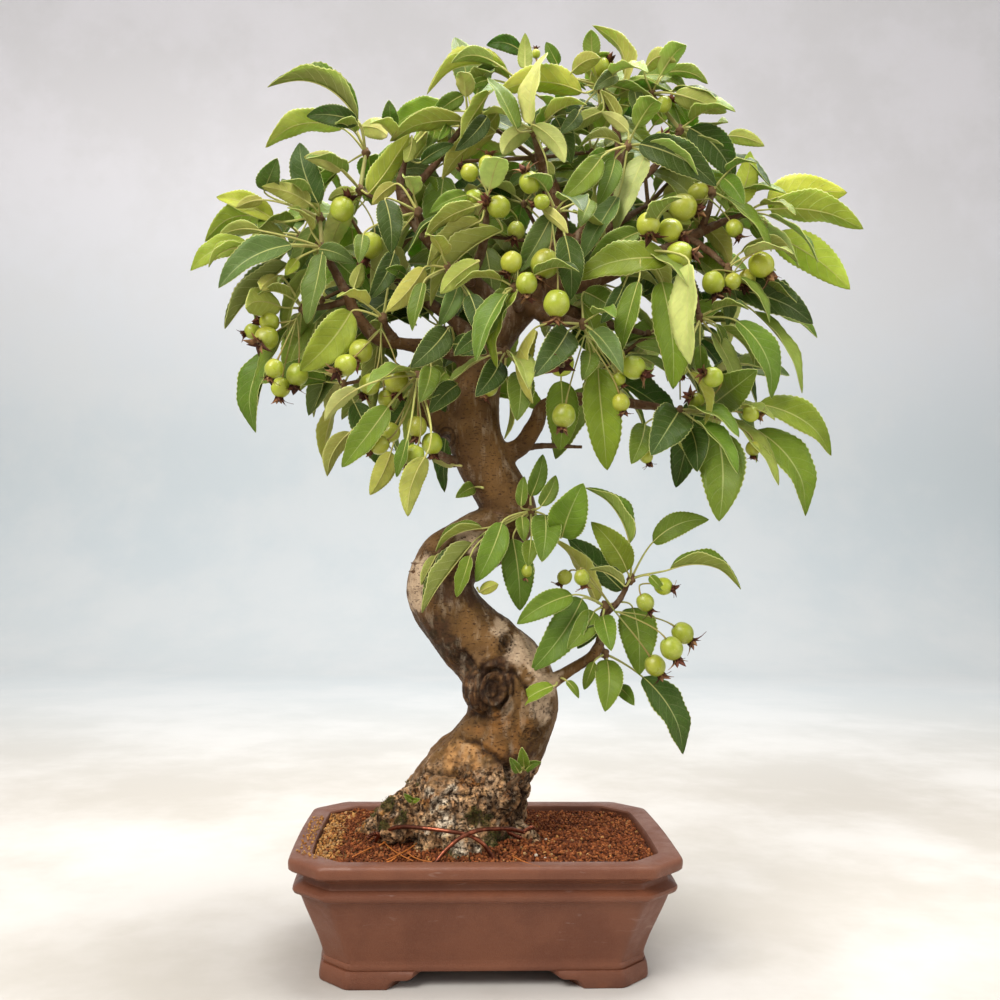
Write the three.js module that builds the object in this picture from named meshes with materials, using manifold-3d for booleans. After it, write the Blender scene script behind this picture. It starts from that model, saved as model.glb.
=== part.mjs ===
// A hall crabapple bonsai in a clay pot: the pot on eight feet, its drain screens and soil, the
// tree's wood, its leafy sprays, its bunches of fruit and two copper wires round the roots.
// Millimetres, +Z up, the front of the pot towards -Y.
import * as THREE from 'three';
import { mergeVertices } from 'three/addons/utils/BufferGeometryUtils.js';
import Module from 'manifold-3d';

const wasm = await Module();
wasm.setup();

// The pot
const RIM_HALF_WIDTH = 125;
const RIM_TOP = 80;
const DEPTH_LESS = 38.5; // how much shorter the half depth is than the half width, all the way down
const RIM_CORNER_CUT = 21;
const SIDE_BOW = 1.5;
const RIM_FLANGE = 14;
const BODY_BOTTOM = 10;
const FLOOR_TOP = 18;
const FOOT_HALF_WIDTH = 105;
const FOOT_BAND = 12;
const DRAIN_RADIUS = 8;
const DRAIN_X = 48;
const SCREEN_SIDE = 26;
const SCREEN_THICK = 0.8;
// The tree
const GAP = 0.32; // clearance between pieces that touch
const CORE_RADIUS = 4.2; // the bud that a spray's leaf stalks grow from
const FRUIT_CORE_RADIUS = 3;
const FRUIT_CORE_OFFSET = 8;
const LEAF_THICK = 1.7;
const STALK_HALF_WIDTH = 0.8;
const STALK_START = 1; // from the bud's middle, inside it
const BLADE_RATIO = 2.05; // length to width of a whole blade
const WIRE_RADIUS = 1.35;

// The front view: an eye point and the axes of a picture 1000 points wide and high. Places on the
// tree are given as points of it, across and down, and a depth in millimetres behind the pot's middle.
const PICTURE_MIDDLE = 500;
const EYE = new THREE.Vector3(-28, -743, 270);
const EYE_REACH = 1072; // picture points per unit of slope
const EYE_YAW = 0.049;
const EYE_RISE = 0.049;
const EYE_ROLL = 0.012;
const eyeForward = new THREE.Vector3(
  Math.sin(EYE_YAW) * Math.cos(EYE_RISE), Math.cos(EYE_YAW) * Math.cos(EYE_RISE), Math.sin(EYE_RISE));
const levelRight = new THREE.Vector3(Math.cos(EYE_YAW), -Math.sin(EYE_YAW), 0);
const levelUp = new THREE.Vector3().crossVectors(levelRight, eyeForward);
const eyeRight = levelRight.clone().multiplyScalar(Math.cos(EYE_ROLL))
  .addScaledVector(levelUp, Math.sin(EYE_ROLL));
const eyeUp = levelUp.clone().multiplyScalar(Math.cos(EYE_ROLL))
  .addScaledVector(levelRight, -Math.sin(EYE_ROLL));

// The point of the tree that stands at (across, down) in the front view, at the given depth.
function sight(across, down, depth) {
  const ray = eyeForward.clone()
    .addScaledVector(eyeRight, (across - PICTURE_MIDDLE) / EYE_REACH)
    .addScaledVector(eyeUp, (PICTURE_MIDDLE - down) / EYE_REACH);
  return EYE.clone().addScaledVector(ray, (depth - EYE.y) / ray.y);
}

// Millimetres per picture point at a depth.
function pointSize(depth) {
  return (depth - EYE.y) / EYE_REACH;
}

// A repeatable draw of numbers from 0 to 1, in 32-bit whole-number steps.
function draws(seed) {
  let state = seed >>> 0;
  return () => {
    state = (state + 0x6d2b79f5) >>> 0;
    let mixed = Math.imul(state ^ (state >>> 15), state | 1);
    mixed = (mixed + Math.imul(mixed ^ (mixed >>> 7), mixed | 61)) ^ mixed;
    return ((mixed ^ (mixed >>> 14)) >>> 0) / 4294967296;
  };
}

// Solids

function solidFromTriangles(points, triangles) {
  const vertProperties = new Float32Array(points.length * 3);
  points.forEach((point, i) => point.toArray(vertProperties, i * 3));
  const make = (list) => new wasm.Manifold(new wasm.Mesh({
    numProp: 3, vertProperties, triVerts: Uint32Array.from(list.flat()) }));
  const solid = make(triangles);
  return solid.volume() > 0 ? solid : make(triangles.map(([a, b, c]) => [a, c, b]));
}

function solidFromGeometry(geometry) {
  const bare = new THREE.BufferGeometry();
  bare.setAttribute('position', geometry.getAttribute('position'));
  if (geometry.index) bare.setIndex(geometry.index);
  const merged = mergeVertices(bare, 1e-3);
  const position = merged.getAttribute('position');
  const points = [];
  for (let i = 0; i < position.count; i += 1) {
    points.push(new THREE.Vector3().fromBufferAttribute(position, i));
  }
  const triangles = [];
  for (let i = 0; i < merged.index.count; i += 3) {
    const [a, b, c] = [0, 1, 2].map((k) => merged.index.getX(i + k));
    if (a !== b && b !== c && c !== a) triangles.push([a, b, c]);
  }
  return solidFromTriangles(points, triangles);
}

function joined(solids) {
  return solids.reduce((whole, solid) => whole.add(solid));
}

// The largest connected part of a solid; a cut's loose scraps are dropped.
function largestPart(solid) {
  return solid.decompose().reduce((best, part) => (part.volume() > best.volume() ? part : best));
}

// Rings of equally many points, skinned in turn and closed by a flat face at each end.
function loft(rings) {
  const count = rings[0].length;
  const triangles = [];
  for (let ring = 0; ring + 1 < rings.length; ring += 1) {
    for (let k = 0; k < count; k += 1) {
      const a = ring * count + k;
      const b = ring * count + (k + 1) % count;
      triangles.push([a, b, b + count], [a, b + count, a + count]);
    }
  }
  const lastRing = (rings.length - 1) * count;
  for (let k = 1; k + 1 < count; k += 1) {
    triangles.push([0, k + 1, k], [lastRing, lastRing + k, lastRing + k + 1]);
  }
  return solidFromTriangles(rings.flat(), triangles);
}

// A round limb through the given points, each with its own radius.
function limb(stations, sides, extra = 0) {
  const curve = new THREE.CatmullRomCurve3(stations.map((station) => station.at), false, 'centripetal');
  const last = stations.length - 1;
  let side = new THREE.Vector3(1, 0.2, 0.1).normalize();
  const rings = stations.map((station, i) => {
    const along = curve.getTangent(i / last);
    side = side.clone().addScaledVector(along, -side.dot(along)).normalize();
    const across = new THREE.Vector3().crossVectors(along, side);
    const endwise = (i === last ? extra : 0) - (i === 0 ? extra : 0);
    return Array.from({ length: sides }, (unused, k) => {
      const turn = (2 * Math.PI * k) / sides;
      const reach = station.radius + extra;
      return station.at.clone().addScaledVector(along, endwise).addScaledVector(side, Math.cos(turn) * reach)
        .addScaledVector(across, Math.sin(turn) * reach);
    });
  });
  return loft(rings);
}

// Pot, screens and soil

// A rectangle with cut corners and gently bowed short sides, at one height.
function potOutline(halfWidth, height, footing = 0) {
  const halfDepth = halfWidth - DEPTH_LESS - footing;
  const cut = RIM_CORNER_CUT * halfWidth / RIM_HALF_WIDTH;
  const corner = halfWidth - SIDE_BOW;
  const bowSteps = [-1, 0, 1];
  const end = (sign) => bowSteps.map((step) => new THREE.Vector3(
    sign * (corner + SIDE_BOW * (1 - step * step)), sign * step * (halfDepth - cut), height));
  return [
    new THREE.Vector3(-corner + cut, -halfDepth, height),
    new THREE.Vector3(corner - cut, -halfDepth, height),
    ...end(1),
    new THREE.Vector3(corner - cut, halfDepth, height),
    new THREE.Vector3(-corner + cut, halfDepth, height),
    ...end(-1),
  ];
}

// Half width and height down the pot's outside, from the notch over the feet up to the rim.
const POT_OUTSIDE = [
  [101.5, 10], [104, 12], [103.6, 15], [107, 27], [118, 56.5], [120.6, 57.8], [122, 61.4],
  [117, 65], [116.6, 69.8], [124.4, 73], [125, 76], [124.4, 79], [123.4, RIM_TOP],
];
// Half width and height down the inside.
const POT_INSIDE = [[RIM_HALF_WIDTH - RIM_FLANGE, RIM_TOP], [110, 57], [97, FLOOR_TOP]];

// A prism across the pot that opens the band between two feet, with rounded cloud ends.
function footGap(lowLeft, highLeft, highRight, lowRight, turned) {
  const top = BODY_BOTTOM + 0.8;
  const shape = new THREE.Shape();
  shape.moveTo(lowLeft, -1);
  shape.quadraticCurveTo(lowLeft + 1, 5, (lowLeft + highLeft) / 2, 5.5);
  shape.quadraticCurveTo(highLeft, 6, highLeft, top);
  shape.lineTo(highRight, top);
  shape.quadraticCurveTo(highRight, 6, (lowRight + highRight) / 2, 5.5);
  shape.quadraticCurveTo(lowRight - 1, 5, lowRight, -1);
  const length = 2 * RIM_HALF_WIDTH;
  const geometry = new THREE.ExtrudeGeometry(shape, { depth: length, bevelEnabled: false, curveSegments: 2 });
  geometry.rotateX(Math.PI / 2);
  geometry.translate(0, length / 2, 0);
  if (turned) geometry.rotateZ(Math.PI / 2);
  return solidFromGeometry(geometry);
}

function makePot() {
  const rings = [...POT_OUTSIDE, ...POT_INSIDE].map(([half, height]) => potOutline(half, height));
  const body = loft(rings);
  const block = (half, low, high) => loft([potOutline(half, low, 0.5), potOutline(half, high, 0.5)]);
  const feet = block(FOOT_HALF_WIDTH, 0, BODY_BOTTOM + 0.5)
    .subtract(block(FOOT_HALF_WIDTH - FOOT_BAND, -1, BODY_BOTTOM + 1))
    .subtract(footGap(-61, -43, 43, 60, false))
    .subtract(footGap(-27, -16, 16, 27, true));
  const drains = [-DRAIN_X, DRAIN_X].map((x) => {
    const bore = new THREE.CylinderGeometry(DRAIN_RADIUS, DRAIN_RADIUS, 20, 12);
    bore.rotateX(Math.PI / 2);
    bore.translate(x, 0, (BODY_BOTTOM + FLOOR_TOP) / 2);
    return solidFromGeometry(bore);
  });
  return body.add(feet).subtract(joined(drains));
}

// A thin square of mesh over a drain hole; extra makes the room that it takes.
function makeScreen(x, extra = 0) {
  const side = SCREEN_SIDE + 2 * extra;
  const plate = new THREE.BoxGeometry(side, side, SCREEN_THICK + 2 * extra);
  plate.translate(x, 0, FLOOR_TOP + GAP + SCREEN_THICK / 2);
  return solidFromGeometry(plate);
}

// The soil's top: mounded towards the trunk, a little lower to the right.
function soilTop(x, y) {
  const mound = 5 * Math.exp(-(((x + 22) / 62) ** 2) - (y / 46) ** 2);
  return 76 + mound - 1.8 * Math.max(0, x) / RIM_HALF_WIDTH;
}

function makeSoil(holes) {
  const wall = POT_INSIDE.slice().reverse();
  const lower = wall.slice(0, 2).map(([half, height]) => potOutline(half - 0.4, height + GAP));
  const edge = 110.4;
  const spread = [1, 0.7, 0.42, 0.16];
  const upper = spread.map((scale) => potOutline(edge, 0).map((corner) => {
    const x = corner.x * scale;
    const y = corner.y * scale;
    return new THREE.Vector3(x, y, soilTop(x, y));
  }));
  return largestPart(loft([...lower, ...upper]).subtract(holes));
}

// Wood

// Each limb: picture point across and down, depth, radius, all but the first in millimetres.
const WOOD = {
  trunk_foot: { sides: 9, run: [
    [455, 872, 6, 41], [458, 828, 4, 45], [471, 790, 2, 39], [491, 757, 0, 32.5],
    [507, 731, -1, 29.5], [513, 698, -2, 31.5], [504, 673, -3, 30], [489, 654, -4, 27],
    [471, 636, -4, 25], [453, 616, -5, 23.5], [440, 592, -6, 22.5], [440, 563, -6, 19]] },
  trunk_bend: { sides: 8, run: [
    [440, 584, -6, 19], [447, 564, -6, 21.5], [472, 547, -4, 21.5], [501, 529, -1, 20], [509, 508, 0, 18]] },
  trunk_top: { sides: 8, run: [
    [505, 532, -1, 17.5], [509, 510, 0, 19], [498, 487, 0, 18.5], [482, 458, 0, 19], [473, 428, 0, 19],
    [476, 388, 2, 17.5], [487, 350, 3, 15.2], [505, 325, 4, 13], [532, 298, 4, 10.8],
    [557, 256, 4, 8.6], [556, 205, 3, 6.6], [545, 170, 0, 4.8], [535, 137, -14, 2.2]] },
  left_low_limb: { sides: 5, run: [
    [470, 436, 0, 10], [446, 426, -6, 8.5], [428, 412, -16, 6], [420, 393, -22, 4], [418, 379, -26, 1.8]] },
  left_limb: { sides: 5, run: [
    [486, 366, 2, 8], [452, 352, 0, 6.5], [410, 345, -6, 5.2], [377, 338, -10, 4.6], [357, 316, -10, 4.2],
    [347, 295, -9, 3.8], [332, 266, -9, 3], [323, 251, -10, 1.8]] },
  left_inner_spur: { sides: 4, run: [
    [396, 341, -8, 3.6], [388, 330, -15, 2.8], [384, 321, -21, 1.8]] },
  left_lowest_spur: { sides: 4, run: [
    [349, 300, -9, 3], [328, 306, -8, 2.4], [306, 309, -6, 1.8]] },
  left_high_limb: { sides: 5, run: [
    [508, 322, 4, 8], [484, 292, 0, 6.4], [450, 262, -4, 5.4], [424, 234, -6, 4.8], [409, 212, -6, 4.4],
    [400, 188, -6, 3.4], [405, 161, -6, 1.8]] },
  left_top_twig: { sides: 4, run: [
    [417, 224, -6, 3.6], [392, 206, -9, 2.8], [361, 191, -12, 1.8]] },
  inner_left_spur: { sides: 4, run: [
    [424, 234, -6, 3], [422, 222, -18, 2.4], [419, 214, -28, 1.8]] },
  crown_left_twig: { sides: 4, run: [
    [404, 198, -6, 3], [432, 168, -8, 2.8], [456, 136, -12, 2.2], [467, 121, -14, 1.7]] },
  heart_left_spur: { sides: 4, run: [
    [470, 281, -2, 4], [482, 250, -20, 3.2], [486, 224, -36, 2.4], [486, 208, -43, 1.8]] },
  heart_low_left_spur: { sides: 4, run: [
    [474, 284, -2, 3.6], [460, 276, -24, 2.8], [449, 269, -44, 1.8]] },
  heart_spur: { sides: 4, run: [
    [558, 236, 0, 4], [558, 226, -24, 3], [556, 215, -47, 1.8]] },
  heart_low_spur: { sides: 4, run: [
    [520, 310, 2, 4.4], [516, 302, -24, 3], [514, 291, -49, 1.8]] },
  throat_spur: { sides: 4, run: [
    [492, 352, -2, 4], [500, 352, -18, 2.8], [505, 352, -30, 1.8]] },
  right_top_limb: { sides: 5, run: [
    [553, 264, 4, 6], [588, 228, 0, 5], [612, 192, -10, 3.8], [626, 150, -24, 1.8]] },
  top_right_twig: { sides: 4, run: [
    [616, 182, -12, 3], [618, 140, -4, 2.6], [606, 100, -4, 2], [601, 91, -4, 1.7]] },
  right_crown_twig: { sides: 4, run: [
    [606, 204, -8, 3.2], [650, 172, -4, 2.6], [678, 133, -4, 1.7]] },
  right_limb: { sides: 5, run: [
    [540, 290, 4, 7], [584, 284, 2, 5.6], [634, 264, -2, 4.8], [684, 240, -4, 4], [718, 224, -3, 3],
    [743, 214, 0, 1.7]] },
  right_upper_spur: { sides: 4, run: [
    [700, 232, -4, 3], [708, 212, -8, 2.4], [712, 195, -12, 1.7]] },
  right_heart_spur: { sides: 4, run: [
    [634, 264, -2, 3.6], [638, 258, -28, 2.6], [640, 251, -53, 1.8]] },
  right_mid_spur: { sides: 4, run: [
    [690, 238, -4, 3], [712, 254, -10, 2.4], [726, 267, -14, 1.7]] },
  right_low_spur: { sides: 4, run: [
    [676, 244, -4, 3.2], [692, 282, -14, 2.6], [699, 315, -24, 1.8]] },
  low_centre_limb: { sides: 5, run: [
    [528, 304, 2, 7], [550, 318, -12, 5.2], [568, 322, -28, 3.8], [581, 324, -43, 1.9]] },
  right_low_limb: { sides: 5, run: [
    [494, 458, 0, 8], [520, 447, -4, 6.6], [536, 424, -4, 6], [546, 404, -3, 5], [586, 399, -4, 4.2],
    [636, 404, -10, 3.4], [677, 410, -19, 1.8]] },
  dead_stick: { sides: 4, run: [
    [506, 452, 0, 3.6], [540, 446, -2, 2.2], [582, 447, -2, 1.2]] },
  crook_spur: { sides: 4, run: [
    [514, 500, 0, 5], [528, 502, -8, 3.4], [531, 508, -14, 1.8]] },
  lower_branch: { sides: 5, run: [
    [528, 694, -10, 6.5], [552, 682, -16, 5], [572, 669, -16, 4.2], [591, 657, -14, 3.8], [600, 643, -12, 3.4],
    [602, 622, -12, 2.8], [604, 610, -13, 1.8]] },
  lower_branch_tip: { sides: 4, run: [
    [602, 616, -12, 2.6], [618, 602, -13, 2.2], [629, 582, -14, 1.7]] },
  lower_branch_spur: { sides: 4, run: [
    [600, 646, -12, 2.6], [604, 652, -10, 1.8]] },
  stub: { sides: 5, run: [[456, 462, -6, 4], [444, 457, -12, 3], [436, 451, -15, 2.2]] },
  sprout_stem: { sides: 4, run: [[508, 786, -30, 2.4], [516, 780, -38, 1.6], [521, 773, -41, 1.2]] },
  back_left: { sides: 5, run: [
    [486, 352, 6, 8], [450, 318, 26, 5], [410, 290, 40, 3.4], [382, 271, 49, 1.8]] },
  back_low_left: { sides: 5, run: [
    [478, 396, 4, 7], [450, 392, 22, 4.6], [424, 384, 38, 3], [408, 374, 43, 1.8]] },
  back_top: { sides: 5, run: [
    [558, 234, 6, 6], [548, 196, 20, 4], [536, 160, 31, 1.8]] },
  back_middle: { sides: 5, run: [
    [532, 296, 8, 7], [538, 270, 30, 4.6], [544, 244, 47, 1.8]] },
  back_right: { sides: 5, run: [
    [552, 262, 8, 6], [602, 232, 24, 4.4], [646, 206, 39, 1.8]] },
  back_low_right: { sides: 5, run: [
    [538, 300, 8, 6], [588, 318, 24, 4.4], [646, 334, 37, 1.8]] },
};

// Surface roots, from the trunk's foot down into the soil, by heading round the trunk in degrees.
const ROOTS = [
  { heading: 178, reach: 66, drop: 0, stout: 15 }, { heading: 212, reach: 60, drop: 2, stout: 13 },
  { heading: 246, reach: 54, drop: 0, stout: 14 }, { heading: 272, reach: 60, drop: 0, stout: 17 },
  { heading: 305, reach: 54, drop: 3, stout: 12 }, { heading: 340, reach: 66, drop: 2, stout: 12 },
  { heading: 22, reach: 60, drop: 3, stout: 11 }, { heading: 78, reach: 48, drop: 3, stout: 12 },
  { heading: 134, reach: 52, drop: 2, stout: 12 },
];
const TRUNK_FOOT = new THREE.Vector3(-22, 2, 0);

function rootStations(root) {
  const heading = THREE.MathUtils.degToRad(root.heading);
  const place = (reach, height, radius) => ({
    at: new THREE.Vector3(TRUNK_FOOT.x + Math.cos(heading) * reach, TRUNK_FOOT.y + Math.sin(heading) * reach, height),
    radius });
  return [
    place(22, 102 - root.drop, root.stout + 1), place(34, 88 - root.drop, root.stout),
    place(root.reach * 0.78, 78 - root.drop, root.stout * 0.66), place(root.reach, 67 - root.drop, root.stout * 0.36),
  ];
}

// Ring scars where limbs were cut off long ago: picture point, depth, ring radius, bead radius.
const SCARS = [[493, 689, -28, 12, 3.4], [507, 641, -24, 7.5, 2.4]];

function makeWood(extra) {
  const parts = Object.values(WOOD).map(({ sides, run }) => limb(
    run.map(([across, down, depth, radius]) => ({ at: sight(across, down, depth), radius })), sides, extra));
  ROOTS.forEach((root) => parts.push(limb(rootStations(root), 5, extra)));
  SCARS.forEach(([across, down, depth, ringRadius, bead]) => {
    const ring = new THREE.TorusGeometry(ringRadius, bead + extra, 3, 7);
    ring.rotateX(Math.PI / 2);
    ring.rotateZ(0.35);
    ring.translate(...sight(across, down, depth).toArray());
    parts.push(solidFromGeometry(ring));
  });
  return joined(parts);
}

// Copper wires that tie the roots: picture points with depth.
const WIRES = {
  wire_low: [
    [370, 850, -27], [381, 834, -33], [399, 827, -44], [422, 828, -53], [447, 831, -59], [468, 835, -60], [482, 843, -62],
    [489, 852, -61], [494, 862, -60]],
  wire_high: [
    [434, 865, -70], [444, 852, -67], [460, 838, -66], [476, 831, -62], [492, 829, -54], [510, 829, -42],
    [523, 832, -32]],
};

function makeWire(points, extra = 0) {
  const path = new THREE.CatmullRomCurve3(points.map(([across, down, depth]) => sight(across, down, depth)));
  const section = new THREE.Shape();
  section.absarc(0, 0, WIRE_RADIUS + extra, 0, 2 * Math.PI);
  return solidFromGeometry(new THREE.ExtrudeGeometry(section, {
    steps: 10, curveSegments: 3, bevelEnabled: false, extrudePath: path }));
}

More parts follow.
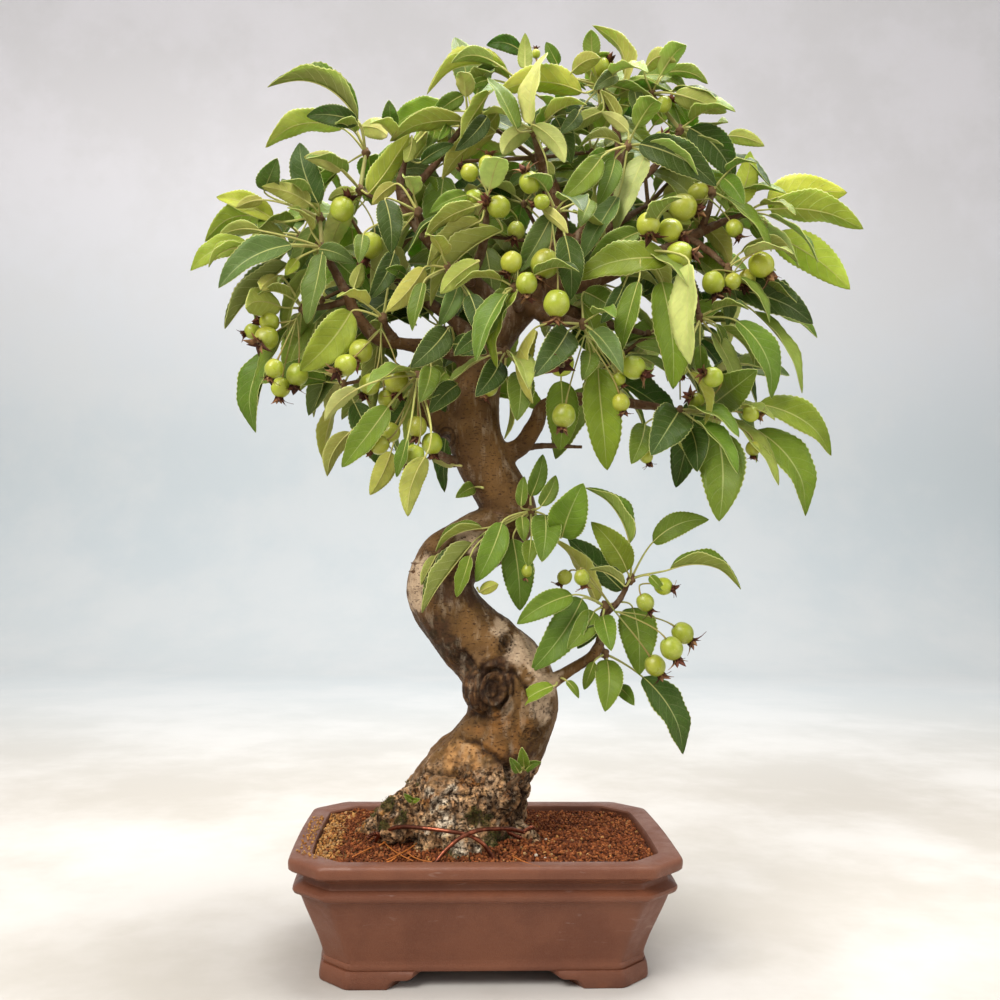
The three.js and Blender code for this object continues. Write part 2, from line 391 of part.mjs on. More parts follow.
// Leafy sprays. buds: picture point and depth of each bud, the first on the wood and each further
// one on a green shoot from it. Each leaf row: the bud's number, where the blade starts (across,
// down), where its tip is (across, down), the width seen, the face that shows, and how far the
// rib bows to the upper side (or to the right on an upright leaf), all in picture points.
const SPRAYS = {
  left_top: { buds: [[360, 190, -12], [366, 153, -4]], leaves: [
    [1, 358, 120, 268, 85, 26, 'fold', 14], [1, 358, 122, 306, 116, 22, 'upper', 4],
    [1, 342, 128, 265, 145, 24, 'under', 10], [1, 360, 127, 329, 118, 14, 'under', 2],
    [1, 360, 127, 388, 136, 22, 'under', 4], [0, 342, 169, 304, 157, 18, 'under', 4],
    [0, 369, 193, 407, 134, 25, 'under', 5], [0, 355, 192, 328, 200, 14, 'under', 2]] },
  left_outer: { buds: [[322, 248, -10], [320, 218, -4]], leaves: [
    [1, 318, 203, 299, 141, 30, 'upper', -4], [1, 264, 190, 277, 159, 23, 'upper', 0],
    [1, 310, 204, 263, 187, 22, 'under', 4], [1, 318, 206, 296, 193, 12, 'under', 2],
    [1, 273, 219, 216, 195, 22, 'upper', 2], [1, 262, 200, 236, 208, 12, 'under', 2],
    [1, 271, 221, 205, 239, 24, 'under', 12], [0, 259, 230, 217, 237, 14, 'under', 3],
    [0, 248, 244, 190, 270, 22, 'upper', 6], [0, 246, 247, 208, 266, 10, 'fold', 4],
    [0, 287, 242, 249, 243, 20, 'under', 12], [0, 291, 245, 218, 287, 28, 'upper', 6],
    [0, 288, 264, 222, 326, 22, 'fold', -4], [0, 322, 254, 306, 324, 22, 'upper', 4],
    [0, 319, 249, 354, 263, 18, 'upper', 3], [0, 297, 260, 285, 275, 12, 'upper', 0]] },
  left_low: { buds: [[303, 309, -6]], leaves: [
    [0, 281, 307, 242, 308, 28, 'under', 6], [0, 277, 276, 259, 291, 14, 'under', 2],
    [0, 289, 306, 287, 275, 12, 'upper', 0], [0, 272, 349, 253, 432, 24, 'upper', -8]] },
  left_inner: { buds: [[383, 318, -22]], leaves: [
    [0, 351, 312, 300, 371, 38, 'upper', 4], [0, 329, 393, 252, 453, 26, 'under', 4],
    [0, 354, 288, 362, 263, 14, 'under', 0], [0, 394, 253, 370, 298, 22, 'upper', 3],
    [0, 405, 275, 386, 269, 12, 'upper', 2]] },
  left_foot: { buds: [[418, 376, -26]], leaves: [
    [0, 352, 416, 266, 461, 22, 'fold', 8], [0, 350, 432, 326, 476, 18, 'under', -4],
    [0, 388, 407, 341, 467, 28, 'upper', 3], [0, 357, 389, 324, 420, 16, 'under', 2],
    [0, 391, 452, 370, 495, 22, 'under', 2], [0, 425, 457, 407, 516, 24, 'under', -4],
    [0, 407, 439, 396, 477, 12, 'upper', 2], [0, 443, 352, 424, 377, 14, 'fold', 0],
    [0, 445, 372, 420, 400, 28, 'upper', 0], [0, 457, 385, 430, 412, 22, 'upper', 2]] },
  top_left: { buds: [[405, 158, -6]], leaves: [
    [0, 391, 127, 389, 101, 17, 'upper', 0], [0, 443, 105, 388, 131, 24, 'upper', 4],
    [0, 412, 137, 405, 163, 14, 'under', 2], [0, 435, 126, 427, 148, 14, 'upper', 2],
    [0, 421, 162, 454, 144, 16, 'upper', 2], [0, 395, 174, 439, 176, 16, 'upper', 6]] },
  inner_left: { buds: [[418, 212, -30]], leaves: [
    [0, 385, 200, 391, 253, 26, 'upper', 3], [0, 395, 184, 372, 205, 14, 'under', 2],
    [0, 363, 235, 359, 262, 16, 'upper', 0]] },
  crown_left: { buds: [[468, 118, -14]], leaves: [
    [0, 463, 121, 389, 137, 20, 'under', 3], [0, 463, 95, 431, 119, 18, 'upper', 2],
    [0, 489, 92, 459, 138, 14, 'under', 2], [0, 487, 117, 456, 150, 20, 'upper', 2],
    [0, 494, 133, 440, 178, 22, 'under', 3], [0, 498, 112, 470, 142, 20, 'under', 2]] },
  heart_left: { buds: [[486, 205, -44]], leaves: [
    [0, 467, 195, 430, 212, 16, 'upper', 2], [0, 475, 206, 424, 236, 18, 'under', 2],
    [0, 480, 221, 425, 264, 20, 'under', 2], [0, 501, 231, 427, 302, 25, 'fold', 4]] },
  heart_low_left: { buds: [[448, 268, -46]], leaves: [
    [0, 424, 268, 386, 312, 24, 'under', 3], [0, 423, 283, 411, 330, 15, 'upper', 2],
    [0, 458, 285, 439, 326, 20, 'upper', 2], [0, 482, 335, 455, 355, 18, 'upper', 2],
    [0, 470, 295, 480, 337, 22, 'upper', 2]] },
  apex: { buds: [[534, 132, -16], [528, 92, -2]], leaves: [
    [1, 522, 52, 486, 45, 18, 'upper', 6], [1, 525, 68, 525, 34, 16, 'under', 0],
    [1, 558, 65, 546, 42, 14, 'upper', 0], [1, 508, 72, 426, 88, 24, 'fold', 10],
    [1, 494, 62, 451, 62, 16, 'under', 6], [1, 488, 80, 468, 90, 10, 'upper', 2],
    [0, 531, 124, 545, 51, 17, 'upper', -3], [0, 517, 129, 490, 75, 16, 'upper', -2],
    [0, 531, 127, 501, 156, 22, 'under', 5], [0, 534, 125, 566, 163, 20, 'under', 5],
    [0, 556, 118, 571, 163, 22, 'upper', 2], [0, 547, 161, 547, 192, 12, 'fold', 0]] },
  top_right: { buds: [[600, 88, -4]], leaves: [
    [0, 572, 72, 601, 58, 20, 'under', 4], [0, 592, 58, 591, 29, 18, 'under', 0],
    [0, 619, 95, 595, 25, 16, 'under', 14], [0, 617, 75, 595, 89, 16, 'upper', 2],
    [0, 582, 92, 497, 92, 30, 'under', 8], [0, 579, 112, 560, 133, 16, 'upper', 2],
    [0, 601, 112, 568, 132, 16, 'under', 2], [0, 619, 121, 602, 90, 12, 'under', 0],
    [0, 619, 95, 663, 88, 18, 'under', 6], [0, 637, 77, 690, 91, 16, 'upper', 6],
    [0, 634, 88, 640, 118, 16, 'upper', 0]] },
  right_crown: { buds: [[680, 130, -4], [652, 94, -6]], leaves: [
    [1, 645, 70, 677, 62, 20, 'under', 10], [1, 668, 72, 708, 83, 14, 'under', 4],
    [1, 675, 94, 726, 113, 24, 'under', 2], [1, 676, 102, 688, 121, 8, 'upper', 0],
    [0, 676, 131, 729, 173, 12, 'under', 3], [0, 690, 128, 734, 181, 34, 'upper', 8],
    [0, 728, 136, 764, 146, 16, 'under', 3]] },
  upper_right: { buds: [[628, 146, -26]], leaves: [
    [0, 628, 131, 601, 112, 14, 'under', 2], [0, 620, 143, 578, 146, 14, 'fold', 5],
    [0, 605, 152, 587, 158, 12, 'upper', 0], [0, 601, 158, 561, 200, 25, 'upper', 2],
    [0, 615, 159, 598, 204, 22, 'upper', 2], [0, 645, 155, 613, 231, 25, 'upper', 3],
    [0, 617, 197, 581, 257, 24, 'upper', 2], [0, 640, 144, 717, 185, 34, 'upper', 5]] },
  heart: { buds: [[556, 212, -50]], leaves: [
    [0, 542, 209, 569, 233, 12, 'under', 0], [0, 552, 215, 519, 272, 27, 'upper', 2],
    [0, 565, 236, 571, 299, 28, 'upper', 3], [0, 590, 200, 580, 226, 18, 'upper', 0]] },
  right_upper: { buds: [[712, 192, -12]], leaves: [
    [0, 695, 219, 733, 265, 20, 'under', 3], [0, 696, 248, 731, 273, 16, 'upper', 2],
    [0, 724, 178, 744, 204, 20, 'upper', 2]] },
  right_heart: { buds: [[640, 250, -56]], leaves: [
    [0, 639, 232, 588, 263, 24, 'upper', 2], [0, 668, 259, 575, 277, 34, 'upper', 5],
    [0, 662, 282, 674, 389, 42, 'upper', 2], [0, 689, 264, 686, 364, 27, 'upper', 4],
    [0, 638, 282, 620, 352, 22, 'upper', 2], [0, 623, 287, 601, 323, 18, 'upper', 2]] },
  right_tip: { buds: [[746, 213, 0]], leaves: [
    [0, 767, 201, 845, 193, 40, 'under', 5], [0, 771, 209, 863, 226, 34, 'under', 4],
    [0, 774, 236, 850, 289, 38, 'under', 5], [0, 734, 205, 750, 152, 26, 'under', 5],
    [0, 751, 221, 768, 223, 12, 'under', 0], [0, 752, 225, 764, 242, 10, 'upper', 0]] },
  right_mid: { buds: [[728, 268, -14]], leaves: [
    [0, 731, 289, 815, 322, 34, 'upper', 4], [0, 741, 252, 798, 259, 12, 'under', 8],
    [0, 724, 285, 728, 326, 16, 'upper', 2]] },
  right_low: { buds: [[700, 318, -24]], leaves: [
    [0, 720, 328, 755, 364, 14, 'fold', 3], [0, 737, 321, 773, 398, 26, 'upper', 8],
    [0, 716, 324, 723, 356, 8, 'upper', 2], [0, 690, 372, 707, 424, 12, 'under', 4],
    [0, 700, 345, 702, 379, 14, 'upper', 0]] },
  heart_low: { buds: [[514, 288, -52]], leaves: [
    [0, 515, 269, 498, 303, 18, 'upper', 2], [0, 505, 290, 489, 311, 14, 'upper', 0],
    [0, 517, 291, 493, 366, 16, 'upper', -6]] },
  throat: { buds: [[506, 352, -33]], leaves: [
    [0, 500, 362, 476, 396, 26, 'upper', 2], [0, 520, 372, 517, 420, 27, 'upper', 2]] },
  low_centre: { buds: [[583, 324, -47]], leaves: [
    [0, 533, 330, 535, 403, 14, 'fold', -22], [0, 568, 331, 535, 375, 34, 'upper', 2],
    [0, 561, 381, 560, 451, 33, 'upper', 2], [0, 598, 368, 609, 470, 40, 'upper', -3],
    [0, 590, 352, 583, 378, 20, 'upper', 2], [0, 585, 292, 625, 318, 26, 'upper', 2]] },
  low_right: { buds: [[680, 411, -22], [717, 413, -8]], leaves: [
    [0, 679, 411, 652, 454, 40, 'upper', 0], [0, 690, 428, 697, 470, 28, 'upper', 3],
    [0, 645, 425, 632, 462, 26, 'upper', 2], [1, 758, 404, 834, 454, 30, 'upper', 8],
    [1, 757, 430, 809, 515, 34, 'upper', 10], [1, 717, 433, 719, 519, 46, 'upper', 5],
    [1, 716, 402, 756, 371, 38, 'upper', 0]] },
  crook: { buds: [[531, 511, -18]], leaves: [
    [0, 531, 496, 543, 454, 18, 'upper', 2], [0, 521, 506, 524, 476, 12, 'upper', 0],
    [0, 541, 506, 556, 475, 16, 'upper', 2], [0, 522, 517, 524, 541, 14, 'upper', 0],
    [0, 545, 515, 542, 560, 30, 'upper', 2], [0, 502, 523, 476, 582, 27, 'upper', 2],
    [0, 472, 543, 420, 611, 20, 'fold', 4], [0, 482, 528, 435, 550, 16, 'fold', 3],
    [0, 470, 556, 456, 597, 15, 'upper', 2], [0, 513, 539, 520, 611, 32, 'upper', 2],
    [0, 531, 540, 528, 566, 16, 'upper', 0], [0, 562, 537, 583, 484, 38, 'upper', -2]] },
  lower_branch: { buds: [[631, 579, -15]], leaves: [
    [0, 630, 543, 588, 486, 22, 'fold', 4], [0, 627, 571, 592, 523, 30, 'upper', 4],
    [0, 622, 590, 568, 537, 28, 'upper', -2], [0, 653, 542, 709, 519, 24, 'upper', 6],
    [0, 670, 569, 742, 585, 22, 'fold', 8], [0, 624, 585, 589, 569, 16, 'fold', 2],
    [0, 650, 576, 664, 591, 10, 'upper', 0]] },
  lower_middle: { buds: [[605, 606, -14]], leaves: [
    [0, 597, 602, 558, 537, 16, 'under', 0], [0, 658, 608, 714, 618, 22, 'upper', 5],
    [0, 633, 608, 639, 673, 38, 'upper', 3], [0, 603, 616, 611, 650, 22, 'upper', 0],
    [0, 582, 599, 532, 670, 36, 'upper', 4], [0, 572, 595, 517, 624, 26, 'upper', 4],
    [0, 594, 612, 568, 648, 24, 'upper', 2]] },
  lower_low: { buds: [[605, 654, -10]], leaves: [
    [0, 607, 660, 605, 711, 29, 'upper', 3], [0, 618, 687, 634, 705, 14, 'upper', 2],
    [0, 643, 677, 685, 754, 30, 'upper', 6], [0, 594, 662, 584, 690, 12, 'upper', 0]] },
  sprout: { buds: [[522, 770, -43]], leaves: [
    [0, 524, 766, 522, 748, 12, 'upper', 0], [0, 526, 770, 541, 762, 9, 'upper', 2],
    [0, 519, 772, 510, 758, 9, 'upper', 0]] },
};

// Sprays behind the crown: bud, how many leaves it bears, the blades' mean length in millimetres, and
// the buds of the leaf tufts that fill the crown's inside, on shoots from that bud.
const BACK_SPRAYS = {
  back_left: { bud: [381, 270, 50], count: 8, length: 56, tufts: [
    [300, 236, 24], [322, 300, 34], [350, 216, 44], [372, 326, 40], [424, 222, 34], [410, 286, 22]] },
  back_low_left: { bud: [406, 372, 46], count: 7, length: 54, tufts: [
    [344, 384, 24], [444, 330, 44], [454, 388, 30]] },
  back_top: { bud: [535, 158, 34], count: 8, length: 50, tufts: [
    [472, 112, 20], [446, 162, 34], [592, 152, 40], [600, 108, 20]] },
  back_middle: { bud: [545, 243, 50], count: 9, length: 58, tufts: [
    [484, 236, 34], [498, 300, 44], [560, 322, 42], [600, 284, 46], [600, 232, 30], [524, 204, 26]] },
  back_right: { bud: [648, 205, 42], count: 8, length: 56, tufts: [
    [690, 160, 24], [714, 222, 22], [642, 142, 44], [672, 258, 46]] },
  back_low_right: { bud: [648, 335, 40], count: 8, length: 56, tufts: [
    [600, 372, 30], [692, 332, 42], [704, 380, 24], [736, 300, 24]] },
};

// First seeds of the random draws for each kind of piece; a spray or bunch takes the next hundred.
const SEEDS = { front: 100, back: 5100, tuft: 6000, fruit: 9000 };
const SEED_STEP = 100;

// Depth steps tried in turn when a leaf or fruit would cross another piece.
const DEPTH_STEPS = [0, -7, 7, -14, 14, -22, 22, -31, 31];

// Pairs of steps for a blade's start and tip, the smallest moves first.
function stepPairs() {
  const pairs = [];
  DEPTH_STEPS.forEach((unused, sum) => {
    for (let i = 0; i <= sum; i += 1) pairs.push([DEPTH_STEPS[i], DEPTH_STEPS[sum - i]]);
  });
  return pairs;
}

// How a leaf of the front view lies in space.
function frontLeaf(row, bud, seed, steps) {
  const next = draws(seed);
  const [, startAcross, startDown, tipAcross, tipDown, wide, face, bow] = row;
  const startDepth = bud[2] + (next() - 0.62) * 26 + steps[0];
  const start = sight(startAcross, startDown, startDepth);
  const seen = start.distanceTo(sight(tipAcross, tipDown, startDepth));
  const size = pointSize(startDepth);
  const width = Math.max(wide * size, seen / 2.5);
  const length = Math.max(seen, BLADE_RATIO * wide * size);
  const towards = Math.sqrt(Math.max(0, length * length - seen * seen));
  const tip = sight(tipAcross, tipDown, startDepth - towards + (next() - 0.5) * 12 + steps[1]);
  const along = tip.clone().sub(start).normalize();
  const view = EYE.clone().sub(start).normalize();
  const facing = view.clone().addScaledVector(along, -view.dot(along)).normalize();
  const aside = new THREE.Vector3().crossVectors(along, facing);
  if (aside.z < 0) aside.negate();
  const show = face === 'fold' ? 0.3 : Math.min(1, wide * size / width);
  const turned = Math.sqrt(1 - show * show);
  const outward = facing.multiplyScalar(face === 'under' ? -show : show).addScaledVector(aside, turned);
  const slant = Math.hypot(tipAcross - startAcross, tipDown - startDown);
  let bowAcross = (tipDown - startDown) / slant;
  let bowDown = -(tipAcross - startAcross) / slant;
  const lying = Math.abs(tipAcross - startAcross) >= Math.abs(tipDown - startDown);
  if ((lying && bowDown > 0) || (!lying && bowAcross < 0)) {
    bowAcross = -bowAcross;
    bowDown = -bowDown;
  }
  const bend = eyeRight.clone().multiplyScalar(bowAcross * bow * size)
    .addScaledVector(eyeUp, -bowDown * bow * size)
    .addScaledVector(outward, 0.06 * length);
  const fold = face === 'fold' ? 0.85 : 0.2;
  return { bud: sight(...bud), start, tip, outward, bend, width, fold };
}

// How a leaf behind the crown lies: headings by the golden angle, drooping outwards.
function backLeaf(spray, index, seed, steps) {
  const next = draws(seed);
  const bud = sight(...spray.bud);
  const heading = index * 2.4 + next() * 0.7;
  const lift = 0.55 - 1.15 * (index + 0.5) / spray.count + steps[0] * 0.012;
  const out = new THREE.Vector3(Math.cos(heading), 0.55 + 0.75 * Math.abs(Math.sin(heading)), lift).normalize();
  const stalk = 12 + 12 * next();
  const length = spray.length * (0.8 + 0.4 * next());
  const start = bud.clone().addScaledVector(out, stalk);
  const tip = start.clone().addScaledVector(out, length);
  tip.z -= length * (0.28 + 0.2 * next()) - steps[1] * 0.5;
  const along = tip.clone().sub(start).normalize();
  const up = new THREE.Vector3(0.2 * (next() - 0.5), 0.3, 1);
  const outward = up.addScaledVector(along, -up.dot(along)).normalize();
  const bend = outward.clone().multiplyScalar(0.09 * length);
  return { bud, start, tip, outward, bend, width: length / BLADE_RATIO, fold: 0.25 };
}

// How a leaf of a tuft lies: the leaves spread like spokes, their upper sides to the front. The steps
// swing the leaf and its tip to the front or to the back.
const TUFT_LEAVES = 3;
function tuftLeaf(spray, bud, index, seed, steps) {
  const next = draws(seed);
  const foot = sight(...bud);
  const heading = ((index + 0.6 * next()) * 2 * Math.PI) / TUFT_LEAVES + bud[0];
  const backward = 0.4 * next() - 0.1 + steps[0] * 0.015;
  const out = new THREE.Vector3(Math.cos(heading), backward, 0.8 * Math.sin(heading) + 0.1).normalize();
  const stalk = 8 + 8 * next();
  const length = spray.length * (0.75 + 0.35 * next());
  const start = foot.clone().addScaledVector(out, stalk);
  const tip = start.clone().addScaledVector(out, length);
  tip.z -= length * (0.1 + 0.2 * next());
  tip.y += steps[1] * 0.8;
  const along = tip.clone().sub(start).normalize();
  const up = new THREE.Vector3(0.5 * (next() - 0.5), -0.9, 0.7);
  const outward = up.addScaledVector(along, -up.dot(along)).normalize();
  const bend = outward.clone().multiplyScalar(0.08 * length);
  return { bud: foot, start, tip, outward, bend, width: length / BLADE_RATIO, fold: 0.25 };
}

// A leaf's half widths along its blade: part of the length, part of the half width.
const LONG_BLADE = [[0.26, 0.88], [0.54, 1], [0.82, 0.56]];
const MIDDLING_BLADE = [[0.32, 0.98], [0.7, 0.78]];
const SHORT_BLADE = [[0.45, 1]];
const LONG_FROM = 74;
const MIDDLING_FROM = 46;

// A four-cornered section of a leaf: left margin, rib's upper side, right margin, rib's under side.
function leafSection(middle, across, outward, half, lift, thick) {
  return [
    middle.clone().addScaledVector(across, -half).addScaledVector(outward, lift),
    middle.clone().addScaledVector(outward, thick / 2),
    middle.clone().addScaledVector(across, half).addScaledVector(outward, lift),
    middle.clone().addScaledVector(outward, -thick / 2),
  ];
}

// A section of the stalk, square to the given heading and turned as the blade is.
function stalkSection(middle, heading, bladeAcross, half, thick) {
  const across = bladeAcross.clone().addScaledVector(heading, -bladeAcross.dot(heading)).normalize();
  return leafSection(middle, across, new THREE.Vector3().crossVectors(across, heading), half, 0, thick);
}

// A whole leaf as one closed body: a straight stalk from the bud, then the blade down to the tip.
function leafSolid(plan, { swell = 0, stalkFrom = STALK_START, bladeOnly = false } = {}) {
  const along = plan.tip.clone().sub(plan.start);
  const length = along.length();
  along.normalize();
  const across = new THREE.Vector3().crossVectors(along, plan.outward).normalize();
  const stalk = plan.start.clone().sub(plan.bud);
  const reach = stalk.length();
  stalk.normalize();
  const corner = stalk.clone().add(along).addScaledVector(plan.outward, 0.2).normalize();
  const rings = [];
  if (!bladeOnly) {
    const from = plan.bud.clone().addScaledVector(stalk, Math.min(0.8 * reach, stalkFrom));
    rings.push(stalkSection(from, stalk, across, STALK_HALF_WIDTH + swell, LEAF_THICK - 0.2 + 2 * swell));
  }
  rings.push(stalkSection(plan.start, bladeOnly ? along : corner, across,
    STALK_HALF_WIDTH + 0.3 + swell, LEAF_THICK + 2 * swell));
  const shorter = length > MIDDLING_FROM ? MIDDLING_BLADE : SHORT_BLADE;
  const rows = length > LONG_FROM ? LONG_BLADE : shorter;
  rows.forEach(([part, fill]) => {
    const middle = plan.start.clone().lerp(plan.tip, part).addScaledVector(plan.bend, 4 * part * (1 - part));
    const half = fill * plan.width / 2 + swell;
    rings.push(leafSection(middle, across, plan.outward, half * Math.cos(plan.fold),
      half * Math.sin(plan.fold), LEAF_THICK + 2 * swell));
  });
  const points = [...rings.flat(), plan.tip.clone().addScaledVector(along, 2 * swell)];
  const triangles = [[0, 1, 2], [0, 2, 3]];
  for (let ring = 0; ring + 1 < rings.length; ring += 1) {
    const near = ring * 4;
    const far = near + 4;
    // Each of the four faces is split from the margin of the near section to the rib of the far one.
    triangles.push([near, far + 1, near + 1], [near, far, far + 1]);
    triangles.push([near + 2, near + 1, far + 1], [near + 2, far + 1, far + 2]);
    triangles.push([near + 2, far + 3, near + 3], [near + 2, far + 2, far + 3]);
    triangles.push([near, near + 3, far + 3], [near, far + 3, far]);
  }
  const lastRing = rings.length * 4 - 4;
  const tip = points.length - 1;
  for (let k = 0; k < 4; k += 1) triangles.push([lastRing + k, tip, lastRing + (k + 1) % 4]);
  return solidFromTriangles(points, triangles.map(([a, b, c]) => [a, c, b]));
}

// A leaf of the back or of a tuft as one closed body: three-cornered, flat above and keeled below, and
// tapering from its widest section both to its tip and to its bud.
const KEEL_WIDEST = 0.45; // how far along the blade it is widest
const KEEL_DEPTH = 1.3;
const KEEL_START = 0.8; // the most of the stalk's length that a start may be set back by
function keeledLeafSolid(plan, { swell = 0, stalkFrom = STALK_START, bladeOnly = false } = {}) {
  const along = plan.tip.clone().sub(plan.start).normalize();
  const across = new THREE.Vector3().crossVectors(along, plan.outward).normalize();
  const stalk = plan.start.clone().sub(plan.bud);
  const from = bladeOnly ? plan.start
    : plan.bud.clone().addScaledVector(stalk, Math.min(KEEL_START, stalkFrom / stalk.length()));
  const middle = plan.start.clone().lerp(plan.tip, KEEL_WIDEST)
    .addScaledVector(plan.bend, 4 * KEEL_WIDEST * (1 - KEEL_WIDEST));
  const section = (at, half) => [
    at.clone().addScaledVector(across, -half - swell).addScaledVector(plan.outward, swell),
    at.clone().addScaledVector(across, half + swell).addScaledVector(plan.outward, swell),
    at.clone().addScaledVector(plan.outward, -KEEL_DEPTH - swell)];
  const points = [
    ...section(from, STALK_HALF_WIDTH), ...section(middle, plan.width / 2),
    plan.tip.clone().addScaledVector(along, 2 * swell)];
  return solidFromTriangles(points, [
    [0, 2, 1], [0, 1, 4], [0, 4, 3], [1, 2, 5], [1, 5, 4], [2, 0, 3], [2, 3, 5], [3, 4, 6], [4, 5, 6],
    [5, 3, 6]]);
}

// Fruit bunches on the same buds. Each fruit row: picture point across and down, radius seen, and
// where its dried flower end shows (left out where it points straight at the viewer).
const BUNCHES = {
  left_top: { bud: 0, fruits: [[342, 210, 12.3, 352, 191], [370, 245, 13, 363, 261]] },
  left_inner: { bud: 0, fruits: [
    [361, 351, 12, 357, 360], [346, 365, 11, 340, 372], [370, 384, 10.5, 363, 397], [397, 380, 12.3, 397, 394],
    [386, 398, 8.5, 388, 408]] },
  left_foot: { bud: 0, fruits: [
    [391, 432, 9.7, 385, 443], [417, 426, 10.2, 416, 438], [432, 443, 10.7, 433, 454],
    [414, 455, 10.7, 408, 469], [380, 445, 9.5, 370, 451]] },
  left_low: { bud: 0, fruits: [
    [267, 338, 12, 262, 344], [270, 322, 9.5, 260, 321], [253, 331, 8, 246, 334], [297, 374, 11.2, 295, 386],
    [281, 387, 9.8, 279, 401], [274, 368, 9.5, 268, 382]] },
  heart_left: { bud: 0, fruits: [
    [470, 173, 9, 462, 168], [487, 165, 9, 489, 155], [474, 198, 9, 466, 203], [499, 207, 11.5, 489, 204],
    [516, 230, 9, 514, 238]] },
  heart_low: { bud: 0, fruits: [[512, 262, 11, 506, 274], [527, 283, 11, 527, 297]] },
  throat: { bud: 0, fruits: [[490, 387, 9, 485, 396]] },
  heart: { bud: 0, fruits: [
    [530, 183, 11, 526, 174], [542, 202, 8, 534, 204], [545, 263, 14.5, 540, 277], [557, 303, 13.5, 556, 318]] },
  top_right: { bud: 0, fruits: [[599, 67, 10, 609, 60], [536, 54, 4.5, 536, 49]] },
  right_crown: { bud: 0, fruits: [[663, 105, 8.5, 672, 99], [661, 140, 9, 662, 141]] },
  right_upper: { bud: 0, fruits: [[682, 207, 14, 697, 210], [698, 194, 11, 708, 190], [734, 228, 9, 738, 236]] },
  right_heart: { bud: 0, fruits: [[648, 224, 12, 649, 235], [670, 230, 12, 680, 236], [679, 254, 13, 691, 255]] },
  right_mid: { bud: 0, fruits: [
    [761, 264, 13, 770, 276], [747, 278, 9, 744, 286], [733, 281, 8.5, 728, 289], [713, 282, 11.5, 718, 300]] },
  low_centre: { bud: 0, fruits: [
    [561, 363, 13.3, 561, 366], [564, 415, 12, 562, 428], [633, 367, 12, 642, 374], [621, 402, 9, 624, 416]] },
  low_right: { bud: 0, fruits: [
    [696, 402, 9, 690, 398], [646, 456, 7, 650, 466], [750, 414, 8.5, 759, 416], [753, 448, 7.5, 753, 462],
    [713, 377, 10.5, 704, 374]] },
  lower_branch: { bud: 0, fruits: [[663, 586, 9, 671, 588], [645, 602, 9, 650, 610]] },
  lower_middle: { bud: 0, fruits: [
    [565, 577, 7.5, 560, 584], [582, 577, 8, 584, 586], [682, 633, 10.9, 692, 642], [671, 648, 11.5, 678, 661],
    [655, 665, 10.5, 661, 675]] },
};

// Half section of a fruit over its radius, from the stalk end to the flared dry flower end.
const FRUIT_PROFILE = [[0, -0.98], [0.93, -0.34], [0.86, 0.5], [0.4, 1.3], [0, 1.1]];

// A fruit: a turned bead on a three-sided stalk that leaves the bunch's core and comes in along the
// fruit's own axis.
function fruitPlan(row, bud, core, seed, step) {
  const next = draws(seed);
  const [across, down, reach, endAcross, endDown] = row;
  const depth = bud[2] - 5 + (next() - 0.5) * 10 + step;
  const size = pointSize(depth);
  const centre = sight(across, down, depth);
  const offset = eyeRight.clone().multiplyScalar((endAcross - across) * size)
    .addScaledVector(eyeUp, (down - endDown) * size);
  const radius = reach * size;
  const aside = offset.length();
  const axis = offset.addScaledVector(eyeForward, -Math.sqrt(Math.max(0.04, radius * radius - aside * aside)));
  axis.normalize();
  return { centre, radius, axis, core };
}

function fruitSolid(plan, { swell = 0, stalkFrom = 0 } = {}) {
  const { centre, radius, axis, core } = plan;
  const bead = new THREE.LatheGeometry(FRUIT_PROFILE.map(([out, up]) => new THREE.Vector2(
    out && out * radius * 1.06 + swell, up * radius + Math.sign(up) * swell)), 5);
  bead.applyQuaternion(new THREE.Quaternion().setFromUnitVectors(new THREE.Vector3(0, 1, 0), axis));
  bead.translate(...centre.toArray());
  const foot = centre.clone().addScaledVector(axis, -radius * 0.7);
  const elbow = centre.clone().addScaledVector(axis, -radius - 7);
  const from = core.clone().lerp(elbow, Math.min(0.7, stalkFrom / core.distanceTo(elbow)));
  const stalk = limb([
    { at: from, radius: 0.85 }, { at: elbow, radius: 0.8 }, { at: foot, radius: 0.95 }], 3, swell);
  return solidFromGeometry(bead).add(stalk);
}

// What has been placed so far, to keep the next leaf or fruit clear of it.
class Neighbours {
  constructor() {
    this.items = [];
  }

  // blade is the piece without its stalk.
  add(kind, family, whole, blade = whole) {
    this.items.push({ kind, family, whole, blade, box: whole.boundingBox() });
  }

  // True if the piece meets one that is already there. room holds its whole form and its trimmed
  // form, both swollen by the clearance. Leaves of one spray may share their stalks' first stretch.
  clash(kind, family, room, blade) {
    const box = room.whole.boundingBox();
    return this.items.some((item) => {
      const apart = [0, 1, 2].some((k) => item.box.min[k] > box.max[k] || item.box.max[k] < box.min[k]);
      const akin = item.family === family;
      const grownFrom = akin && item.kind === (kind === 'fruit' ? 'core' : 'bud');
      if (apart || grownFrom) return false;
      if (akin && item.kind === kind) return blade.intersect(item.blade).volume() > 1e-4;
      const touching = item.kind === 'wood' || (akin && item.kind !== 'bud');
      return (touching ? room.trimmed : room.whole).intersect(item.whole).volume() > 1e-4;
    });
  }
}

function budCore(bud, radius, extra = 0) {
  const core = new THREE.OctahedronGeometry(radius + extra, 0);
  core.translate(...bud.toArray());
  return solidFromGeometry(core);
}

// The middle of a bunch's core: off the bud, towards the mean of its fruits.
function fruitCore(bud, fruits) {
  const mean = new THREE.Vector3();
  fruits.forEach(([across, down]) => mean.add(sight(across, down, bud[2] - 10)));
  const centre = sight(...bud);
  mean.divideScalar(fruits.length).sub(centre).normalize();
  return centre.addScaledVector(mean, FRUIT_CORE_OFFSET);
}

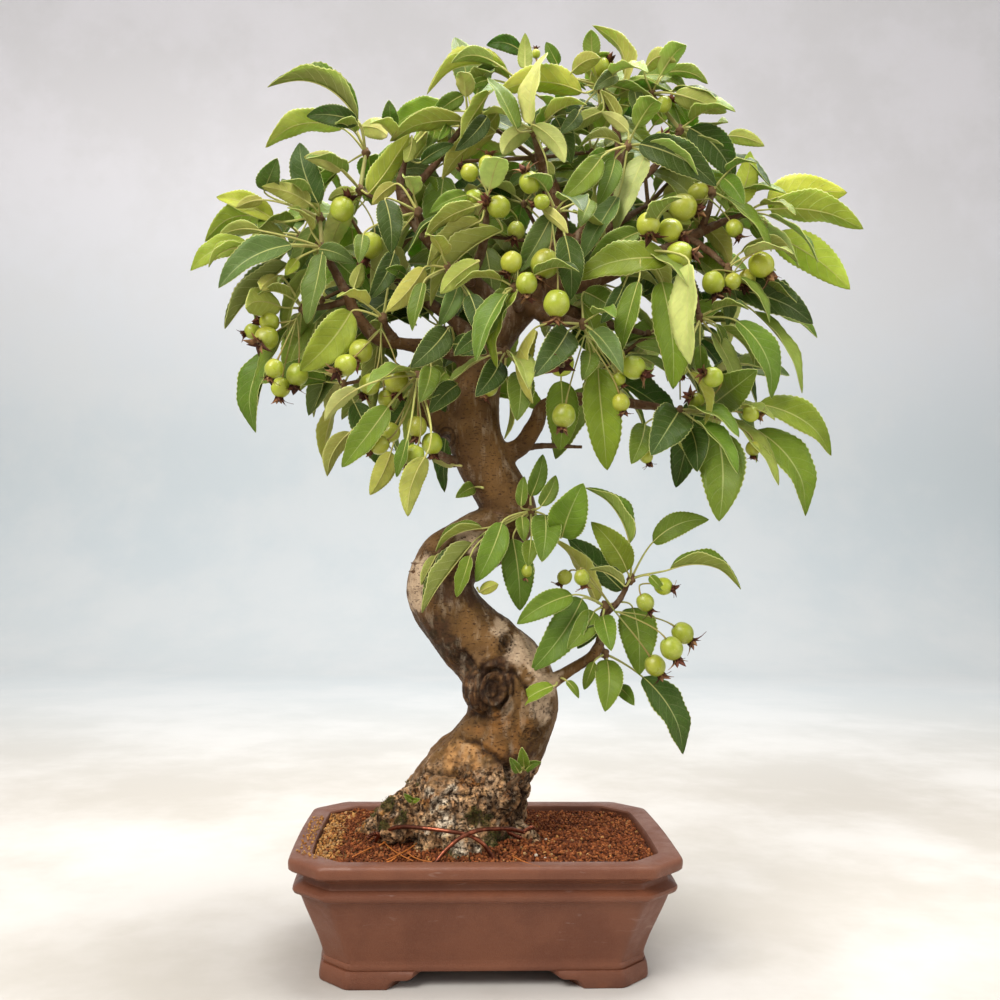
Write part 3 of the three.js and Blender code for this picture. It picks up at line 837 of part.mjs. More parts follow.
// A trimmed stalk starts this far from the middle of its bud or core.
const LEAF_TRIM = 4.6;
const FRUIT_TRIM = 3.4;
const wood = makeWood(0);
const woodRoom = makeWood(GAP);
const neighbours = new Neighbours();
neighbours.add('wood', '', wood);

const sprays = {};
function plantSpray(name, buds, sides) {
  const build = (extra) => buds.map((bud) => budCore(sight(...bud), CORE_RADIUS, extra)).concat(
    buds.slice(1).map((bud) => limb(
      [{ at: sight(...buds[0]), radius: 1.6 }, { at: sight(...bud), radius: 1.3 }], sides, extra)));
  sprays[name] = { parts: build(0), room: build(GAP) };
  sprays[name].parts.forEach((part) => neighbours.add('bud', name, part));
}
Object.entries(SPRAYS).forEach(([name, { buds }]) => plantSpray(name, buds, 4));
Object.entries(BACK_SPRAYS).forEach(([name, { bud, tufts }]) => plantSpray(name, [bud, ...tufts], 3));

const bunches = {};
Object.entries(BUNCHES).forEach(([name, bunch], bunchNumber) => {
  const bud = SPRAYS[name].buds[bunch.bud];
  const core = fruitCore(bud, bunch.fruits);
  const foot = limb([{ at: core, radius: 1.3 }, { at: core.clone().lerp(sight(...bud), 0.7), radius: 1.2 }], 4);
  bunches[name] = [budCore(core, FRUIT_CORE_RADIUS).add(foot)];
  neighbours.add('core', name, bunches[name][0]);
  bunch.fruits.forEach((row, fruitNumber) => {
    const seed = SEEDS.fruit + SEED_STEP * bunchNumber + fruitNumber;
    DEPTH_STEPS.some((step) => {
      const plan = fruitPlan(row, bud, core, seed, step);
      const room = {
        whole: fruitSolid(plan, { swell: GAP }), trimmed: fruitSolid(plan, { swell: GAP, stalkFrom: FRUIT_TRIM }) };
      const blade = fruitSolid(plan, { stalkFrom: FRUIT_TRIM });
      if (neighbours.clash('fruit', name, room, blade)) return false;
      bunches[name].push(fruitSolid(plan));
      neighbours.add('fruit', name, fruitSolid(plan), blade);
      return true;
    });
  });
});

const pairs = stepPairs();
function growLeaf(name, planAt, solidOf) {
  pairs.some((steps) => {
    const plan = planAt(steps);
    const room = {
      whole: solidOf(plan, { swell: GAP }), trimmed: solidOf(plan, { swell: GAP, stalkFrom: LEAF_TRIM }) };
    const blade = solidOf(plan, { bladeOnly: true });
    if (neighbours.clash('leaves', name, room, blade)) return false;
    sprays[name].parts.push(solidOf(plan));
    sprays[name].room.push(room.whole);
    neighbours.add('leaves', name, solidOf(plan), blade);
    return true;
  });
}

Object.entries(SPRAYS).forEach(([name, { buds, leaves }], sprayNumber) => {
  leaves.forEach((row, leafNumber) => {
    const seed = SEEDS.front + SEED_STEP * sprayNumber + leafNumber;
    growLeaf(name, (steps) => frontLeaf(row, buds[row[0]], seed, steps), leafSolid);
  });
});
Object.entries(BACK_SPRAYS).forEach(([name, spray], sprayNumber) => {
  for (let leafNumber = 0; leafNumber < spray.count; leafNumber += 1) {
    const seed = SEEDS.back + SEED_STEP * sprayNumber + leafNumber;
    growLeaf(name, (steps) => backLeaf(spray, leafNumber, seed, steps), keeledLeafSolid);
  }
  spray.tufts.forEach((bud, tuftNumber) => {
    for (let leafNumber = 0; leafNumber < TUFT_LEAVES; leafNumber += 1) {
      const seed = SEEDS.tuft + SEED_STEP * sprayNumber + TUFT_LEAVES * tuftNumber + leafNumber;
      growLeaf(name, (steps) => tuftLeaf(spray, bud, leafNumber, seed, steps), keeledLeafSolid);
    }
  });
});

// The scene graph

const tree = new THREE.Group();

function addPiece(name, solid, colour, roughness, metalness = 0) {
  const { numProp, vertProperties, triVerts } = solid.getMesh();
  const geometry = new THREE.BufferGeometry();
  const position = new Float32Array((vertProperties.length / numProp) * 3);
  for (let i = 0; i < position.length / 3; i += 1) {
    position.set(vertProperties.subarray(i * numProp, i * numProp + 3), i * 3);
  }
  geometry.setAttribute('position', new THREE.BufferAttribute(position, 3));
  geometry.setIndex(new THREE.BufferAttribute(Uint32Array.from(triVerts), 1));
  geometry.computeVertexNormals();
  const mesh = new THREE.Mesh(geometry, new THREE.MeshStandardMaterial({ color: colour, roughness, metalness }));
  mesh.name = name;
  tree.add(mesh);
}

const wires = Object.values(WIRES).map((points) => makeWire(points));
const wireRoom = joined(Object.values(WIRES).map((points) => makeWire(points, GAP)));
const screenRoom = joined([-DRAIN_X, DRAIN_X].map((x) => makeScreen(x, GAP)));

addPiece('pot', makePot(), 0x764a3c, 0.55);
addPiece('drain_screen_left', makeScreen(-DRAIN_X), 0x2c2c2a, 0.8);
addPiece('drain_screen_right', makeScreen(DRAIN_X), 0x2c2c2a, 0.8);
addPiece('soil', makeSoil(joined([woodRoom, wireRoom, screenRoom])), 0x7a4a2a, 0.95);
addPiece('wood', largestPart(wood.subtract(wireRoom)), 0x8a6a4a, 0.85);
Object.keys(WIRES).forEach((name, i) => addPiece(name, wires[i], 0xaa503c, 0.35, 1));
Object.entries(sprays).forEach(([name, { parts }]) => {
  addPiece(`leaves_${name}`, largestPart(joined(parts).subtract(woodRoom)), 0x6f9440, 0.6);
});
Object.entries(bunches).forEach(([name, parts]) => {
  const room = joined([woodRoom, ...sprays[name].room]);
  addPiece(`fruit_${name}`, largestPart(joined(parts).subtract(room)), 0xa4b43c, 0.4);
});

// The origin is on the table, under the middle of the whole tree's box.
const bounds = new THREE.Box3().setFromObject(tree);
const middle = bounds.getCenter(new THREE.Vector3());
tree.position.set(-middle.x, -middle.y, -bounds.min.z);

export default tree;
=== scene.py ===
"""A hall crabapple bonsai: bark, leaves, fruit, soil and clay over its solids. Sizes are in millimetres
until a mesh is made."""

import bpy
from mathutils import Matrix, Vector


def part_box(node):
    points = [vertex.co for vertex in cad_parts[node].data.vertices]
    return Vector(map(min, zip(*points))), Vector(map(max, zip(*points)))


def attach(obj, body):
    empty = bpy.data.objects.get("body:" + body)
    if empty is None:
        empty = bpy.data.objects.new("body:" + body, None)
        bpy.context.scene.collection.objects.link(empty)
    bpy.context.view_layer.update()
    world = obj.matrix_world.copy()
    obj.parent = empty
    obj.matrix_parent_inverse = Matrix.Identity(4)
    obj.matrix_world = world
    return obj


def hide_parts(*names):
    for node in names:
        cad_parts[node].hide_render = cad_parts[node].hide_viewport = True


bl_info = {
    "name": "Hall Crabapple Bonsai",
    "version": (1, 0, 0),
    "blender": (4, 5, 0),
    "location": "View3D > Sidebar > Bonsai",
    "description": "Grows bark, leaves, fruit, soil and clay on the solids of a potted hall crabapple",
    "category": "Object",
}

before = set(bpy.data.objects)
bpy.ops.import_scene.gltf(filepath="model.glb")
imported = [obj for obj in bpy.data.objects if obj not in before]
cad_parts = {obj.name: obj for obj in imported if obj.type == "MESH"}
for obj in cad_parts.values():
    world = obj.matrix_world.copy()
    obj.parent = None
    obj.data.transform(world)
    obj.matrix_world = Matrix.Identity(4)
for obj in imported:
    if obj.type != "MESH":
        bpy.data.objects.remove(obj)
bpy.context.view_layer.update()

import math

import bmesh
import bpy
import numpy as np
from bpy.props import FloatProperty, FloatVectorProperty, IntProperty, PointerProperty
from mathutils import Matrix, Vector

MILLIMETRE = 0.001

# The pot
RIM_HALF_WIDTH = 125
RIM_TOP = 80
DEPTH_LESS = 38.5
RIM_CORNER_CUT = 21
CORNER_ROUNDING = 3.2
SIDE_BOW = 1.5
BODY_BOTTOM = 10
FLOOR_TOP = 18
FOOT_HALF_WIDTH = 105
FOOT_BAND = 12
DRAIN_RADIUS = 8
DRAIN_X = 48
# Half width and height down the outside and down the inside.
POT_OUTSIDE = (
    (101.5, 10), (103.4, 10.6), (104, 12), (103.9, 14), (103.6, 15), (104.6, 19), (107, 27), (110.8, 37),
    (114.6, 47), (117.4, 55), (118, 56.5), (119.6, 57), (121.4, 58.2), (122.2, 60), (122, 61.6), (120.2, 63),
    (117.6, 64.2), (116.8, 65.6), (116.4, 67.6), (117.2, 69.4), (120, 70.8), (123.4, 71.6), (124.7, 73),
    (125, 76), (124.9, 78), (124.3, 79.3), (123.2, 80))
POT_INSIDE = ((118, 80.1), (113, 80), (111.6, 79.6), (111, 78.6), (110.6, 70), (110, 57), (97, 18))

# The front view: an eye point and the axes of a picture 1000 points wide and high.
PICTURE_MIDDLE = 500
EYE = np.array([-28.0, -743.0, 270.0])
EYE_REACH = 1072.0
EYE_YAW = 0.049
EYE_RISE = 0.049
EYE_ROLL = 0.012
SENSOR = 36.0
PICTURE_SIDE = 1000
EYE_FORWARD = np.array([
    math.sin(EYE_YAW) * math.cos(EYE_RISE), math.cos(EYE_YAW) * math.cos(EYE_RISE), math.sin(EYE_RISE)])
LEVEL_RIGHT = np.array([math.cos(EYE_YAW), -math.sin(EYE_YAW), 0.0])
LEVEL_UP = np.cross(LEVEL_RIGHT, EYE_FORWARD)
EYE_RIGHT = LEVEL_RIGHT * math.cos(EYE_ROLL) + LEVEL_UP * math.sin(EYE_ROLL)
EYE_UP = LEVEL_UP * math.cos(EYE_ROLL) - LEVEL_RIGHT * math.sin(EYE_ROLL)

# Depth steps that a leaf or fruit may have been moved by, to keep clear of its neighbours.
DEPTH_STEPS = (0, -7, 7, -14, 14, -22, 22, -31, 31)
BLADE_RATIO = 2.05
LEAF_THICK = 1.7
# A solid leaf's first section by the blade's length: up to this length, its part of the way and of the width.
FIRST_SECTIONS = ((46, 0.45, 1.0), (74, 0.32, 0.98), (math.inf, 0.26, 0.88))
KEEL_WIDEST = 0.45
KEEL_DEPTH = 1.3
TUFT_LEAVES = 3

# Where each kind of leaf or fruit starts its seeds for the draws.
BACK_FILLER_SEEDS = 4000
BACK_SEEDS = 5100
FRONT_FILLER_SEEDS = 5400
TUFT_SEEDS = 6000
SMALL_LEAF_SEEDS = 7000
FRUIT_SEEDS = 9000
SMALL_FRUIT_SEEDS = 9900
BLADE_SEEDS = 50000
SKIN_SEEDS = 70000
FRUIT_CORE_OFFSET = 8
MATCH = 0.15
WELD_REACH = 0.01
BUD_SIZE = 3.0
SLIM_RADIUS = 3.6
WIRE_END_RADIUS = 0.75
TWIST_PITCH = 3.4

# Leaf colours by letter, as seen on the side that shows: each is a leaf's own green with the light or shade
# on it painted in, d for a leaf in shade and b for a brightly lit one. Red, green and blue from 0 to 255.
LEAF_TINTS = {
    "d": (57, 76, 22), "g": (94, 112, 52), "m": (101, 123, 34), "b": (120, 140, 34), "l": (162, 172, 54),
    "y": (184, 184, 72), "p": (190, 190, 112), "o": (168, 168, 78)}
UNDERSIDE = np.array((172, 176, 92))
UPPERSIDE = np.array((108, 130, 44))

# Leafy sprays: picture point and depth of each bud, then the leaves. Each leaf: its bud's number,
# where the blade starts (across, down), its tip (across, down), the width seen, a letter for the face
# that shows (U upper, L lower, F folded) with its colour's letter, and how far the rib bows.
SPRAYS = {
    "left_top": (((360, 190, -12), (366, 153, -4),), (
        (1, 358, 120, 268, 85, 26, "Fd", 14), (1, 358, 122, 306, 116, 22, "Ud", 4),
        (1, 342, 128, 265, 145, 24, "Lo", 10), (1, 360, 127, 329, 118, 14, "Lp", 2),
        (1, 360, 127, 388, 136, 22, "Lp", 4), (0, 342, 169, 304, 157, 18, "Lp", 4),
        (0, 369, 193, 407, 134, 25, "Ll", 5), (0, 355, 192, 328, 200, 14, "Lo", 2),)),
    "left_outer": (((322, 248, -10), (320, 218, -4),), (
        (1, 318, 203, 299, 141, 30, "Ud", -4), (1, 264, 190, 277, 159, 23, "Ug", 0),
        (1, 310, 204, 263, 187, 22, "Lo", 4), (1, 318, 206, 296, 193, 12, "Lo", 2),
        (1, 273, 219, 216, 195, 22, "Ul", 2), (1, 262, 200, 236, 208, 12, "Lo", 2),
        (1, 271, 221, 205, 239, 24, "Ll", 12), (0, 259, 230, 217, 237, 14, "Lo", 3),
        (0, 248, 244, 190, 270, 22, "Ul", 6), (0, 246, 247, 208, 266, 10, "Fl", 4),
        (0, 287, 242, 249, 243, 20, "Lo", 12), (0, 291, 245, 218, 287, 28, "Ug", 6),
        (0, 288, 264, 222, 326, 22, "Fd", -4), (0, 322, 254, 306, 324, 22, "Ug", 4),
        (0, 319, 249, 354, 263, 18, "Ug", 3), (0, 297, 260, 285, 275, 12, "Ul", 0),)),
    "left_low": (((303, 309, -6),), (
        (0, 281, 307, 242, 308, 28, "Lo", 6), (0, 277, 276, 259, 291, 14, "Lo", 2),
        (0, 289, 306, 287, 275, 12, "Ud", 0), (0, 272, 349, 253, 432, 24, "Um", -8),)),
    "left_inner": (((383, 318, -22),), (
        (0, 351, 312, 300, 371, 38, "Ul", 4), (0, 329, 393, 252, 453, 26, "Lo", 4),
        (0, 354, 288, 362, 263, 14, "Lo", 0), (0, 394, 253, 370, 298, 22, "Ud", 3),
        (0, 405, 275, 386, 269, 12, "Um", 2),)),
    "left_foot": (((418, 376, -26),), (
        (0, 352, 416, 266, 461, 22, "Fm", 8), (0, 350, 432, 326, 476, 18, "Lo", -4),
        (0, 388, 407, 341, 467, 28, "Um", 3), (0, 357, 389, 324, 420, 16, "Lp", 2),
        (0, 391, 452, 370, 495, 22, "Lo", 2), (0, 425, 457, 407, 516, 24, "Lo", -4),
        (0, 407, 439, 396, 477, 12, "Um", 2), (0, 443, 352, 424, 377, 14, "Fm", 0),
        (0, 445, 372, 420, 400, 28, "Um", 0), (0, 457, 385, 430, 412, 22, "Ud", 2),)),
    "top_left": (((405, 158, -6),), (
        (0, 391, 127, 389, 101, 17, "Ug", 0), (0, 443, 105, 388, 131, 24, "Ub", 4),
        (0, 412, 137, 405, 163, 14, "Lo", 2), (0, 435, 126, 427, 148, 14, "Um", 2),
        (0, 421, 162, 454, 144, 16, "Ud", 2), (0, 395, 174, 439, 176, 16, "Ug", 6),)),
    "inner_left": (((418, 212, -30),), (
        (0, 385, 200, 391, 253, 26, "Ud", 3), (0, 395, 184, 372, 205, 14, "Lo", 2),
        (0, 363, 235, 359, 262, 16, "Um", 0),)),
    "crown_left": (((468, 118, -14),), (
        (0, 463, 121, 389, 137, 20, "Lo", 3), (0, 463, 95, 431, 119, 18, "Um", 2),
        (0, 489, 92, 459, 138, 14, "Ly", 2), (0, 487, 117, 456, 150, 20, "Ud", 2),
        (0, 494, 133, 440, 178, 22, "Lo", 3), (0, 498, 112, 470, 142, 20, "Lo", 2),)),
    "heart_left": (((486, 205, -44),), (
        (0, 467, 195, 430, 212, 16, "Um", 2), (0, 475, 206, 424, 236, 18, "Lo", 2),
        (0, 480, 221, 425, 264, 20, "Lo", 2), (0, 501, 231, 427, 302, 25, "Fy", 4),)),
    "heart_low_left": (((448, 268, -46),), (
        (0, 424, 268, 386, 312, 24, "Lo", 3), (0, 423, 283, 411, 330, 15, "Um", 2),
        (0, 458, 285, 439, 326, 20, "Ug", 2), (0, 482, 335, 455, 355, 18, "Ud", 2),
        (0, 470, 295, 480, 337, 22, "Ud", 2),)),
    "apex": (((534, 132, -16), (528, 92, -2),), (
        (1, 522, 52, 486, 45, 18, "Ud", 6), (1, 525, 68, 525, 34, 16, "Lo", 0),
        (1, 558, 65, 546, 42, 14, "Um", 0), (1, 508, 72, 426, 88, 24, "Fo", 10),
        (1, 494, 62, 451, 62, 16, "Lo", 6), (1, 488, 80, 468, 90, 10, "Um", 2),
        (0, 531, 124, 545, 51, 17, "Up", -3), (0, 517, 129, 490, 75, 16, "Um", -2),
        (0, 531, 127, 501, 156, 22, "Lp", 5), (0, 534, 125, 566, 163, 20, "Lp", 5),
        (0, 556, 118, 571, 163, 22, "Ug", 2), (0, 547, 161, 547, 192, 12, "Fm", 0),)),
    "top_right": (((600, 88, -4),), (
        (0, 572, 72, 601, 58, 20, "Lo", 4), (0, 592, 58, 591, 29, 18, "Lo", 0),
        (0, 619, 95, 595, 25, 16, "Lo", 14), (0, 617, 75, 595, 89, 16, "Ug", 2),
        (0, 582, 92, 497, 92, 30, "Ly", 8), (0, 579, 112, 560, 133, 16, "Ug", 2),
        (0, 601, 112, 568, 132, 16, "Lo", 2), (0, 619, 121, 602, 90, 12, "Lo", 0),
        (0, 619, 95, 663, 88, 18, "Lo", 6), (0, 637, 77, 690, 91, 16, "Um", 6),
        (0, 634, 88, 640, 118, 16, "Ug", 0),)),
    "right_crown": (((680, 130, -4), (652, 94, -6),), (
        (1, 645, 70, 677, 62, 20, "Lo", 10), (1, 668, 72, 708, 83, 14, "Lo", 4),
        (1, 675, 94, 726, 113, 24, "Lo", 2), (1, 676, 102, 688, 121, 8, "Um", 0),
        (0, 676, 131, 729, 173, 12, "Lo", 3), (0, 690, 128, 734, 181, 34, "Ud", 8),
        (0, 728, 136, 764, 146, 16, "Lo", 3),)),
    "upper_right": (((628, 146, -26),), (
        (0, 628, 131, 601, 112, 14, "Lp", 2), (0, 620, 143, 578, 146, 14, "Fm", 5),
        (0, 605, 152, 587, 158, 12, "Um", 0), (0, 601, 158, 561, 200, 25, "Um", 2),
        (0, 615, 159, 598, 204, 22, "Um", 2), (0, 645, 155, 613, 231, 25, "Up", 3),
        (0, 617, 197, 581, 257, 24, "Ug", 2), (0, 640, 144, 717, 185, 34, "Ud", 5),)),
    "heart": (((556, 212, -50),), (
        (0, 542, 209, 569, 233, 12, "Lp", 0), (0, 552, 215, 519, 272, 27, "Ug", 2),
        (0, 565, 236, 571, 299, 28, "Ud", 3), (0, 590, 200, 580, 226, 18, "Um", 0),)),
    "right_upper": (((712, 192, -12),), (
        (0, 695, 219, 733, 265, 20, "Lo", 3), (0, 696, 248, 731, 273, 16, "Ud", 2),
        (0, 724, 178, 744, 204, 20, "Um", 2),)),
    "right_heart": (((640, 250, -56),), (
        (0, 639, 232, 588, 263, 24, "Um", 2), (0, 668, 259, 575, 277, 34, "Ub", 5),
        (0, 662, 282, 674, 389, 42, "Ub", 2), (0, 689, 264, 686, 364, 27, "Up", 4),
        (0, 638, 282, 620, 352, 22, "Um", 2), (0, 623, 287, 601, 323, 18, "Ud", 2),)),
    "right_tip": (((746, 213, 0),), (
        (0, 767, 201, 845, 193, 40, "Ll", 5), (0, 771, 209, 863, 226, 34, "Ll", 4),
        (0, 774, 236, 850, 289, 38, "Ll", 5), (0, 734, 205, 750, 152, 26, "Ll", 5),
        (0, 751, 221, 768, 223, 12, "Lo", 0), (0, 752, 225, 764, 242, 10, "Um", 0),)),
    "right_mid": (((728, 268, -14),), (
        (0, 731, 289, 815, 322, 34, "Ud", 4), (0, 741, 252, 798, 259, 12, "Lo", 8),
        (0, 724, 285, 728, 326, 16, "Ug", 2),)),
    "right_low": (((700, 318, -24),), (
        (0, 720, 328, 755, 364, 14, "Fm", 3), (0, 737, 321, 773, 398, 26, "Um", 8),
        (0, 716, 324, 723, 356, 8, "Um", 2), (0, 690, 372, 707, 424, 12, "Lo", 4),
        (0, 700, 345, 702, 379, 14, "Um", 0),)),
    "heart_low": (((514, 288, -52),), (
        (0, 515, 269, 498, 303, 18, "Um", 2), (0, 505, 290, 489, 311, 14, "Um", 0),
        (0, 517, 291, 493, 366, 16, "Ub", -6),)),
    "throat": (((506, 352, -33),), (
        (0, 500, 362, 476, 396, 26, "Ud", 2), (0, 520, 372, 517, 420, 27, "Um", 2),)),
    "low_centre": (((583, 324, -47),), (
        (0, 533, 330, 535, 403, 14, "Fy", -22), (0, 568, 331, 535, 375, 34, "Ud", 2),
        (0, 561, 381, 560, 451, 33, "Um", 2), (0, 598, 368, 609, 470, 40, "Ub", -3),
        (0, 590, 352, 583, 378, 20, "Um", 2), (0, 585, 292, 625, 318, 26, "Um", 2),)),
    "low_right": (((680, 411, -22), (717, 413, -8),), (
        (0, 679, 411, 652, 454, 40, "Ud", 0), (0, 690, 428, 697, 470, 28, "Ud", 3),
        (0, 645, 425, 632, 462, 26, "Um", 2), (1, 758, 404, 834, 454, 30, "Ub", 8),
        (1, 757, 430, 809, 515, 34, "Um", 10), (1, 717, 433, 719, 519, 46, "Um", 5),
        (1, 716, 402, 756, 371, 38, "Um", 0),)),
    "crook": (((531, 511, -18),), (
        (0, 531, 496, 543, 454, 18, "Um", 2), (0, 521, 506, 524, 476, 12, "Um", 0),
        (0, 541, 506, 556, 475, 16, "Um", 2), (0, 522, 517, 524, 541, 14, "Um", 0),
        (0, 545, 515, 542, 560, 30, "Um", 2), (0, 502, 523, 476, 582, 27, "Um", 2),
        (0, 472, 543, 420, 611, 20, "Fd", 4), (0, 482, 528, 435, 550, 16, "Fm", 3),
        (0, 470, 556, 456, 597, 15, "Um", 2), (0, 513, 539, 520, 611, 32, "Um", 2),
        (0, 531, 540, 528, 566, 16, "Um", 0), (0, 562, 537, 583, 484, 38, "Um", -2),)),
    "lower_branch": (((631, 579, -15),), (
        (0, 630, 543, 588, 486, 22, "Fm", 4), (0, 627, 571, 592, 523, 30, "Ub", 4),
        (0, 622, 590, 568, 537, 28, "Ud", -2), (0, 653, 542, 709, 519, 24, "Um", 6),
        (0, 670, 569, 742, 585, 22, "Fm", 8), (0, 624, 585, 589, 569, 16, "Fd", 2),
        (0, 650, 576, 664, 591, 10, "Um", 0),)),
    "lower_middle": (((605, 606, -14),), (
        (0, 597, 602, 558, 537, 16, "Lo", 0), (0, 658, 608, 714, 618, 22, "Um", 5),
        (0, 633, 608, 639, 673, 38, "Um", 3), (0, 603, 616, 611, 650, 22, "Um", 0),
        (0, 582, 599, 532, 670, 36, "Um", 4), (0, 572, 595, 517, 624, 26, "Um", 4),
        (0, 594, 612, 568, 648, 24, "Um", 2),)),
    "lower_low": (((605, 654, -10),), (
        (0, 607, 660, 605, 711, 29, "Um", 3), (0, 618, 687, 634, 705, 14, "Um", 2),
        (0, 643, 677, 685, 754, 30, "Ud", 6), (0, 594, 662, 584, 690, 12, "Um", 0),)),
    "sprout": (((522, 770, -43),), (
        (0, 524, 766, 522, 748, 12, "Um", 0), (0, 526, 770, 541, 762, 9, "Um", 2),
        (0, 519, 772, 510, 758, 9, "Um", 0),)),
}


# Sprays behind the crown: bud, how many leaves it bears, the blades' mean length in millimetres, and
# the buds of the leaf tufts that fill the crown's inside, on shoots from that bud.
BACK_SPRAYS = {
    "back_left": ((381, 270, 50), 8, 56, (
        (300, 236, 24), (322, 300, 34), (350, 216, 44), (372, 326, 40), (424, 222, 34), (410, 286, 22))),
    "back_low_left": ((406, 372, 46), 7, 54, ((344, 384, 24), (444, 330, 44), (454, 388, 30))),
    "back_top": ((535, 158, 34), 8, 50, ((472, 112, 20), (446, 162, 34), (592, 152, 40), (600, 108, 20))),
    "back_middle": ((545, 243, 50), 9, 58, (
        (484, 236, 34), (498, 300, 44), (560, 322, 42), (600, 284, 46), (600, 232, 30), (524, 204, 26))),
    "back_right": ((648, 205, 42), 8, 56, ((690, 160, 24), (714, 222, 22), (642, 142, 44), (672, 258, 46))),
    "back_low_right": ((648, 335, 40), 8, 56, (
        (600, 372, 30), (692, 332, 42), (704, 380, 24), (736, 300, 24))),
}

# Small leaves beside the sprays: the point that each stalk leaves, the blade's depth, then a leaf's row.
SMALL_LEAVES = (
    ((462, 466, -20), -20, (0, 454, 465, 432, 460, 10, "Lp", 1)),
    ((484, 488, -20), -20, (0, 474, 487, 457, 497, 14, "Um", 1)),
    ((557, 682, -14), -40, (0, 553, 686, 517, 708, 15, "Ub", 2)),
    ((446, 552, -22), -22, (0, 436, 556, 420, 585, 12, "Lo", 1)),
    ((476, 586, -26), -26, (0, 480, 592, 499, 584, 12, "Lo", 1)),
    ((560, 678, -18), -18, (0, 567, 681, 579, 698, 8, "Um", 1)),
    ((600, 622, -16), -16, (0, 600, 626, 577, 649, 14, "Ud", 2)),
    ((456, 134, -13), -13, (0, 448, 126, 439, 139, 9, "Um", 1)),
    ((460, 126, -13), -13, (0, 451, 128, 450, 144, 8, "Ug", 1)),
    ((448, 268, -46), -50, (0, 478, 262, 440, 294, 22, "Lo", 3)),
    ((455, 342, -6), -44, (0, 447, 330, 412, 366, 28, "Ud", 2)),
    ((452, 346, -6), -44, (0, 454, 344, 486, 353, 22, "Ud", 2)),
    ((428, 352, -4), -40, (0, 431, 367, 420, 402, 22, "Um", 2)),
    ((514, 288, -52), -52, (0, 501, 297, 484, 337, 20, "Um", 2)),
    ((412, 808, -26), -36, (0, 412, 801, 404, 794, 6, "Um", 0)),
    ((412, 808, -26), -36, (0, 413, 801, 420, 799, 5, "Ub", 0)))

# Fruit bunches on the same buds. Each fruit: picture point, radius seen, and where its dry flower
# end shows.
BUNCHES = {
    "left_top": ((342, 210, 12.3, 352, 191), (370, 245, 13, 363, 261),),
    "left_inner": ((361, 351, 12, 357, 360), (346, 365, 11, 340, 372), (370, 384, 10.5, 363, 397),
        (397, 380, 12.3, 397, 394), (386, 398, 8.5, 388, 408),),
    "left_foot": ((391, 432, 9.7, 385, 443), (417, 426, 10.2, 416, 438), (432, 443, 10.7, 433, 454),
        (414, 455, 10.7, 408, 469), (380, 445, 9.5, 370, 451),),
    "left_low": ((267, 338, 12, 262, 344), (270, 322, 9.5, 260, 321), (253, 331, 8, 246, 334),
        (297, 374, 11.2, 295, 386), (281, 387, 9.8, 279, 401), (274, 368, 9.5, 268, 382),),
    "heart_left": ((470, 173, 9, 462, 168), (487, 165, 9, 489, 155), (474, 198, 9, 466, 203),
        (499, 207, 11.5, 489, 204), (516, 230, 9, 514, 238),),
    "heart_low": ((512, 262, 11, 506, 274), (527, 283, 11, 527, 297),),
    "throat": ((490, 387, 9, 485, 396),),
    "heart": ((530, 183, 11, 526, 174), (542, 202, 8, 534, 204), (545, 263, 14.5, 540, 277),
        (557, 303, 13.5, 556, 318),),
    "top_right": ((599, 67, 10, 609, 60), (536, 54, 4.5, 536, 49),),
    "right_crown": ((663, 105, 8.5, 672, 99), (661, 140, 9, 662, 141),),
    "right_upper": ((682, 207, 14, 697, 210), (698, 194, 11, 708, 190), (734, 228, 9, 738, 236),),
    "right_heart": ((648, 224, 12, 649, 235), (670, 230, 12, 680, 236), (679, 254, 13, 691, 255),),
    "right_mid": ((761, 264, 13, 770, 276), (747, 278, 9, 744, 286), (733, 281, 8.5, 728, 289),
        (713, 282, 11.5, 718, 300),),
    "low_centre": ((561, 363, 13.3, 561, 366), (564, 415, 12, 562, 428), (633, 367, 12, 642, 374),
        (621, 402, 9, 624, 416),),
    "low_right": ((696, 402, 9, 690, 398), (646, 456, 7, 650, 466), (750, 414, 8.5, 759, 416),
        (753, 448, 7.5, 753, 462), (713, 377, 10.5, 704, 374),),
    "lower_branch": ((663, 586, 9, 671, 588), (645, 602, 9, 650, 610),),
    "lower_middle": ((565, 577, 7.5, 560, 584), (582, 577, 8, 584, 586), (682, 633, 10.9, 692, 642),
        (671, 648, 11.5, 678, 661), (655, 665, 10.5, 661, 675),),
}


# Single small fruits: the spray they hang from, then the same five values.
SMALL_FRUITS = (
    ("low_centre", (619, 379, 6.5, 623, 385)), ("low_right", (681, 368, 7.5, 682, 378)),
    ("crook", (528, 570, 7, 526, 578)))

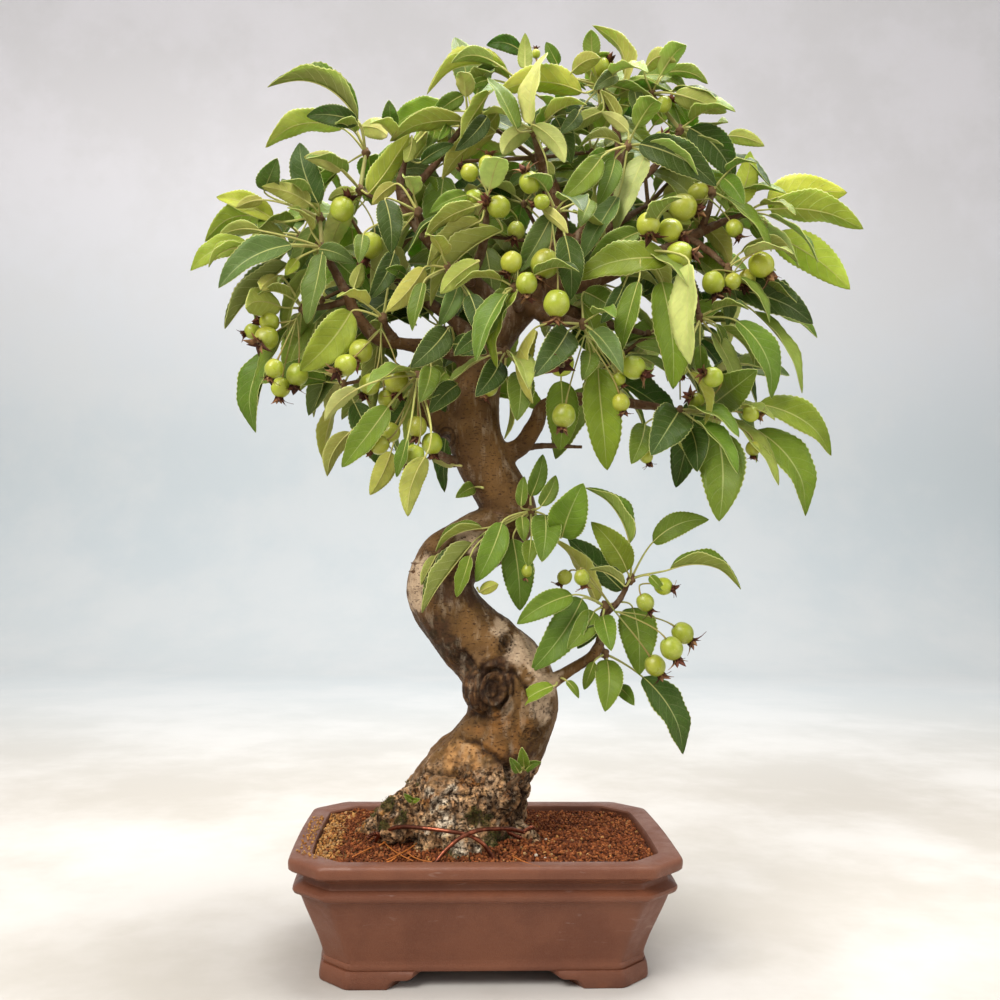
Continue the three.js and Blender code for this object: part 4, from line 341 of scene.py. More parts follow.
# Wood: each limb's points, across and down in the picture, depth, and radius in millimetres.
LIMBS = {
    "trunk_foot": ((455, 872, 6, 41), (458, 828, 4, 45), (471, 790, 2, 39), (491, 757, 0, 32.5),
        (507, 731, -1, 29.5), (513, 698, -2, 31.5), (504, 673, -3, 30), (489, 654, -4, 27),
        (471, 636, -4, 25), (453, 616, -5, 23.5), (440, 592, -6, 22.5), (440, 563, -6, 19),),
    "trunk_bend": ((440, 584, -6, 19), (447, 564, -6, 21.5), (472, 547, -4, 21.5), (501, 529, -1, 20),
        (509, 508, 0, 18),),
    "trunk_top": ((505, 532, -1, 17.5), (509, 510, 0, 19), (498, 487, 0, 18.5), (482, 458, 0, 19),
        (473, 428, 0, 19), (476, 388, 2, 17.5), (487, 350, 3, 15.2), (505, 325, 4, 13),
        (532, 298, 4, 10.8), (557, 256, 4, 8.6), (556, 205, 3, 6.6), (545, 170, 0, 4.8),
        (535, 137, -14, 2.2),),
    "left_low_limb": ((470, 436, 0, 10), (446, 426, -6, 8.5), (428, 412, -16, 6), (420, 393, -22, 4),
        (418, 379, -26, 1.8),),
    "left_limb": ((486, 366, 2, 8), (452, 352, 0, 6.5), (410, 345, -6, 5.2), (377, 338, -10, 4.6),
        (357, 316, -10, 4.2), (347, 295, -9, 3.8), (332, 266, -9, 3), (323, 251, -10, 1.8),),
    "left_inner_spur": ((396, 341, -8, 3.6), (388, 330, -15, 2.8), (384, 321, -21, 1.8),),
    "left_lowest_spur": ((349, 300, -9, 3), (328, 306, -8, 2.4), (306, 309, -6, 1.8),),
    "left_high_limb": ((508, 322, 4, 8), (484, 292, 0, 6.4), (450, 262, -4, 5.4), (424, 234, -6, 4.8),
        (409, 212, -6, 4.4), (400, 188, -6, 3.4), (405, 161, -6, 1.8),),
    "left_top_twig": ((417, 224, -6, 3.6), (392, 206, -9, 2.8), (361, 191, -12, 1.8),),
    "inner_left_spur": ((424, 234, -6, 3), (422, 222, -18, 2.4), (419, 214, -28, 1.8),),
    "crown_left_twig": ((404, 198, -6, 3), (432, 168, -8, 2.8), (456, 136, -12, 2.2),
        (467, 121, -14, 1.7),),
    "heart_left_spur": ((470, 281, -2, 4), (482, 250, -20, 3.2), (486, 224, -36, 2.4),
        (486, 208, -43, 1.8),),
    "heart_low_left_spur": ((474, 284, -2, 3.6), (460, 276, -24, 2.8), (449, 269, -44, 1.8),),
    "heart_spur": ((558, 236, 0, 4), (558, 226, -24, 3), (556, 215, -47, 1.8),),
    "heart_low_spur": ((520, 310, 2, 4.4), (516, 302, -24, 3), (514, 291, -49, 1.8),),
    "throat_spur": ((492, 352, -2, 4), (500, 352, -18, 2.8), (505, 352, -30, 1.8),),
    "right_top_limb": ((553, 264, 4, 6), (588, 228, 0, 5), (612, 192, -10, 3.8), (626, 150, -24, 1.8),),
    "top_right_twig": ((616, 182, -12, 3), (618, 140, -4, 2.6), (606, 100, -4, 2), (601, 91, -4, 1.7),),
    "right_crown_twig": ((606, 204, -8, 3.2), (650, 172, -4, 2.6), (678, 133, -4, 1.7),),
    "right_limb": ((540, 290, 4, 7), (584, 284, 2, 5.6), (634, 264, -2, 4.8), (684, 240, -4, 4),
        (718, 224, -3, 3), (743, 214, 0, 1.7),),
    "right_upper_spur": ((700, 232, -4, 3), (708, 212, -8, 2.4), (712, 195, -12, 1.7),),
    "right_heart_spur": ((634, 264, -2, 3.6), (638, 258, -28, 2.6), (640, 251, -53, 1.8),),
    "right_mid_spur": ((690, 238, -4, 3), (712, 254, -10, 2.4), (726, 267, -14, 1.7),),
    "right_low_spur": ((676, 244, -4, 3.2), (692, 282, -14, 2.6), (699, 315, -24, 1.8),),
    "low_centre_limb": ((528, 304, 2, 7), (550, 318, -12, 5.2), (568, 322, -28, 3.8),
        (581, 324, -43, 1.9),),
    "right_low_limb": ((494, 458, 0, 8), (520, 447, -4, 6.6), (536, 424, -4, 6), (546, 404, -3, 5),
        (586, 399, -4, 4.2), (636, 404, -10, 3.4), (677, 410, -19, 1.8),),
    "dead_stick": ((506, 452, 0, 3.6), (540, 446, -2, 2.2), (582, 447, -2, 1.2),),
    "crook_spur": ((514, 500, 0, 5), (528, 502, -8, 3.4), (531, 508, -14, 1.8),),
    "lower_branch": ((528, 694, -10, 6.5), (552, 682, -16, 5), (572, 669, -16, 4.2),
        (591, 657, -14, 3.8), (600, 643, -12, 3.4), (602, 622, -12, 2.8), (604, 610, -13, 1.8),),
    "lower_branch_tip": ((602, 616, -12, 2.6), (618, 602, -13, 2.2), (629, 582, -14, 1.7),),
    "lower_branch_spur": ((600, 646, -12, 2.6), (604, 652, -10, 1.8),),
    "stub": ((456, 462, -6, 4), (444, 457, -12, 3), (436, 451, -15, 2.2),),
    "sprout_stem": ((508, 786, -30, 2.4), (516, 780, -38, 1.6), (521, 773, -41, 1.2),),
    "back_left": ((486, 352, 6, 8), (450, 318, 26, 5), (410, 290, 40, 3.4), (382, 271, 49, 1.8),),
    "back_low_left": ((478, 396, 4, 7), (450, 392, 22, 4.6), (424, 384, 38, 3), (408, 374, 43, 1.8),),
    "back_top": ((558, 234, 6, 6), (548, 196, 20, 4), (536, 160, 31, 1.8),),
    "back_middle": ((532, 296, 8, 7), (538, 270, 30, 4.6), (544, 244, 47, 1.8),),
    "back_right": ((552, 262, 8, 6), (602, 232, 24, 4.4), (646, 206, 39, 1.8),),
    "back_low_right": ((538, 300, 8, 6), (588, 318, 24, 4.4), (646, 334, 37, 1.8),),
}


# Surface roots: heading round the trunk's foot in degrees, reach, drop and stoutness.
ROOTS = (
    (178, 66, 0, 15), (212, 60, 2, 13), (246, 54, 0, 14), (272, 60, 0, 17), (305, 54, 3, 12),
    (340, 66, 2, 12), (22, 60, 3, 11), (78, 48, 3, 12), (134, 52, 2, 12))
TRUNK_FOOT = np.array([-22.0, 2.0, 0.0])

# Ring scars of the front bark: middle in the picture, the ring's half width and half height there, and
# how deep its middle lies in millimetres.
RING_SCARS = (
    (493, 690, 11.0, 15.0, 4.2), (505, 643, 5.0, 7.0, 2.6), (533, 733, 7.0, 4.5, 1.6),
    (447, 438, 6.0, 8.0, 2.2), (461, 657, 5.0, 5.0, 1.6), (547, 709, 3.0, 3.0, 0.9),
    (392, 803, 3.5, 3.5, 1.2), (427, 552, 3.0, 4.0, 0.6))

# Swellings of the trunk, the first round the largest scar: picture point, depth, and half sizes in
# millimetres.
BOSSES = (
    (485, 688, -17, (16.0, 20.0, 18.5)), (398, 818, -26, (14.0, 14.0, 18.0)),
    (442, 798, -32, (17.0, 13.0, 14.0)), (468, 844, -42, (11.0, 11.0, 13.0)),
    (502, 792, -22, (13.0, 13.0, 17.0)))

# Cracks of the front bark: points in the picture, half width and depth in millimetres.
CRACKS = (
    (((464, 654), (476, 668), (498, 669), (516, 674), (528, 688), (533, 696)), 2.0, 3.4),
    (((468, 716), (482, 716), (500, 706), (512, 694), (513, 676)), 1.6, 2.6),
    (((462, 738), (478, 744), (492, 755), (504, 766), (512, 772)), 2.0, 2.8),
    (((507, 766), (516, 782), (520, 800), (522, 818)), 4.0, 5.5),
    (((400, 768), (424, 772), (450, 776), (470, 776)), 1.4, 1.8),
    (((424, 812), (438, 800), (452, 792), (470, 796)), 1.8, 2.2),
    (((446, 866), (452, 840), (456, 812)), 2.0, 2.4), (((478, 866), (472, 842), (470, 826)), 2.0, 2.4),
    (((534, 702), (535, 716)), 0.9, 1.2), (((466, 690), (468, 706)), 1.0, 1.0))

# Raised threads of the front bark, as the cracks are given.
THREADS = (
    (((504, 632), (498, 638), (495, 648), (496, 662)), 0.8, 1.3),
    (((508, 631), (502, 637), (500, 647)), 0.7, 1.1),
    (((462, 733), (478, 739), (494, 750), (506, 761)), 1.3, 1.3),
    (((466, 744), (480, 750), (492, 761)), 1.2, 1.1),
    (((512, 676), (520, 690), (518, 704)), 1.4, 1.0), (((470, 672), (484, 664), (500, 664)), 1.4, 1.0),
    (((520, 652), (540, 660), (552, 676)), 1.6, 0.5), (((516, 724), (534, 726), (550, 722)), 1.2, 0.6))

# Copper wires round the roots: picture points with depth.
WIRES = {
    "wire_low": (
        (370, 850, -27), (381, 834, -33), (399, 827, -44), (422, 828, -53), (447, 831, -59), (468, 835, -60),
        (482, 843, -62), (489, 852, -61), (494, 862, -60)),
    "wire_high": (
        (434, 865, -70), (444, 852, -67), (460, 838, -66), (476, 831, -62), (492, 829, -54), (510, 829, -42),
        (523, 832, -32)),
}
WIRE_RADIUS = 1.35

SEPALS = 7
SEPAL_COLOURS = ((132, 88, 58), (100, 54, 40), (72, 40, 28), (156, 116, 78), (116, 68, 52))

# Radius and height down a fruit's half section, from the stalk's hollow to the dry flower end.
FRUIT_SECTION = (
    (0.0, -0.84), (0.16, -0.88), (0.38, -0.93), (0.62, -0.80), (0.84, -0.5), (0.97, -0.12), (0.99, 0.22),
    (0.9, 0.52), (0.72, 0.78), (0.52, 0.96), (0.36, 1.06), (0.27, 1.1), (0.0, 1.08))
FRUIT_COLUMNS = 20


# Places

def pot_centre():
    """The middle of the pot's box on the table, in millimetres."""
    low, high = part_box("pot")
    return np.array([(low.x + high.x) / 2, (low.y + high.y) / 2, 0.0]) / MILLIMETRE


POT_CENTRE = pot_centre()


def view_ray(across, down):
    """Directions of the lines of sight through picture points."""
    return (EYE_FORWARD + EYE_RIGHT * ((across - PICTURE_MIDDLE) / EYE_REACH)[..., None]
            + EYE_UP * ((PICTURE_MIDDLE - down) / EYE_REACH)[..., None])


def sight(across, down, depth):
    """Points that stand at (across, down) in the front view, at a depth behind the pot's middle: the
    eye point plus the view ray, run until its depth is reached."""
    across, down, depth = np.broadcast_arrays(across, down, depth)
    ray = view_ray(across, down)
    return EYE + ray * ((depth - EYE[1]) / ray[..., 1])[..., None]


def point_size(depth):
    """Millimetres per picture point at a depth."""
    return (depth - EYE[1]) / EYE_REACH


def seen_at(points):
    """Where points show in the front view, across and down."""
    away = points - EYE
    far = away @ EYE_FORWARD
    across = PICTURE_MIDDLE + EYE_REACH * (away @ EYE_RIGHT) / far
    return across, PICTURE_MIDDLE - EYE_REACH * (away @ EYE_UP) / far


def draws(seed):
    """A repeatable draw of numbers from 0 to 1, in 32-bit whole-number steps."""
    full = 0xFFFFFFFF
    state = [seed & full]

    def draw():
        state[0] = (state[0] + 0x6D2B79F5) & full
        now = state[0]
        mixed = ((now ^ (now >> 15)) * (now | 1)) & full
        mixed = ((mixed + (mixed ^ (mixed >> 7)) * (mixed | 61)) & full) ^ mixed
        return (mixed ^ (mixed >> 14)) / 4294967296
    return draw


def unit(vector):
    """The vector, or each row of an array, at length one."""
    return vector / np.maximum(np.linalg.norm(vector, axis=-1, keepdims=True), 1e-12)


def square_to(along, towards):
    """The part of a direction that is square to another, at length one."""
    return unit(towards - along * (towards @ along))


def linear(colour):
    """A colour of 0 to 255 as linear light."""
    part = np.asarray(colour, float) / 255
    return np.where(part <= 0.04045, part / 12.92, ((part + 0.055) / 1.055) ** 2.4)


def cell_key(cell, seed):
    """A scrambled whole number for each lattice cell."""
    key = cell @ np.array([73856093, 19349663, 83492791]) + seed * 2654435
    key = (key ^ (key >> 13)) * 1274126177
    return key ^ (key >> 16)


def ripple(points, size, seed):
    """Smooth noise from -1 to 1 with lumps of the given size: eight seeded corner values of each
    cell of a cubic lattice, eased between the corners."""
    place = points / size + seed * 17.31
    cell = np.floor(place).astype(np.int64)
    part = place - cell
    part = part * part * (3 - 2 * part)
    total = np.zeros(len(points))
    for corner in range(8):
        step = np.array([corner & 1, (corner >> 1) & 1, (corner >> 2) & 1])
        value = (cell_key(cell + step, seed) & 0xFFFF) / 32767.5 - 1
        total += value * np.prod(np.where(step, part, 1 - part), axis=1)
    return total


def cells(points, size, seed):
    """Cell noise: each lattice cell holds one seeded point. Gives how much farther the second nearest
    of them is than the nearest, in cell sizes, and the nearest one's own number from 0 to 1."""
    place = points / size + seed * 7.13
    home = np.floor(place).astype(np.int64)
    first = np.full(len(points), 9.0)
    second = np.full(len(points), 9.0)
    number = np.zeros(len(points))
    for step in np.ndindex(3, 3, 3):
        cell = home + np.array(step) - 1
        key = cell_key(cell, seed)
        jitter = np.stack([key & 0x3FF, (key >> 10) & 0x3FF, (key >> 20) & 0x3FF], axis=1) / 1023
        apart = np.linalg.norm(cell + 0.1 + 0.8 * jitter - place, axis=1)
        nearer = apart < first
        second = np.where(nearer, first, np.minimum(second, apart))
        number = np.where(nearer, ((key >> 5) & 0xFFFF) / 65535, number)
        first = np.minimum(first, apart)
    return second - first, number


def ease(low, high, value):
    """0 below low, 1 above high, and a smooth rise between."""
    part = np.clip((value - low) / (high - low), 0, 1)
    return part * part * (3 - 2 * part)


# Meshes

def enclosed(points, faces):
    """Six times the signed volume between faces and the first point, a sum over their triangles."""
    total = 0.0
    for k in range(1, faces.shape[1] - 1):
        a, b, c = (points[faces[:, corner]] - points[0] for corner in (0, k, k + 1))
        total += float(np.einsum("ij,ij->", a, np.cross(b, c)))
    return total


def put(collection, name, values, kind=np.float32):
    """Writes an array into one property of a mesh's elements."""
    collection.foreach_set(name, values.astype(kind).ravel())


def get(collection, name, width=1, kind=np.float32):
    """Reads one property of a mesh's elements, width numbers for each."""
    flat = np.empty(len(collection) * width, kind)
    collection.foreach_get(name, flat)
    return flat.reshape(-1, width).astype(float) if width > 1 else flat


class Gather:
    """Collects surfaces in millimetres, with a value or colour at each point, and makes one piece."""

    def __init__(self):
        self.points = []
        self.faces = []
        self.finishes = []
        self.layers = {}
        self.count = 0

    def add(self, points, faces, finish=0, **layers):
        """Adds points (n, 3) and faces, a list of (m, 3) or (m, 4) arrays of point numbers, that make
        closed forms. Faces that look inwards, by the volume that they enclose, are turned over. A
        layer is one number, one row for all points, or one number or row for each point."""
        faces = [np.asarray(block) for block in faces]
        if sum(enclosed(points, block) for block in faces) < 0:
            faces = [block[:, ::-1] for block in faces]
        self.points.append(points)
        for block in faces:
            self.faces.append(block + self.count)
            self.finishes.append(np.full(len(block), finish))
        for name, value in layers.items():
            value = np.asarray(value, float)
            if value.ndim == 0 or len(value) != len(points):
                value = np.tile(value, (len(points), 1))
            self.layers.setdefault(name, []).append((self.count, value))
        self.count += len(points)

    def piece(self, name, finishes, slot, replaced=(), smooth=True, welded=False):
        """Makes the object, rides it on the tree's body and hides the solids that it stands for. Surfaces
        that only meet along their edges are welded into closed forms."""
        mesh = bpy.data.meshes.new(name)
        points = np.concatenate(self.points)
        corners = np.concatenate([block.ravel() for block in self.faces])
        sides = np.concatenate([np.full(len(block), block.shape[1]) for block in self.faces])
        mesh.vertices.add(len(points))
        put(mesh.vertices, "co", (points + POT_CENTRE) * MILLIMETRE)
        mesh.loops.add(len(corners))
        put(mesh.loops, "vertex_index", corners, np.int32)
        mesh.polygons.add(len(sides))
        put(mesh.polygons, "loop_start", np.cumsum(sides) - sides, np.int32)
        for finish in finishes:
            mesh.materials.append(finish)
        put(mesh.polygons, "material_index", np.concatenate(self.finishes), np.int32)
        mesh.update(calc_edges=True)
        put(mesh.polygons, "use_smooth", np.full(len(sides), smooth), bool)
        for layer, blocks in self.layers.items():
            self.write_layer(mesh, layer, blocks, corners)
        mesh.validate()
        if welded:
            weld(mesh)
        made = bpy.data.objects.new(name, mesh)
        bpy.context.scene.collection.objects.link(made)
        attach(made, "root")
        if replaced:
            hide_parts(*replaced)
        return made

    def write_layer(self, mesh, layer, blocks, corners):
        """Writes one layer: width 1 as a value, 2 as a UV map, 3 as a colour."""
        width = blocks[0][1].size // len(blocks[0][1])
        whole = np.zeros((self.count, width))
        for start, value in blocks:
            whole[start:start + len(value)] = value.reshape(len(value), width)
        if width == 1:
            put(mesh.attributes.new(layer, "FLOAT", "POINT").data, "value", whole)
        elif width == 2:
            put(mesh.uv_layers.new(name=layer).data, "uv", whole[corners])
        else:
            four = np.concatenate([whole, np.ones((self.count, 1))], axis=1)
            put(mesh.color_attributes.new(layer, "FLOAT_COLOR", "POINT").data, "color", four)


def weld(mesh):
    """Merges points that lie in one place and turns each closed form's faces outwards."""
    work = bmesh.new()
    work.from_mesh(mesh)
    bmesh.ops.remove_doubles(work, verts=work.verts, dist=WELD_REACH * MILLIMETRE)
    bmesh.ops.recalc_face_normals(work, faces=work.faces)
    work.to_mesh(mesh)
    work.free()


def put_on(name, chosen):
    """Gives every material slot of a solid one finish."""
    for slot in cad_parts[name].material_slots:
        slot.material = chosen


def grid_faces(rows, columns, closed=False):
    """Quads of a grid of rows by columns points; closed joins the last column to the first."""
    row = np.arange(rows - 1)[:, None] * columns
    column = np.arange(columns if closed else columns - 1)[None, :]
    after = (column + 1) % columns
    quads = np.stack([row + column, row + after, row + columns + after, row + columns + column], axis=-1)
    return quads.reshape(-1, 4)


def capped_faces(rows, columns):
    """Faces of closed rings, one row each, with a point past either end: the last two points."""
    count = rows * columns
    ring = np.arange(columns)
    after = (ring + 1) % columns
    near = np.stack([np.full(columns, count), after, ring], axis=1)
    far = np.stack([np.full(columns, count + 1), count - columns + ring, count - columns + after], axis=1)
    return [grid_faces(rows, columns, closed=True), near, far]


def turned(columns):
    """The angles of so many columns round a circle."""
    return np.arange(columns) * (2 * math.pi / columns)


def ball(rows, columns, inset, tall=1.0):
    """Rings of a ball of radius one, tall along its axis: (sin t cos turn, sin t sin turn, tall cos t),
    with t from inset to 1 - inset of a half turn. Gives t and turn too."""
    t = np.linspace(inset, 1 - inset, rows)[:, None] * math.pi
    turn = turned(columns)[None, :]
    rings = np.broadcast_arrays(np.sin(t) * np.cos(turn), np.sin(t) * np.sin(turn), np.cos(t) * tall)
    return np.stack(rings, axis=-1), t, turn


def carried(path, steps):
    """A path's points resampled: a Catmull-Rom curve through rows of numbers, steps to each span."""
    path = np.asarray(path, float)
    ends = np.concatenate([[2 * path[0] - path[1]], path, [2 * path[-1] - path[-2]]])
    t = (np.arange(steps) / steps)[:, None]
    pieces = []
    for k in range(len(path) - 1):
        a, b, c, d = ends[k:k + 4]
        pieces.append(0.5 * (2 * b + (c - a) * t + (2 * a - 5 * b + 4 * c - d) * t ** 2
                             + (3 * b - a - 3 * c + d) * t ** 3))
    return np.concatenate(pieces + [path[-1:]])


def sighted(rows):
    """Rows that start with a picture point and its depth, as points."""
    return sight(rows[:, 0], rows[:, 1], rows[:, 2])


def run_length(path):
    """How far along a path each of its points lies."""
    return np.concatenate([[0], np.cumsum(np.linalg.norm(np.diff(path, axis=0), axis=1))])


def frames(path):
    """Two directions square to each point's heading along a path, that turn as little as they can."""
    heading = unit(np.gradient(path, axis=0))
    side = np.empty_like(path)
    side[0] = unit(np.cross(heading[0], (0.3, 0.2, 1.0) if abs(heading[0][2]) < 0.9 else (1.0, 0.2, 0.1)))
    for k in range(1, len(path)):
        side[k] = square_to(heading[k], side[k - 1])
    return side, np.cross(heading, side)


def tube(path, radii, sides):
    """A round limb: at each path point a ring, radius times (cos, sin) on the two square directions;
    each end closes on a point."""
    side, across = frames(path)
    angle = turned(sides)
    reach = np.broadcast_to(radii, len(path)).astype(float)[:, None]
    rings = (path[:, None, :] + side[:, None, :] * (np.cos(angle)[None, :] * reach)[..., None]
             + across[:, None, :] * (np.sin(angle)[None, :] * reach)[..., None])
    return np.concatenate([rings.reshape(-1, 3), path[:1], path[-1:]]), capped_faces(len(path), sides)


def tube_share(rows, sides):
    """How far along a tube each of its points lies, from 0 to 1."""
    return np.concatenate([np.repeat(np.linspace(0, 1, rows), sides), [0.0, 1.0]])


def bent_stalk(root, root_heading, end, end_heading, steps):
    """A stalk's path: the cubic between two points with a heading at each."""
    reach = np.linalg.norm(end - root)
    t = np.linspace(0, 1, steps)[:, None]
    return ((2 * t ** 3 - 3 * t ** 2 + 1) * root + (t ** 3 - 2 * t ** 2 + t) * root_heading * reach
            + (3 * t ** 2 - 2 * t ** 3) * end + (t ** 3 - t ** 2) * end_heading * reach)


# Leaves

def step_pairs():
    """Pairs of depth steps for a blade's start and tip, the smallest moves first."""
    count = len(DEPTH_STEPS)
    return [(DEPTH_STEPS[i], DEPTH_STEPS[total - i]) for total in range(count) for i in range(total + 1)]


def front_leaf(row, bud, seed, steps=(0, 0)):
    """How a leaf of the front view lies: start and tip on their lines of sight, the tip brought
    forward by the length that the view foreshortens, the blade turned until its width is the one seen."""
    draw = draws(seed)
    _, start_across, start_down, tip_across, tip_down, wide, look, bow = row
    face = look[0]
    start_depth = bud[2] + (draw() - 0.62) * 26 + steps[0]
    start = sight(start_across, start_down, start_depth)
    seen = np.linalg.norm(start - sight(tip_across, tip_down, start_depth))
    size = point_size(start_depth)
    width = max(wide * size, seen / 2.5)
    length = max(seen, BLADE_RATIO * wide * size)
    towards = math.sqrt(max(0, length * length - seen * seen))
    tip = sight(tip_across, tip_down, start_depth - towards + (draw() - 0.5) * 12 + steps[1])
    along = unit(tip - start)
    facing = square_to(along, unit(EYE - start))
    aside = np.cross(along, facing)
    if aside[2] < 0:
        aside = -aside
    show = 0.3 if face == "F" else min(1, wide * size / width)
    outward = facing * (-show if face == "L" else show) + aside * math.sqrt(1 - show * show)
    run_across, run_down = tip_across - start_across, tip_down - start_down
    slant = math.hypot(run_across, run_down)
    bow_across, bow_down = run_down / slant, -run_across / slant
    lying = abs(run_across) >= abs(run_down)
    if (lying and bow_down > 0) or (not lying and bow_across < 0):
        bow_across, bow_down = -bow_across, -bow_down
    bend = (EYE_RIGHT * (bow_across * bow * size) - EYE_UP * (bow_down * bow * size)
            + outward * (0.06 * length))
    return {"bud": sight(*bud), "start": start, "tip": tip, "outward": outward, "bend": bend, "width": width,
            "fold": 0.85 if face == "F" else 0.2}


def hung_leaf(bud, out, stalk, length, moved, up, arch, ratio=BLADE_RATIO, fold=0.25):
    """How a leaf lies that leaves its bud along out, its tip moved, its upper side towards up."""
    start = bud + out * stalk
    tip = start + out * length + np.array(moved)
    outward = square_to(unit(tip - start), np.array(up))
    return {"bud": bud, "start": start, "tip": tip, "outward": outward, "bend": outward * (arch * length),
            "width": length / ratio, "fold": fold}


def back_leaf(spray, index, seed, steps):
    """How a leaf behind the crown lies: headings by the golden angle, drooping outwards."""
    draw = draws(seed)
    place, count, mean_length, _ = spray
    heading = index * 2.4 + draw() * 0.7
    lift = 0.55 - 1.15 * (index + 0.5) / count + steps[0] * 0.012
    out = unit(np.array([math.cos(heading), 0.55 + 0.75 * abs(math.sin(heading)), lift]))
    stalk = 12 + 12 * draw()
    length = mean_length * (0.8 + 0.4 * draw())
    moved = (0, 0, steps[1] * 0.5 - length * (0.28 + 0.2 * draw()))
    return hung_leaf(sight(*place), out, stalk, length, moved, (0.2 * (draw() - 0.5), 0.3, 1.0), 0.09)


def tuft_leaf(mean_length, place, index, seed, steps):
    """How a leaf of a tuft lies: the leaves spread like spokes, their upper sides to the front."""
    draw = draws(seed)
    heading = (index + 0.6 * draw()) * 2 * math.pi / TUFT_LEAVES + place[0]
    backward = 0.4 * draw() - 0.1 + steps[0] * 0.015
    out = unit(np.array([math.cos(heading), backward, 0.8 * math.sin(heading) + 0.1]))
    stalk = 8 + 8 * draw()
    length = mean_length * (0.75 + 0.35 * draw())
    moved = (0, steps[1] * 0.8, -length * (0.1 + 0.2 * draw()))
    return hung_leaf(sight(*place), out, stalk, length, moved, (0.5 * (draw() - 0.5), -0.9, 0.7), 0.08)


def solid_corners(node):
    """A solid's own corners, in millimetres from the pot's middle."""
    return np.unique(get(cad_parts[node].data.vertices, "co", 3) / MILLIMETRE - POT_CENTRE, axis=0)


def rib_point(plan, part):
    """The point at a part of a blade's rib, and the direction across the blade."""
    run = plan["tip"] - plan["start"]
    across = unit(np.cross(unit(run), plan["outward"]))
    return plan["start"] + run * part + plan["bend"] * (4 * part * (1 - part)), across


def leaf_marks(plan):
    """Points that the leaf's solid must have: the tip and the first section's margins and ribs."""
    length = np.linalg.norm(plan["tip"] - plan["start"])
    part, fill = next(pair for longest, *pair in FIRST_SECTIONS if length <= longest)
    middle, across = rib_point(plan, part)
    half = fill * plan["width"] / 2
    flat = across * (half * math.cos(plan["fold"]))
    raised = plan["outward"] * (half * math.sin(plan["fold"]))
    thick = plan["outward"] * (LEAF_THICK / 2)
    margins = (middle - flat + raised, middle + flat + raised)
    return np.array([plan["tip"], *margins, middle + thick, middle - thick])


def keeled_marks(plan):
    """Points that a leaf's solid in the back must have: its tip, and its widest margins and keel."""
    middle, across = rib_point(plan, KEEL_WIDEST)
    half = across * (plan["width"] / 2)
    return np.array([plan["tip"], middle - half, middle + half, middle - plan["outward"] * KEEL_DEPTH])


def kept(corners, plans, marks):
    """The first plan whose marks are corners of the solid, else the one with most marks there if they
    are more than half, or None where it was left out."""
    best, most, found = None, 0, 0
    for plan in plans:
        apart = np.linalg.norm(corners[None, :, :] - marks(plan)[:, None, :], axis=2).min(axis=1)
        hits = int((apart < MATCH).sum())
        if hits > found:
            best, found, most = plan, hits, len(apart)
        if hits == len(apart):
            return plan
    return best if best is not None and found >= most * 0.55 else None


def blade_width(part):
    """Half width along a blade, from 0 at the stalk to 1 and down to a drawn-out tip."""
    part = np.clip(part, 1e-4, 1 - 1e-4)
    return part ** 0.52 * (1 - part) ** 0.8 / 0.4127


def leaf_surface(plan, draw, rows, columns, thick):
    """A leaf's upper and lower faces on one grid: the rib runs from start to tip along its bow and
    dips at the tip; each margin stands off by the half width, raised by the fold, waved, toothed at
    the edge, and puffed between the side veins."""
    along_line = plan["tip"] - plan["start"]
    length = np.linalg.norm(along_line)
    outward = plan["outward"]
    across = unit(np.cross(along_line / length, outward))
    u = np.linspace(0, 1, rows)[:, None]
    v = np.linspace(-1, 1, columns)[None, :]
    half = plan["width"] / 2
    edge = np.abs(v)
    tooth = np.where(np.arange(rows)[:, None] % 2 == 0, 0.045, -0.02) * (edge > 0.99) * ease(0.02, 0.2, u)
    wide = blade_width(u) * (1 + tooth) + (0.5 / half) * (1 - u) ** 3 + 0.08 / half
    wave = 0.07 + 0.07 * draw()
    phase = draw() * 6.28
    turn = (draw() - 0.5) * 0.45 * (u - 0.35)
    fold = plan["fold"] * (0.9 + 1.1 * draw())
    waves = wave * np.sin(phase + 6.28 * (1.6 + draw()) * u + 1.3 * np.sign(v)) * edge ** 2 * blade_width(u)
    rise = wide * edge ** 1.15 * math.sin(fold) + waves
    puff = 0.22 / half * np.cos(6.28 * (9 * u - 1.7 * edge)) * np.sin(math.pi * edge) * ease(0, 0.1, u)
    groove = -0.3 / half * np.exp(-(v / 0.09) ** 2)
    side = wide * v * math.cos(fold)
    up = rise + puff + groove
    flat = side * np.cos(turn) - up * np.sin(turn)
    high = side * np.sin(turn) + up * np.cos(turn)
    dip = -0.05 * length * ease(0.62, 1.0, u) * (0.4 + draw())
    line = (plan["start"] + along_line * u[..., None] + plan["bend"] * (4 * u * (1 - u))[..., None]
            + outward * dip[..., None])
    middle = line + across * (flat * half)[..., None] + outward * (high * half)[..., None]
    uv = np.stack(np.broadcast_arrays(u, v * 0.5 + 0.5), axis=-1)
    return middle + outward * (thick / 2), middle - outward * (thick / 2), uv


def leaf_faces(rows, columns):
    """Faces of a closed blade: the upper grid, the lower one turned over, and the edge between."""
    count = rows * columns
    upper = grid_faces(rows, columns)
    left = np.arange(rows) * columns
    near = np.arange(columns)

    def strip(run):
        return np.stack([run[:-1], run[:-1] + count, run[1:] + count, run[1:]], axis=1)

    sides = [strip(left)[:, ::-1], strip(left + columns - 1)]
    return [upper, upper[:, ::-1] + count, *sides, strip(near), strip(near + count - columns)[:, ::-1]]


